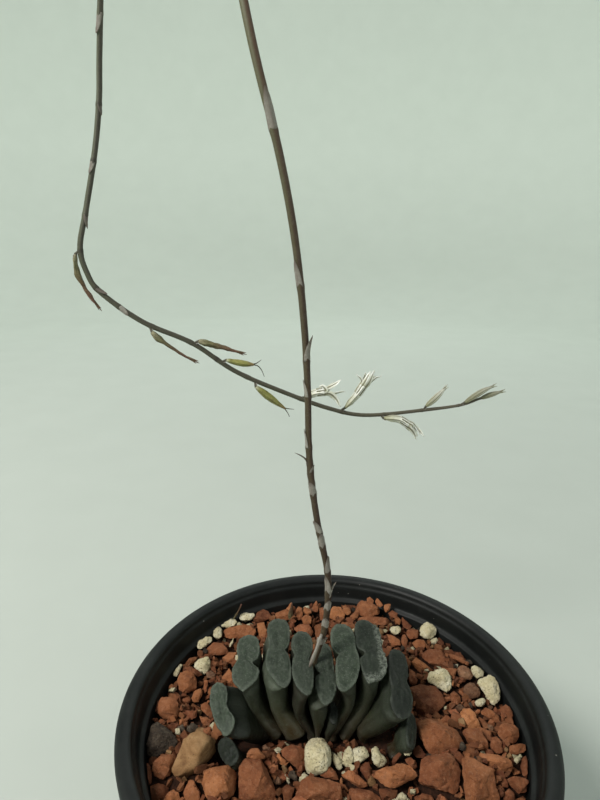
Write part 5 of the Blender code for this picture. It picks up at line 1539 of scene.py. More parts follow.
    ("chip_h", "", "brick", .3, .15, 2, [(402, 617, -4.6), (407, 621, -4.9), (412, 626, -5.4), (409, 631, -6),
        (403, 627, -5.8), (401, 621, -5.2)]),
    ("chip_i", "", "brick", .5, .3, 2, [(406, 630, -5.6), (412, 628, -5.3), (419, 630, -5.4), (418, 638, -6.3),
        (410, 640, -6.6), (406, 635, -6.2)]),
    ("chip_j", "", "brick", .6, .8, 2, [(394, 618, -4.6), (397, 616, -4.4), (401, 620, -4.9), (400, 625, -5.5),
        (395, 625, -5.5)]),
    ("back_bar", "", "brick", .55, .35, 2, [(357, 618, -4.2), (366, 616, -4), (378, 616, -4), (388, 618, -4.3),
        (393, 622, -4.8), (392, 625, -5.2), (378, 625, -5.2), (364, 624, -5.1), (356, 622, -4.8)]),
    ("back_block", "", "brick", .6, .5, 3, [(357, 603, -2.6), (361, 600, -2.3), (372, 602, -2.4),
        (381, 610, -3.4), (382, 613, -3.8), (377, 616, -4.3), (366, 618, -4.7), (357, 615, -4.4),
        (355, 609, -3.6)]),
    ("peak_a", "", "brick", .65, .5, 1.5, [(366, 602, -2.4), (367, 598, -1.9), (370, 596, -1.7),
        (374, 600, -2.2), (373, 604, -2.8), (368, 604, -2.8)]),
    ("peak_b", "", "brick", .75, .6, 1.2, [(375, 601, -2.2), (378, 595.5, -1.5), (380, 599, -1.9),
        (384, 606, -2.8), (380, 608, -3), (376, 606, -2.8)]),
    ("peak_c", "", "brick", .6, .8, 1.2, [(384, 605, -2.9), (389, 602.5, -2.6), (392, 603, -2.7),
        (390, 610, -3.5), (386, 614, -4.1), (383, 611, -3.7)]),
    ("chip_k", "", "brick", .45, .25, 1.5, [(388, 613, -3.9), (392, 610, -3.5), (398, 613, -3.8),
        (397, 618, -4.4), (390, 618, -4.4)]),
    ("back_a", "", "brick", .65, .6, 2, [(274, 619, -5), (275, 613, -4.2), (281, 612, -4), (286, 608, -3.5),
        (289, 610, -3.8), (290, 620, -5), (282, 621, -5.2)]),
    ("peak_d", "", "brick", .7, 1, .8, [(286, 609, -3.4), (290, 603, -2.6), (292, 602, -2.5), (293, 608, -3.2),
        (291, 614, -4), (287, 612, -3.8)]),
    ("back_b", "", "brick", .3, .1, 2, [(252, 621, -5.2), (257, 612, -4.2), (263, 609, -3.9), (269, 611, -4.1),
        (272, 617, -4.8), (264, 622, -5.4), (256, 624, -5.6)]),
    ("back_c", "", "brick", .75, .8, 2, [(256, 623, -5.4), (264, 622, -5.3), (267, 630, -6), (264, 645, -7.2),
        (260, 640, -6.8), (257, 631, -6.2)]),
    ("back_long", "brick_chip_06", "brick", .7, .55, 1.8, [(222, 631, -4.8), (229, 627, -4.4), (244, 624, -4),
        (253, 625, -4.1), (258, 630, -4.7), (256, 636, -5.4), (244, 638, -5.8), (230, 639, -5.9),
        (223, 637, -5.6)]),
    ("back_d", "", "brick", .6, .5, 2, [(296, 610, -3.8), (298, 606.5, -3.4), (302, 607, -3.4),
        (303, 613, -4.1), (302, 620, -4.9), (296, 621, -5)]),
    ("back_e", "", "brick", .75, .8, 1.5, [(303, 609, -3.6), (305, 606, -3.3), (310, 609, -3.7),
        (312, 613, -4.1), (307, 616, -4.5), (303, 613, -4.1)]),
    ("peak_e", "", "brick", .65, .4, 1, [(312, 608, -3.4), (316, 600, -2.4), (317, 601, -2.5), (319, 608, -3.4),
        (317, 614, -4.1), (313, 612, -3.9)]),
    ("back_f", "", "brick", .55, .4, 2, [(319, 608, -3.5), (323, 607, -3.3), (326, 612, -4), (325, 621, -5),
        (320, 621, -5)]),
    ("back_g", "", "brick", .6, .7, 2, [(301, 618, -4.7), (306, 614, -4.2), (312, 617, -4.5), (311, 625, -5.4),
        (303, 626, -5.5)]),
    ("back_h", "", "brick", .8, .9, 2, [(329, 611, -3.8), (333, 606, -3.2), (341, 607, -3.3), (345, 612, -3.9),
        (345, 620, -4.8), (336, 622, -5), (329, 619, -4.7)]),
    ("back_i", "", "brick", .65, .9, 1.5, [(342, 606, -3), (345, 604, -2.8), (350, 609, -3.4), (352, 613, -3.9),
        (347, 616, -4.3), (343, 612, -3.9)]),
    ("back_j", "", "brick", .6, .6, 1.2, [(349, 617, -4.4), (353, 613, -3.9), (358, 607, -3.2),
        (360, 610, -3.6), (358, 618, -4.5), (352, 622, -5)]),
    ("back_k", "", "brick", .7, .2, 2, [(292, 628, -5.4), (300, 624, -4.9), (309, 624, -4.9), (314, 632, -5.8),
        (310, 640, -6.6), (296, 634, -6)]),
    ("back_l", "", "brick", .3, .5, 2, [(313, 626, -5.4), (322, 622, -4.9), (328, 628, -5.6), (326, 640, -6.8),
        (316, 640, -6.9)]),
    ("pumice_l1", "pumice_left_1", "pumice", .8, 0, 2.5, [(193, 667, -5.4), (196, 661, -4.6), (203, 657, -4.1),
        (208, 656, -4), (211, 662, -4.8), (210, 669, -5.6), (204, 674, -6.3), (199, 673, -6.2),
        (203, 664, -4.2)]),
    ("pumice_l2", "pumice_left_2", "pumice", .75, 0, 2.2, [(197, 642, -4.8), (199, 640, -4.5), (206, 637, -4.1),
        (211, 636, -4), (213, 639, -4.4), (212, 643, -4.9), (204, 647, -5.6), (200, 650, -6),
        (197, 647, -5.5)]),
    ("pumice_l2b", "", "pumice", .6, 0, 2, [(212, 630, -4.8), (214, 626, -4.3), (218, 625, -4.1),
        (222, 629, -4.6), (222, 637, -5.6), (218, 640, -6), (214, 637, -5.7)]),
    ("pumice_l3", "pumice_left_3", "pumice", .7, 0, 2, [(218, 623, -4.8), (222, 618, -4.2), (229, 616, -3.9),
        (235, 619, -4.2), (237, 622, -4.6), (234, 626, -5.1), (228, 628, -5.4), (221, 626, -5.2)]),
    ("pumice_l4", "", "pumice", .85, 0, 1.8, [(239, 617, -4.6), (241, 614, -4.2), (247, 612.5, -4),
        (255, 613.5, -4.1), (254, 617, -4.6), (248, 621, -5.1), (241, 621, -5.1)]),
    ("pumice_l5", "", "pumice", .8, 0, .7, [(228.5, 647, -6), (230, 643, -5.4), (233.5, 636.5, -4.6),
        (235, 637.5, -4.8), (233, 644, -5.6), (230, 648, -6.2)]),
    ("pumice_l6", "", "pumice", .35, 0, 1.5, [(172, 673, -6.4), (175, 670, -5.9), (180, 663, -5),
        (183, 664, -5.2), (181, 671, -6), (177, 677, -6.9), (173, 677, -6.9)]),
    ("grey_l7", "", "lava", .9, .6, 1.5, [(205, 673, -6.2), (211, 670, -5.8), (216, 674, -6.2),
        (214, 679, -6.9), (207, 679, -6.9)]),
    ("left_a", "", "brick", .5, .3, 1.8, [(204, 651, -5.6), (213, 642, -4.6), (222, 643, -4.6),
        (229, 650, -5.3), (230, 654, -5.8), (214, 656, -6.1), (206, 655, -6)]),
    ("left_b", "", "brick", .65, .6, 2, [(222, 658, -6), (229, 652, -5.3), (237, 652, -5.3), (236, 660, -6.1),
        (230, 665, -6.7), (223, 664, -6.6)]),
    ("left_c", "", "brick", .35, .6, 1.8, [(184, 665, -6), (189, 658, -5.2), (199, 656, -5), (194, 664, -5.9),
        (186, 669, -6.5)]),
    ("left_d", "", "brick", .7, .4, 1.2, [(204, 680, -6.4), (208, 680, -6.4), (208, 688, -7.1), (205, 697, -8),
        (203, 690, -7.4)]),
    ("left_e", "", "brick", .75, .6, 1.8, [(221, 678, -6.2), (229, 668, -5.4), (235, 676, -6.1),
        (232, 690, -7.4), (225, 684, -6.9)]),
    ("left_f", "", "brick", .7, .8, 1.8, [(191, 698, -7.2), (194, 691, -6.4), (201, 688, -6.2),
        (203, 695, -6.9), (199, 702, -7.7), (193, 703, -7.9)]),
    ("left_g", "", "brick", .5, .3, 1.5, [(181, 699, -7.4), (187, 697, -7.1), (192, 700, -7.4), (188, 705, -8),
        (182, 704, -8)]),
    ("left_h", "", "brick", .6, .5, 1.8, [(200, 704, -6.8), (206, 702, -6.5), (212, 708, -7), (212, 716, -7.8),
        (207, 716, -7.9), (201, 710, -7.4)]),
    ("left_i", "", "brick", .65, .5, 1.6, [(199, 716, -7.2), (207, 717, -7.2), (211, 720, -7.5),
        (206, 728, -8.2), (201, 722, -7.7)]),
    ("left_j", "", "brick", .4, .2, 1.6, [(189, 718, -8), (193, 712, -7.4), (198, 709, -7.1), (197, 717, -7.9),
        (190, 721, -8.4)]),
    ("mottled_a", "", "lava", 1.0, 0, 1.4, [(177, 727, -7), (182, 724, -6.6), (186, 727, -6.9),
        (184, 734, -7.7), (178, 734, -7.8)]),
    ("mottled_b", "", "lava", .9, 0, 1.4, [(186, 726, -6.8), (192, 722, -6.3), (199, 726, -6.7),
        (197, 731, -7.3), (190, 734, -7.6), (187, 731, -7.3)]),
    ("left_k", "", "brick", .2, .1, 1.5, [(150, 706, -7.4), (154, 700, -6.6), (159, 702, -6.6), (158, 714, -8),
        (152, 716, -8.6)]),
    ("left_l", "", "brick", .25, .1, 1.5, [(166, 726, -7), (174, 722, -6.6), (180, 724, -6.9), (176, 732, -7.8),
        (168, 730, -7.6)]),
]

GRID, REACH = 0.3, 58.2
AX = np.arange(-REACH, REACH + GRID / 2, GRID)
GX, GY = np.meshgrid(AX, AX)
GR = np.hypot(GX, GY)


def spread(known, value, rounds=420):
    """Fills the unknown part of the grid smoothly from the known part."""
    f = np.where(known, value, value[known].mean())
    for size in (16, 8, 4, 2, 1):
        for _ in range(rounds // 12 if size > 1 else rounds // 3):
            a = 0.25 * (np.roll(f, size, 0) + np.roll(f, -size, 0) + np.roll(f, size, 1) + np.roll(f, -size, 1))
            f = np.where(known, value, a)
    return f


def ridge_points(name, kind, pts):
    """A few points inside the outline of a stone, lifted towards the eye, so that its top breaks
    into facets."""
    own = random.Random(name)
    q = np.array(pts, float)
    mid, size = q[:, :2].mean(0), q[:, :2].max(0) - q[:, :2].min(0)
    lift = {"brick": 0.25, "pumice": 0.16, "pebble": 0.10, "lava": 0.16}[kind] * min(size) / 3.3
    out = []
    turn = own.uniform(0, math.tau)
    for k in range(2):
        a = turn + k * math.tau / 3.0 + own.uniform(-0.5, 0.5)
        reach = own.uniform(0.10, 0.27)
        x, y = mid[0] + size[0] * reach * math.cos(a), mid[1] + size[1] * reach * math.sin(a)
        w = 1.0 / (1.0 + (q[:, 0] - x) ** 2 + (q[:, 1] - y) ** 2)
        z = float((q[:, 2] * w).sum() / w.sum())
        out.append((x, y, z + lift * own.uniform(0.5, 1.15)))
    return out


def build_gravel(mats, leaf_solids):
    rnd = random.Random(11)
    rays = []
    tops = np.full(GX.shape, -99.0)
    for name, node, kind, shade, hue, thick, pts in ROCKS:
        P = np.array([seen(*p) for p in pts + ridge_points(name, kind, pts)])
        r = np.hypot(P[:, 0], P[:, 1])
        lim = 55.4
        P[:, :2] *= np.where(r > lim, lim / r, 1.0)[:, None]
        D = P - CAM_AT
        rays.append((P, D / np.linalg.norm(D, axis=1)[:, None]))
        bm = hull_of(P)
        if len(bm.faces) > 3:
            N, h = planes_of(bm)
            lo, up, ok = planes_top(N, h, GX, GY)
            tops[ok] = np.maximum(tops[ok], up[ok])
        bm.free()
    known = tops > -50.0
    rim = GR > 55.0
    level = spread(known | rim, np.where(rim, -8.2, tops))
    for _ in range(10):
        level = 0.2 * (level + np.roll(level, 3, 0) + np.roll(level, -3, 0) + np.roll(level, 3, 1) + np.roll(level, -3, 1))
    level = np.minimum(level, -3.4)
    # where the leaves stand
    tree = BVHTree.FromPolygons([tuple(v) for v in leaf_solids[0]], [tuple(f) for f in leaf_solids[1]])
    block = np.zeros(GX.shape, bool)
    for j in np.where(np.abs(AX + 4.0) < 22.0)[0]:
        for i in np.where(np.abs(AX + 3.0) < 36.0)[0]:
            hit = tree.ray_cast(Vector((AX[i], AX[j], RP - 14.0)), Vector((0, 0, 1)), 12.0)
            if hit[0] is not None:
                block[j, i] = True
    grown = block.copy()
    for dj, di in ((0, 1), (1, 0), (0, -1), (-1, 0)):
        grown |= np.roll(np.roll(block, dj, 0), di, 1)
    near = grown.copy()
    for _ in range(9):
        near = near | np.roll(near, 1, 0) | np.roll(near, -1, 0) | np.roll(near, 1, 1) | np.roll(near, -1, 1)
    level = np.where(near, np.minimum(level, -8.2), level)
    # a low, dark hollow right in front of the leaves
    hollow = near.copy()
    for k in range(1, int(3.5 / GRID)):
        hollow |= np.roll(near, -k, 0)
    level = np.where(hollow, np.minimum(level, -7.2), level)
    base = np.minimum(level - 3.6, -8.2)
    for _ in range(6):
        base = 0.2 * (base + np.roll(base, 3, 0) + np.roll(base, -3, 0) + np.roll(base, 3, 1) + np.roll(base, -3, 1))
    base = np.maximum(base, -12.4)

    def at(grid, x, y):
        i = int(round((min(REACH, max(-REACH, x)) + REACH) / GRID))
        j = int(round((min(REACH, max(-REACH, y)) + REACH) / GRID))
        return float(grid[min(j, len(AX) - 1), min(i, len(AX) - 1)])

    # ---- the stones that show one by one
    H = base.copy()
    taken = np.zeros(GX.shape, bool)
    forms, info, passes, hewn = [], [], [], []
    for (name, node, kind, shade, hue, thick, pts), (P, D) in zip(ROCKS, rays):
        if node:
            node_lo, node_hi = (np.array(v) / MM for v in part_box(node))
        c = P.mean(0)
        low = []
        for p, d in zip(P, D):
            if thick >= 1.8:
                floor_z = at(base, p[0], p[1]) - 0.3
                s = max(thick * 0.6, (floor_z - p[2]) / d[2])
                s = min(s, 9.0)
            else:
                s = thick
            if node:
                # the hidden side ends where the CAD stone ends
                s = min(s, max(0.3 * thick, min((node_hi[1] + 0.3 - p[1]) / max(d[1], 1e-3),
                                                (node_lo[2] - 0.3 - RP - p[2]) / min(d[2], -1e-3))))
            low.append(p + d * s)
        low = np.array(low)
        lc = low.mean(0)
        low = lc + (low - lc) * (0.80 if kind == "brick" else 0.70)
        bm = hull_of(np.vstack([P, low]))
        if kind == "brick":
            broken_edges(bm, rnd, 6, 0.10, -D.mean(0))
        N, h = planes_of(bm)
        lo, up, ok = planes_top(N, h, GX, GY)
        H = np.where(ok, np.maximum(H, up), H)
        taken |= ok
        if kind == "brick":
            for v in bm.verts:
                v.co.z += RP
            hewn.append((name, node, kind, shade, hue) + rough_hewn(bm, 3.0 + 1.7 * len(hewn), 0.75))
            bm.free()
            continue
        V, F = flat_faces(bm)
        bm.free()
        V = V + np.array([0.0, 0.0, RP])
        forms.append((V, F))
        info.append((name, node, kind, shade, hue))
        passes.append({"pumice": 2, "pebble": 2, "lava": 1}[kind])
    done = remesh_all(forms, 0.36, passes)
    slots = {"brick": "brick", "pumice": "pumice", "pebble": "tan_stone", "lava": "lava"}
    heaps = {
        "brick": Heap("brick_grains", mats["brick"], "fine_gravel", 22),
        "pumice": Heap("pumice_grains", mats["pumice"], "pumice", 30),
        "lava": Heap("grey_grains", mats["lava"], "lava", 30),
        "tan": Heap("tan_grains", mats["tan"], "tan_stone", 30),
    }
    loose = {"brick": Heap("brick_chips", mats["brick"], "brick", 24),
             "pumice": Heap("pumice_bits", mats["pumice"], "pumice"),
             "lava": Heap("grey_chips", mats["lava"], "lava")}
    big = {"brick": Heap("brick_pieces", mats["brick"], "fine_gravel", 24),
           "pumice": Heap("pumice_pieces", mats["pumice"], "pumice"),
           "lava": Heap("grey_pieces", mats["lava"], "lava"),
           "tan": Heap("tan_pieces", mats["tan"], "tan_stone")}
    pair = Heap("pumice_front_pair_skin", mats["pumice"], "pumice")
    mat_of = {"brick": mats["brick"], "pumice": mats["pumice"], "pebble": mats["tan"], "lava": mats["lava"]}
    rocks = [(n, nd, kd, sh, hu, weathered(V, F, kd, 3.0 + 1.7 * k), F)
             for k, ((V, F), (n, nd, kd, sh, hu)) in enumerate(zip(done, info))]
    for k, (name, node, kind, shade, hue, V, F) in enumerate(hewn + rocks):
        tone = (shade, hue, (k * 0.377) % 1.0, 0.0)
        if name.startswith("pumice_pair"):
            pair.add(V, F, tone)
        elif node:
            me = mesh_mm(node + "_skin", V, F, True, 24 if kind == "brick" else None)
            put(me, "tone", np.tile(np.array([tone]), (len(V), 1)))
            new_piece(node + "_skin", me, mat_of[kind], slots[kind], [node])
        else:
            loose[kind].add(V, F, tone)
    pair.flush(["pumice_front_pair"])
    for hp in loose.values():
        hp.flush()
    # the rounded pumice stone that lies in front of the leaves
    v, f = ball(5)
    q = np.abs(v) ** 2.3
    v = v / (q.sum(1) ** (1 / 2.3))[:, None]
    egg = v * np.array([3.7, 4.9, 3.9])
    egg[:, 0] *= 1.0 - 0.10 * egg[:, 1] / 5.0
    egg = egg @ rot_matrix(math.radians(-6), math.radians(-12), 0.0).T + np.array([-5.5, -14.5, RP - 4.7])
    quads = np.hstack([f, f[:, 2:3]])
    egg = weathered(egg, quads, "egg", 5.0)
    me = mesh_mm("pumice_front_egg_skin", egg, f, True)
    put(me, "tone", np.tile(np.array([[0.95, 0.0, 0.3]]), (len(egg), 1)))
    new_piece("pumice_front_egg_skin", me, mats["pumice"], "pumice", ["pumice_front_egg"])
    inside = ((GX + 5.5) / 3.9) ** 2 + ((GY + 14.5) / 5.1) ** 2 < 1.0
    taken |= inside
    H = np.where(inside, -2.0, H)

    # ---- loose grains in the gaps and under the rim, from coarse to fine
    H[grown] = 60.0
    H[GR > 55.4] = 60.0
    free = (~taken) & (~grown) & (GR < 55.0)
    mid_forms, mid_info, mid_pass = [], [], []
    count = 0

    def window(x, y, rad):
        i, j = int(round((x + REACH) / GRID)), int(round((y + REACH) / GRID))
        k = int(rad / GRID) + 2
        if i - k < 0 or j - k < 0 or i + k >= len(AX) or j + k >= len(AX):
            return None
        return i, j, (slice(j - k, j + k + 1), slice(i - k, i + k + 1))

    plan = ((4.4, 7.0, 420, 24, 0.12), (3.0, 4.6, 1000, 22, 0.14), (2.0, 3.2, 1700, 22, 0.22), (1.2, 2.1, 2600, 22, 0.30))
    for lo_s, hi_s, tries, picks, spare in plan:
        for _ in range(tries):
            deficit = np.where(free, level - H, -9.0)
            cand = None
            size = rnd.uniform(lo_s, hi_s)
            best = 0.15 * size
            for _k in range(picks):
                rr, aa = 54.8 * math.sqrt(rnd.random()), rnd.uniform(0, math.tau)
                x, y = rr * math.cos(aa), rr * math.sin(aa)
                i, j = int(round((x + REACH) / GRID)), int(round((y + REACH) / GRID))
                if deficit[j, i] > best:
                    best, cand = deficit[j, i], (x, y)
            if cand is None:
                continue
            v = rnd.random()
            kind, heap = (("brick", "brick") if v < 0.66 else ("flake", "brick") if v < 0.86 else
                          ("pumice", "pumice") if v < 0.915 else ("lava", "lava") if v < 0.955 else ("round", "tan"))
            if size > 4.6 and heap != "brick":
                kind, heap = "brick", "brick"
            N, h = random_stone(rnd, size, kind)
            w = window(cand[0], cand[1], size * 0.9)
            if w is None:
                continue
            i, j, sl = w
            lo, up, ok = planes_top(N, h, GX[sl] - AX[i], GY[sl] - AX[j])
            if not ok.any():
                continue
            shut = ok & (taken[sl] | grown[sl] | (GR[sl] > 55.4))
            if shut.sum() > spare * ok.sum():
                continue
            open_ = ok & ~shut
            if not open_.any():
                continue
            gap = (H[sl] - lo)[open_]
            z = float(np.percentile(gap, 88))
            top = z + float(up[ok].max())
            if top > at(level, AX[i], AX[j]) + 0.5 + 0.10 * size:
                continue
            shade, hue = rnd.betavariate(1.7, 1.9), rnd.betavariate(1.3, 1.9)
            if size < 3.2:
                shade *= 0.8
            if hollow[j, i] and size > 3.4:
                continue
            # painted shade: grains in the hollow just in front of the leaves and in the back part behind them are
            # coloured darker for the shade there
            if hollow[j, i] or AX[j] > 14.0:
                shade *= 0.6
            if heap == "lava":
                hue = 1.0 if rnd.random() < 0.55 else 0.0
            tone = (shade, hue, (count * 0.219) % 1.0, 0.0)
            P = corners(N, h)
            if len(P) < 5:
                continue
            centre = np.array([AX[i], AX[j], z + RP])
            bm = hull_of(P + centre)
            if size > 2.9 and heap == "brick":
                V, F = rough_hewn(bm, 40.0 + 1.3 * count, 1.0, size > 4.4)
                bm.free()
                big["brick"].add(V, F, tone)
                H[sl] = np.where(ok & ~grown[sl] & (GR[sl] <= 55.4), np.maximum(H[sl], z + up), H[sl])
                count += 1
                continue
            V, F = flat_faces(bm)
            bm.free()
            if size > 2.9:
                mid_forms.append((V, F))
                mid_info.append((kind, heap, tone, size))
                mid_pass.append(2)
            else:
                rad = np.hypot(V[:, 0], V[:, 1])
                V[:, :2] *= np.where(rad > 55.7, 55.7 / rad, 1.0)[:, None]
                heaps[heap].add(V, F, tone)
            H[sl] = np.where(ok & ~grown[sl] & (GR[sl] <= 55.4), np.maximum(H[sl], z + up), H[sl])
            count += 1
    mids = remesh_all(mid_forms, 0.5, mid_pass)
    for k, ((V, F), (kind, heap, tone, size)) in enumerate(zip(mids, mid_info)):
        V = weathered(V, F, {"round": "pebble"}.get(kind, kind), 40.0 + 1.3 * k)
        big[heap].add(V, F, tone)
    for hp in big.values():
        hp.flush()
    heaps["brick"].flush(["gravel_bed"])
    for k in ("pumice", "lava", "tan"):
        heaps[k].flush()
    print("grains", count, "larger", len(mid_forms))
    return base


def build_bed(mat, base):
    """Layer of fines between the grains, painted dark for the shade in the gaps: a bumpy closed layer that the loose
    grains lie on.
    """
    hi, lo = RP - 9.0, RP + SOIL_TOP + 1.4
    edge = inner_wall_r(hi) - 0.4
    prof = [(0.0, hi)] + [(edge * k / 60.0, hi) for k in range(1, 61)]
    prof += [(inner_wall_r(lo) - 0.5, lo), (30.0, lo), (0.0, lo)]
    me = turned("painted_shade_bed", prof, 150)
    for v in me.vertices:
        x, y, z = (c / MM for c in v.co)
        if z > hi - 0.1:
            i = min(len(AX) - 1, max(0, int(round((x + REACH) / GRID))))
            j = min(len(AX) - 1, max(0, int(round((y + REACH) / GRID))))
            d = 0.6 * n3(x * 0.5, y * 0.5, 1.0) + 0.45 * n3(x * 1.3, y * 1.3, 2.0)
            v.co.z = (RP + base[j, i] + 0.2 + d) * MM
    me.shade_smooth()
    me.update()
    return new_piece("painted_shade_bed", me, mat, "fine_gravel")


# ================================================================ flower stem
STEM_ROUTE = [
    (-6.9, 3.4, -6.4), (-6.8, 3.1, 3.0), (-6.8, 2.7, 11.0), (-5.2, 2.2, 18.4), (-3.9, 2.0, 24.5), (-3.2, 2.0, 34.0),
    (-3.6, 2.0, 44.0), (-6.9, 2.0, 60.2), (-9.3, 2.0, 78.0), (-10.2, 2.0, 98.0),
    (-11.5, 2.0, 114.8), (-14.0, 2.0, 134.0), (-17.7, 2.6, 152.0), (-23.6, 4.4, 174.0),
    (-29.6, 10.5, 200.0), (-37.0, 23.0, 226.0), (-51.0, 45.0, 242.0), (-67.0, 68.0, 236.0),
    (-77.6, 80.6, 216.0), (-81.4, 82.2, 190.8), (-82.4, 80.6, 175.4), (-84.6, 78.8, 159.5),
    (-88.6, 76.3, 140.0), (-91.4, 74.6, 127.0), (-89.6, 74.1, 118.0), (-85.2, 74.1, 111.0),
    (-71.0, 75.4, 100.3), (-53.5, 77.4, 92.2), (-37.5, 78.9, 81.1), (-19.7, 81.0, 72.7),
    (-0.7, 83.3, 65.2), (15.0, 85.5, 61.7), (39.0, 89.5, 62.9), (55.3, 92.3, 64.5),
    (64.0, 94.0, 67.2),
]
STEM_N = 520
STEM = smooth_route(STEM_ROUTE, STEM_N) + np.array([0.0, 0.0, RP])
S_T, S_N, S_B = frames_along(STEM)


def stem_r(u):
    return float(np.interp(u, [0.0, 0.05, 0.17, 0.24, 0.31, 0.62, 0.75, 0.88, 0.96, 1.0],
                           [0.98, 0.90, 0.84, 0.92, 0.99, 0.99, 0.96, 0.86, 0.70, 0.50]))


def stem_at(u):
    """Point, tangent and two cross directions of the stem at share u of its length."""
    k = max(0.0, min(1.0, u)) * (STEM_N - 1)
    i = min(int(k), STEM_N - 2)
    f = k - i
    mix = lambda A: A[i] * (1 - f) + A[i + 1] * f
    return mix(STEM), mix(S_T), mix(S_N), mix(S_B)


def stem_share(py):
    """Share of the stem's length where its rising part shows at height py of the picture."""
    f, r, u = camera_axes()
    d = STEM[:int(0.40 * STEM_N)] - np.array([0.0, 0.0, RP]) - CAM_AT
    return float(np.argmin(np.abs(400.0 - FOCAL * (d @ u) / (d @ f) - py))) / (STEM_N - 1)


# joints of the stem: foot of the bract, its length in mm, which way its tip points (-1 left,
# 1 right, 0 front), how far round it clasps, how far the tip stands off, how dark it is;
# the foot is given as height down the picture, or further on as a share of the stem's length
RISING = [
    (627, 3.6, -0.2, 112, 0.20, 0.15), (609, 3.8, 0.3, 108, 0.20, 0.10), (597, 4.6, 1.0, 70, 1.30, 0.10),
    (594, 6.0, -0.6, 96, 0.15, 0.05), (571, 5.4, 0.8, 92, 0.45, 0.22), (547, 4.8, 0.4, 104, 0.20, 0.10),
    (531, 4.4, -0.6, 96, 0.55, 0.05), (495, 4.2, -0.3, 104, 0.20, 0.12), (483, 3.0, -1.0, 46, 0.15, 0.25),
    (470, 2.0, 0.9, 80, 0.30, 0.40), (462, 3.2, -1.0, 56, 2.90, 0.92), (447, 5.2, -0.95, 58, 0.30, 0.05),
    (397, 4.6, -0.9, 66, 0.30, 0.0), (363, 6.6, 0.85, 100, 1.30, 0.30), (287, 6.2, -0.6, 70, 0.30, 0.30),
    (133, 9.0, 0.35, 90, 0.55, 0.25),
]
BRACTS = [(stem_share(b[0]),) + b[1:] for b in RISING] + [
    (0.3333, 8.0, -0.6, 90, 0.4, 0.30), (0.3700, 8.0, 0.6, 90, 0.4, 0.35), (0.4100, 8.0, -0.6, 90, 0.4, 0.30),
    (0.4500, 7.5, 0.6, 90, 0.4, 0.35), (0.4900, 7.5, -0.5, 90, 0.4, 0.30), (0.5300, 7.0, 0.6, 90, 0.4, 0.3),
    (0.5700, 6.5, -0.5, 90, 0.5, 0.3), (0.6170, 3.2, 0.9, 60, 0.50, 0.75), (0.6480, 4.2, -0.4, 70, 0.30, 0.30),
    (0.6780, 4.6, 0.9, 70, 1.25, 0.70), (0.7230, 4.2, 0.9, 70, 1.05, 0.90), (0.7400, 4.4, -0.4, 95, 0.25, 0.0),
]


def build_stem(mat):
    joints = [b[0] for b in BRACTS] + [0.7000, 0.7625, 0.7880, 0.8080, 0.8300, 0.8690, 0.8990, 0.9290, 0.9560, 0.9830]
    around = 20
    verts, dat = [], []
    for k in range(STEM_N):
        u = k / (STEM_N - 1)
        r = stem_r(u)
        swell, ring = 0.0, 0.0
        for q in joints:
            d = (u - q) * 599.0
            if abs(d) < 4.0:
                swell += 0.16 * math.exp(-((d + 0.1) / 0.9) ** 2)
                ring = max(ring, math.exp(-((d + 0.45) / 0.28) ** 2))
        p, n, b = STEM[k], S_N[k], S_B[k]
        for i in range(around):
            a = math.tau * i / around
            d = n * math.cos(a) + b * math.sin(a)
            rr = r * (1.0 + 0.05 * math.cos(3 * a + u * 30.0) + 0.03 * n3(u * 140.0, math.cos(a), math.sin(a)))
            rr += swell * (r / 1.1)
            rr = min(rr, r + 0.22)
            verts.append(p + d * rr)
            # along.g carries the painted shade: 1 on the stem's right side, away from the key light
            dat.append((u, 0.5 + 0.5 * d[0], ring, 0.0))
    faces = []
    for k in range(STEM_N - 1):
        for i in range(around):
            j = (i + 1) % around
            faces.append((k * around + i, k * around + j, (k + 1) * around + j, (k + 1) * around + i))
    for end in (0, STEM_N - 1):
        c = len(verts)
        verts.append(STEM[end] - S_T[end] * (0.4 if end == 0 else -0.3))
        dat.append((end / (STEM_N - 1), 0.5, 0, 0))
        for i in range(around):
            j = (i + 1) % around
            faces.append((c, end * around + j, end * around + i) if end == 0 else
                         (c, end * around + i, end * around + j))
    me = outward(mesh_mm("flower_stem", verts, faces))
    put(me, "along", np.array(dat))
    return new_piece("flower_stem", me, mat, "flower_stem", ["peduncle"])


def shell(rows_o, thick, normals):
    """Closed thin sheet from a grid of points: rows_o[k][i], moved both ways along normals."""
    n, m = len(rows_o), len(rows_o[0])
    verts = []
    for sgn in (0.5, -0.5):
        for k in range(n):
            for i in range(m):
                verts.append(np.array(rows_o[k][i]) + np.array(normals[k][i]) * thick * sgn)
    faces = []
    for k in range(n - 1):
        for i in range(m - 1):
            a, b, c, d = k * m + i, k * m + i + 1, (k + 1) * m + i + 1, (k + 1) * m + i
            faces.append((a, b, c, d))
            o = n * m
            faces.append((o + d, o + c, o + b, o + a))
    edge = [(0, i) for i in range(m)] + [(k, m - 1) for k in range(1, n)] + [(n - 1, i) for i in range(m - 2, -1, -1)]
    edge += [(k, 0) for k in range(n - 2, 0, -1)]
    for (k0, i0), (k1, i1) in zip(edge, edge[1:] + edge[:1]):
        a, b, o = k0 * m + i0, k1 * m + i1, n * m
        faces.append((b, a, o + a, o + b))
    return verts, faces


class Bag:
    """Gathers small shapes into one mesh."""

    def __init__(self):
        self.V, self.F, self.D = [], [], []

    def add(self, verts, faces, dat):
        o = len(self.V)
        self.V += [tuple(v) for v in verts]
        self.F += [tuple(i + o for i in f) for f in faces]
        self.D += [tuple(d) for d in dat]

    def done(self, name, mat, slot, nodes=(), key="part", sharp=None):
        me = outward(mesh_mm(name, self.V, self.F, True, sharp))
        put(me, key, np.array(self.D))
        return new_piece(name, me, mat, slot, nodes)


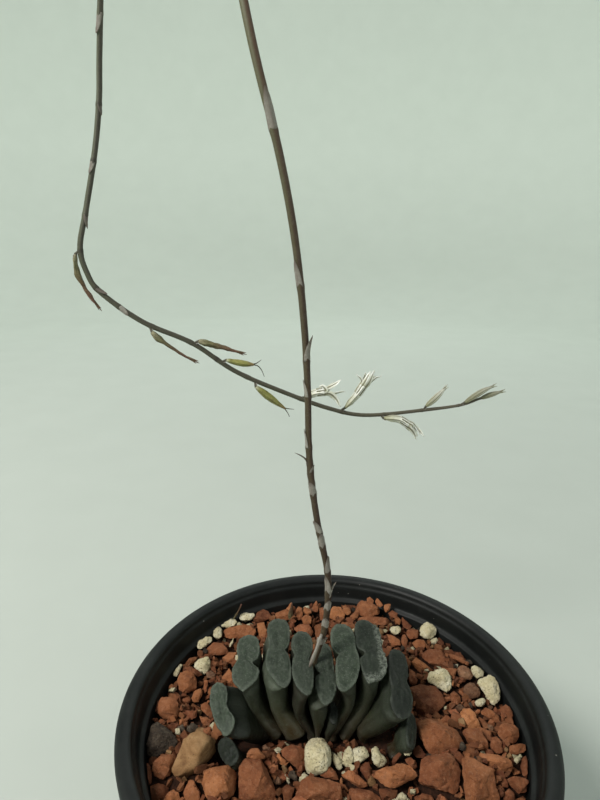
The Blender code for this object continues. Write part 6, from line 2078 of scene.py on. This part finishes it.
def bract_shape(bag, u0, length, side, clasp, off, dark, lift=0.05):
    """Papery scale that clasps the stem from u0 upwards and ends in a thin point."""
    n, m = 14, 11
    rows, norms, dat = [], [], []
    u_len = length / 599.0
    p0, t0, n0, b0 = stem_at(u0)
    want = np.array([side, -math.sqrt(max(0.0, 1.0 - side * side)), 0.0])
    for k in range(n):
        s = k / (n - 1)
        p, t, nn, bb = stem_at(u0 + u_len * s)
        w = want - t * want.dot(t)
        w /= np.linalg.norm(w)
        x = np.cross(t, w)
        half = math.radians(clasp) * (1.0 - s ** 1.5) ** 0.8 + 0.03
        r = stem_r(u0 + u_len * s) + lift + off * s ** 2.2
        base = math.radians(clasp)
        row, nor = [], []
        for i in range(m):
            q = -1.0 + 2.0 * i / (m - 1)
            a = q * half
            rr = r + 0.05 * n3(s * 5.0, q * 3.0, u0 * 90.0) + 0.10 * abs(q) ** 3 * (1 - s)
            # the free tip flattens: its sides swing out less than its middle
            d = w * math.cos(a) + x * math.sin(a)
            c = p + w * (off * s ** 2.2) * (1.0 if off > 0.6 else 0.4)
            row.append(c + d * (rr - off * s ** 2.2 * (1.0 if off > 0.6 else 0.4)))
            nor.append(d)
            dat.append((s, abs(q), dark, 0.0))
        rows.append(row)
        norms.append(nor)
    v, f = shell(rows, 0.07, norms)
    bag.add(v, f, dat + dat)


def strip_shape(bag, path, widths, curl, up, thick, extra=0.0, cross=7):
    """Thin leaf-like strip along a path, hollowed towards up by curl."""
    pts = smooth_route(path, len(widths))
    tan, nn, bb = frames_along(pts, up)
    rows, norms, dat = [], [], []
    for k in range(len(widths)):
        s = k / (len(widths) - 1)
        row, nor = [], []
        cu = curl[k] if hasattr(curl, "__len__") else curl
        for i in range(cross):
            q = -1.0 + 2.0 * i / (cross - 1)
            a = q * cu
            if abs(cu) > 1e-3:
                rad = widths[k] / abs(cu)
                off = bb[k] * (math.sin(a) * rad * (1 if cu > 0 else -1)) + nn[k] * ((math.cos(a) - 1.0) * rad)
            else:
                off = bb[k] * (q * widths[k])
            row.append(pts[k] + off)
            nor.append(nn[k])
            dat.append((s, abs(q), extra, 0.0))
        rows.append(row)
        norms.append(nor)
    v, f = shell(rows, thick, norms)
    bag.add(v, f, dat + dat)


def tube_shape(bag, pts, radii, around=12, ribs=0, rib_depth=0.0, extra=0.0, squash=1.0, seed=0.0, rough=0.0,
               up=(0.0, -1.0, 0.0)):
    """Round or ribbed body along a path with rounded ends."""
    pts = np.asarray(pts, float)
    tan, nn, bb = frames_along(pts, up)
    verts, dat = [], []
    n = len(pts)
    for k in range(n):
        s = k / (n - 1)
        for i in range(around):
            a = math.tau * i / around
            r = radii[k] * (1.0 + rib_depth * math.cos(ribs * a))
            if rough:
                r *= 1.0 + rough * n3(s * 9.0 + seed, math.cos(a) * 1.5, math.sin(a) * 1.5)
            d = nn[k] * math.cos(a) + bb[k] * (math.sin(a) * squash)
            verts.append(pts[k] + d * r)
            edge = abs(math.sin(ribs * a * 0.5)) if ribs else 0.5
            dat.append((s, edge, extra, 0.0))
    faces = []
    for k in range(n - 1):
        for i in range(around):
            j = (i + 1) % around
            faces.append((k * around + i, k * around + j, (k + 1) * around + j, (k + 1) * around + i))
    for end in (0, n - 1):
        c = len(verts)
        verts.append(pts[end] + tan[end] * radii[end] * (0.5 if end else -0.5))
        dat.append((end / (n - 1), 0.5, extra, 0.0))
        for i in range(around):
            j = (i + 1) % around
            faces.append((c, end * around + j, end * around + i) if end == 0 else
                         (c, end * around + i, end * around + j))
    bag.add(verts, faces, dat)


def up_z(pts):
    return [(p[0], p[1], p[2] + RP) for p in pts]


def foot_of_flower(bag_b, bag_s, start, side=(0, -1, 0)):
    """Pedicel from the stem to a flower's base, and the small bract at its foot, a little darker than the stem's other
    bracts.
    """
    start = np.array(start, float)
    k = int(np.argmin(np.linalg.norm(STEM - start, axis=1)))
    root = STEM[k]
    t = S_T[k]
    d = start - root
    d /= max(1e-6, np.linalg.norm(d))
    foot = root - t * 1.1 + d * (stem_r(k / (STEM_N - 1)) * 0.5)
    mid = 0.5 * (foot + start) + d * 0.15
    tube_shape(bag_s, smooth_route([foot, mid, start + (start - mid) * 0.15], 8), [0.46, 0.46, 0.45, 0.44, 0.45, 0.50, 0.56, 0.56],
               10, extra=0.0, seed=start[0])
    tip = start + t * 1.2 + d * 0.9
    path = [root - t * 2.0 + d * 0.35, root - t * 0.6 + d * 0.75, start + t * 0.2 + d * 0.75, tip]
    strip_shape(bag_b, path, [0.5, 0.62, 0.66, 0.62, 0.52, 0.38, 0.22, 0.06], 1.0, tuple(d), 0.09, extra=0.15)


def build_flowers(mats):
    bracts, stalks = Bag(), Bag()
    for b in BRACTS:
        bract_shape(bracts, *b)
    # dry bract that has come away from the foot of the stem and lies on the leaf beside it,
    # and the curled ring that is left of another
    strip_shape(bracts, up_z([(-4.6, 0.9, 23.6), (-5.3, -0.4, 22.3), (-6.3, -1.5, 19.6), (-7.3, -2.3, 16.9), (-8.0, -2.9, 15.2)]),
                [0.45, 0.58, 0.60, 0.54, 0.50, 0.56, 0.66, 0.70, 0.62, 0.35], 0.9, (0.2, -1.0, 0.3), 0.14, extra=0.0)
    bract_shape(bracts, stem_share(641), 2.8, 0.3, 160, 0.60, 0.0, lift=0.28)

    # withered flowers
    spent = {
        "spent_flower_1": ([(-92.9, 73.4, 124.6), (-93.2, 73.2, 120.6), (-91.9, 73.0, 115.6), (-88.6, 72.8, 109.6),
                            (-87.1, 73.0, 107.2)], [0.40, 0.62, 0.55, 0.70, 0.85, 0.78, 0.62, 0.50, 0.55, 0.62, 0.45, 0.25]),
        "spent_flower_2": ([(-67.6, 74.6, 96.8), (-65.1, 74.8, 94.1), (-60.8, 75.3, 90.8), (-56.9, 75.7, 88.0),
                            (-53.6, 76.0, 86.2)], [0.55, 0.85, 0.95, 0.80, 0.60, 0.50, 0.46, 0.44, 0.40, 0.36, 0.30, 0.18]),
        "spent_flower_3": ([(-50.8, 77.4, 93.0), (-46.8, 78.0, 91.9), (-41.2, 78.6, 90.2), (-35.9, 79.2, 88.6)],
                           [0.60, 1.00, 1.08, 1.02, 0.90, 0.82, 0.76, 0.70, 0.62, 0.50, 0.38, 0.22]),
    }
    for name, (path, radii) in spent.items():
        bag = Bag()
        pts = smooth_route(up_z(path), 26)
        rr = np.interp(np.linspace(0, 1, 26), np.linspace(0, 1, len(radii)), radii)
        tube_shape(bag, pts, rr * 1.40, 18, ribs=6, rib_depth=0.16, squash=0.78, seed=pts[0][0], rough=0.35)
        # dried tips that come apart at the end
        end, t = pts[-1], pts[-1] - pts[-4]
        t /= np.linalg.norm(t)
        for j, (sx, sz) in enumerate(((0.9, 0.7), (-0.3, -0.9), (0.5, -0.3))):
            side = np.array([0.35 * sx, -0.2 + 0.2 * j, 0.8 * sz])
            ln = (2.6, 2.0, 3.0)[j]
            path2 = [end - t * 2.2, end - t * 0.4 + side * 0.25, end + t * ln * 0.6 + side * 0.7, end + t * ln + side * 1.0]
            strip_shape(bag, path2, [0.40, 0.46, 0.40, 0.32, 0.22, 0.08], 0.8, (0, -1, 0.2), 0.10)
        bag.done(name + "_dry", mats["spent"], "spent_flower", [name])
        foot_of_flower(bracts, stalks, up_z(path)[0])

    # seed pods
    pods = {
        "seed_pod_1": ([(-40.6, 78.2, 85.6), (-37.9, 78.4, 84.9), (-33.3, 79.0, 84.0), (-30.2, 79.6, 83.6)],
                       [0.55, 0.82, 0.95, 1.02, 1.10, 1.18, 1.22, 1.24, 1.20, 1.10, 0.92, 0.66, 0.40],
                       [[(-30.6, 79.5, 83.7), (-28.6, 79.9, 83.0), (-27.2, 80.2, 81.2), (-26.2, 80.4, 78.6)],
                        [(-30.6, 79.5, 83.8), (-29.2, 79.8, 84.2), (-27.4, 80.2, 85.4)]]),
        "seed_pod_2": ([(-29.4, 78.6, 75.0), (-26.0, 79.0, 72.0), (-21.6, 79.6, 68.4), (-17.8, 80.1, 65.6)],
                       [0.60, 0.92, 1.12, 1.30, 1.42, 1.46, 1.42, 1.32, 1.16, 0.98, 0.78, 0.56, 0.36],
                       [[(-18.2, 80.0, 66.0), (-16.6, 80.3, 65.6), (-14.4, 80.6, 65.3)],
                        [(-18.2, 80.0, 65.8), (-17.0, 80.2, 64.0), (-16.2, 80.4, 62.2)]]),
    }
    for name, (path, radii, styles) in pods.items():
        bag = Bag()
        pts = smooth_route(up_z(path), 30)
        rr = np.interp(np.linspace(0, 1, 30), np.linspace(0, 1, len(radii)), radii)
        tube_shape(bag, pts, rr, 30, ribs=3, rib_depth=0.10, seed=pts[0][0], rough=0.05)
        for st in styles:
            sp = smooth_route(up_z(st), 14)
            tube_shape(bag, sp, np.linspace(0.24, 0.09, 14), 8, extra=0.9, seed=1.0)
        t = pts[6] - pts[0]
        t /= np.linalg.norm(t)
        bag.done(name + "_ribbed", mats["pod"], "seed_pod", [name])
        foot_of_flower(bracts, stalks, up_z(path)[0])

    # open flowers: six petals share a tube, then part
    flowers = {
        "open_flower_1": ([(-10.4, 81.9, 69.9), (-8.1, 82.1, 71.0), (-5.4, 82.3, 71.9), (-2.6, 82.4, 72.3)], 1.35, 1.60, 1.12,
                          [(-4.6, 81.4, 75.0, 1.8, 0), (4.2, 83.2, 77.2, 0.4, 0), (6.0, 82.8, 72.5, 0.3, 0),
                           (4.4, 81.4, 66.6, -0.4, 0), (2.2, 84.4, 75.9, 0.8, 0), (1.2, 83.9, 69.2, -0.5, 0)]),
        "open_flower_2": ([(6.3, 84.6, 65.0), (8.2, 85.0, 67.2), (10.9, 85.4, 70.4), (13.3, 85.8, 74.0)], 1.25, 1.60, 1.08,
                          [(10.3, 85.2, 79.0, -0.6, 0), (15.9, 85.6, 80.2, 0.4, 0), (17.7, 86.0, 80.7, 0.4, 0),
                           (20.6, 85.8, 78.6, 0.5, 0), (14.2, 87.0, 79.4, -0.3, 0), (18.2, 86.8, 78.0, 0.4, 0)]),
        "open_flower_3": ([(22.4, 85.9, 60.3), (25.5, 86.2, 60.3), (29.2, 86.6, 59.6), (32.6, 87.0, 57.4)], 1.40, 1.55, 1.02,
                          [(36.8, 87.0, 50.8, 0.2, 0), (35.6, 87.6, 52.6, 0.1, 0), (40.1, 87.4, 52.2, 0.4, 0),
                           (38.2, 86.6, 53.2, 0.3, 0), (37.4, 88.0, 52.0, 0.2, 0), (34.6, 86.8, 53.6, 0.0, 0)]),
    }
    for name, (tube, r0, r1, wide, tips) in flowers.items():
        bag = Bag()
        tube = up_z(tube)
        base = smooth_route(tube, 24)
        tan, nn, bb = frames_along(base)
        rr = [0.55 + (r0 - 0.55) * smoothstep(k / 7.0) + (r1 - r0) * smoothstep((k - 6) / 14.0) for k in range(24)]
        tube_shape(bag, base, rr, 36, ribs=6, rib_depth=0.10, seed=base[0][0], rough=0.05)
        order = sorted(range(6), key=lambda j: math.atan2(
            *(lambda v: (v.dot(bb[-1]), v.dot(nn[-1])))(np.array(tips[j][:3]) + np.array([0, 0, RP]) - base[-1])))
        to_eye = CAM_AT + np.array([0.0, 0.0, RP]) - base[-1]
        to_eye /= np.linalg.norm(to_eye)
        for slot_no, j in enumerate(order):
            a = math.tau * slot_no / 6.0 - math.pi + math.pi / 6
            tip = np.array(tips[j][:3]) + np.array([0, 0, RP])
            path = []
            for k in (15, 19, 23):
                path.append(base[k] + (nn[k] * math.cos(a) + bb[k] * math.sin(a)) * (rr[k] * 0.92))
            out_d = nn[-1] * math.cos(a) + bb[-1] * math.sin(a)
            m0 = path[-1]
            reach = np.linalg.norm(tip - m0)
            path.append(m0 + tan[-1] * reach * 0.28 + out_d * 0.20)
            path.append(0.5 * (m0 + tip) + tan[-1] * reach * 0.20 + np.array([0, 0, 0.35 * tips[j][3]]))
            path.append(tip - (tip - m0) * 0.12)
            path.append(tip)
            n = 22
            w = []
            for k in range(n):
                s = k / (n - 1)
                v = wide * (0.72 + 0.28 * math.sin(math.pi * min(1.0, s / 0.8)))
                v *= max(0.16, 1.0 - smoothstep((s - 0.80) / 0.22) * 0.84)
                w.append(v)
            curl = [0.75 - 0.40 * smoothstep((k / (n - 1) - 0.35) / 0.3) for k in range(n)]
            face_to = out_d * 0.75 + to_eye * (0.55 if out_d.dot(to_eye) > -0.3 else -0.55)
            strip_shape(bag, path, w, curl, tuple(face_to / np.linalg.norm(face_to)), 0.11, extra=0.0, cross=9)
        bag.done(name + "_petals", mats["petal"], "petal", [name])
        foot_of_flower(bracts, stalks, tube[0])

    # buds: six closed petals, slightly twisted at the tip
    buds = {
        "flower_bud_1": ([(40.2, 89.6, 64.6), (43.2, 89.9, 67.4), (45.6, 90.5, 69.8), (47.6, 90.9, 72.0)], 1.25, 0.55),
        "flower_bud_2": ([(56.8, 92.3, 65.6), (60.9, 92.9, 68.4), (65.0, 93.7, 70.8), (68.4, 94.3, 72.2)], 1.18, 0.75),
        "flower_bud_3": ([(63.8, 94.1, 67.0), (67.4, 94.8, 68.2), (70.2, 95.2, 69.0), (72.8, 95.6, 69.6)], 1.05, 0.90),
    }
    for name, (path, wide, ex) in buds.items():
        bag = Bag()
        pts = smooth_route(up_z(path), 28)
        prof = [0.42, 0.72, 0.86, 0.95, 1.0, 1.0, 0.96, 0.86, 0.70, 0.46, 0.20]
        rr = wide * np.interp(np.linspace(0, 1, 28), np.linspace(0, 1, len(prof)), prof)
        tube_shape(bag, pts, rr, 30, ribs=6, rib_depth=-0.10, extra=ex, seed=pts[0][0], rough=0.04)
        end, t = pts[-1], pts[-1] - pts[-5]
        t /= np.linalg.norm(t)
        for j in range(3):
            side = np.array([(-0.5, 0.1, 0.45)[j], -0.15, (0.45, 0.65, -0.2)[j]])
            p2 = [end - t * 2.6 + side * 0.3, end - t * 0.8 + side * 0.55, end + t * 0.6 + side * 0.9, end + t * 1.3 + side * 1.5]
            strip_shape(bag, p2, [0.44, 0.46, 0.40, 0.30, 0.20, 0.08], 0.7, (0, -1, 0.3), 0.09, extra=ex)
        bag.done(name + "_closed", mats["petal"], "bud", [name])
        foot_of_flower(bracts, stalks, up_z(path)[0])

    bracts.done("stem_bracts", mats["bract"], "bract", ["bract_1", "bract_2", "bract_3"])
    st = stalks
    me = outward(mesh_mm("flower_stalks", st.V, st.F))
    d = np.array(st.D)
    # the stalks take a middle value of the stem's painted side shade
    put(me, "along", np.stack([np.full(len(d), 0.86), np.full(len(d), 0.6), np.zeros(len(d)), np.zeros(len(d))], axis=1))
    new_piece("flower_stalks", me, mats["stem"], "flower_stem")


def build_litter(mat):
    """A dry twig and a withered leaf tip that stand in the gravel behind the leaves."""
    bag = Bag()
    off = np.array([0.0, 0.0, RP])
    a = seen(233.5, 619, -6.0)
    b = seen_in_plane(241.5, 604.5, a[1] - 1.0)
    mid = 0.5 * (a + b) + np.array([0.3, 0.0, 0.2])
    a = a - (b - a) * 0.25
    tube_shape(bag, smooth_route([a + off, mid + off, b + off], 16), np.linspace(0.42, 0.26, 16), 10, seed=4.0, rough=0.25)
    c = seen(290.0, 619, -5.5)
    d = seen_in_plane(291.8, 602.5, c[1] - 0.6)
    c = c - (d - c) * 0.2
    strip_shape(bag, [c + off, 0.6 * c + 0.4 * d + off, 0.25 * c + 0.75 * d + off + np.array([0.2, 0, 0]), d + off],
                [0.55, 0.80, 0.95, 0.95, 0.85, 0.66, 0.42, 0.12], 0.9, (0, -1, 0.2), 0.16)
    bag.done("dry_litter", mat, "bract")


# ================================================================ light, floor and camera
def build_stage():
    """Pale round floor that curves up far behind, the same from every side."""
    prof = []
    for k in range(12):
        prof.append((1.15 * k / 11.0, 0.0))
    for k in range(1, 15):
        a = 0.5 * math.pi * k / 14.0
        prof.append((1.15 + 0.55 * math.sin(a), 0.55 * (1.0 - math.cos(a))))
    prof.append((1.70, 1.5))
    seg = 96
    verts, faces = [], []
    for r, z in prof:
        for k in range(seg):
            a = math.tau * k / seg
            verts.append((r * math.cos(a), r * math.sin(a), z))
    for j in range(len(prof) - 1):
        for k in range(seg):
            k2 = (k + 1) % seg
            faces.append((j * seg + k, j * seg + k2, (j + 1) * seg + k2, (j + 1) * seg + k))
    me = bpy.data.meshes.new("pale_stage")
    me.from_pydata(verts, [], faces)
    me.shade_smooth()
    me.materials.append(mat_stage())
    ob = bpy.data.objects.new("pale_stage", me)
    bpy.context.scene.collection.objects.link(ob)


def area(name, at, to, size, power, colour):
    li = bpy.data.lights.new(name, "AREA")
    li.shape = "DISK"
    li.size = size
    li.energy = power
    li.color = colour
    ob = bpy.data.objects.new(name, li)
    ob.location = at
    ob.rotation_euler = (Vector(to) - Vector(at)).to_track_quat("-Z", "Y").to_euler()
    bpy.context.scene.collection.objects.link(ob)
    return ob


def build_light():
    w = bpy.data.worlds.new("soft_room")
    w.use_nodes = True
    bg = w.node_tree.nodes["Background"]
    bg.inputs[0].default_value = (0.90, 0.96, 0.93, 1.0)
    bg.inputs[1].default_value = 0.44
    bpy.context.scene.world = w
    area("window_key", (-0.62, -0.42, 0.95), (-0.01, 0.02, 0.09), 0.34, 13.0, (1.0, 0.975, 0.93))
    area("room_fill", (0.85, -0.65, 0.55), (0.0, 0.0, 0.08), 0.8, 1.7, (0.93, 0.97, 1.0))
    area("back_fill", (0.1, 0.95, 0.8), (0.0, 0.0, 0.1), 0.8, 2.0, (0.95, 1.0, 0.97))


def build_camera():
    cam = bpy.data.cameras.new("photo_camera")
    cam.lens, cam.sensor_width, cam.clip_start, cam.clip_end = 26.0, 36.0, 0.005, 20.0
    ob = bpy.data.objects.new("photo_camera", cam)
    bpy.context.scene.collection.objects.link(ob)
    fwd, r2, u2 = (Vector(tuple(v)) for v in camera_axes())
    m = Matrix((r2, u2, -fwd)).transposed().to_4x4()
    m.translation = Vector((CAM_AT[0], CAM_AT[1], CAM_AT[2] + RP)) * MM
    ob.matrix_world = m
    bpy.context.scene.camera = ob


def main():
    mats = {"plastic": mat_plastic(), "mix": mat_mix(), "brick": mat_brick(), "pumice": mat_pumice(),
            "tan": mat_tan(), "lava": mat_lava(), "bed": mat_bed(), "leaf": mat_leaf(), "stem": mat_stem(),
            "bract": mat_bract(), "spent": mat_spent(), "pod": mat_pod(), "petal": mat_petal()}
    build_pot(mats["plastic"])
    build_mix(mats["mix"])
    V, F, n = [], [], 0
    for k, row in enumerate(LEAVES):
        v, f = build_leaf(row, mats["leaf"], 3.1 + 2.7 * k)
        V.append(v)
        F += [tuple(i + n for i in q) for q in f]
        n += len(v)
    build_stem_base(mats["mix"])
    base = build_gravel(mats, (np.vstack(V), F))
    build_bed(mats["bed"], base)
    build_stem(mats["stem"])
    build_flowers(mats)
    build_litter(mats["spent"])
    build_stage()
    build_light()
    build_camera()
    sc = bpy.context.scene
    sc.view_settings.view_transform = "Standard"
    sc.view_settings.look = "None"
    sc.view_settings.exposure = 0.0


main()
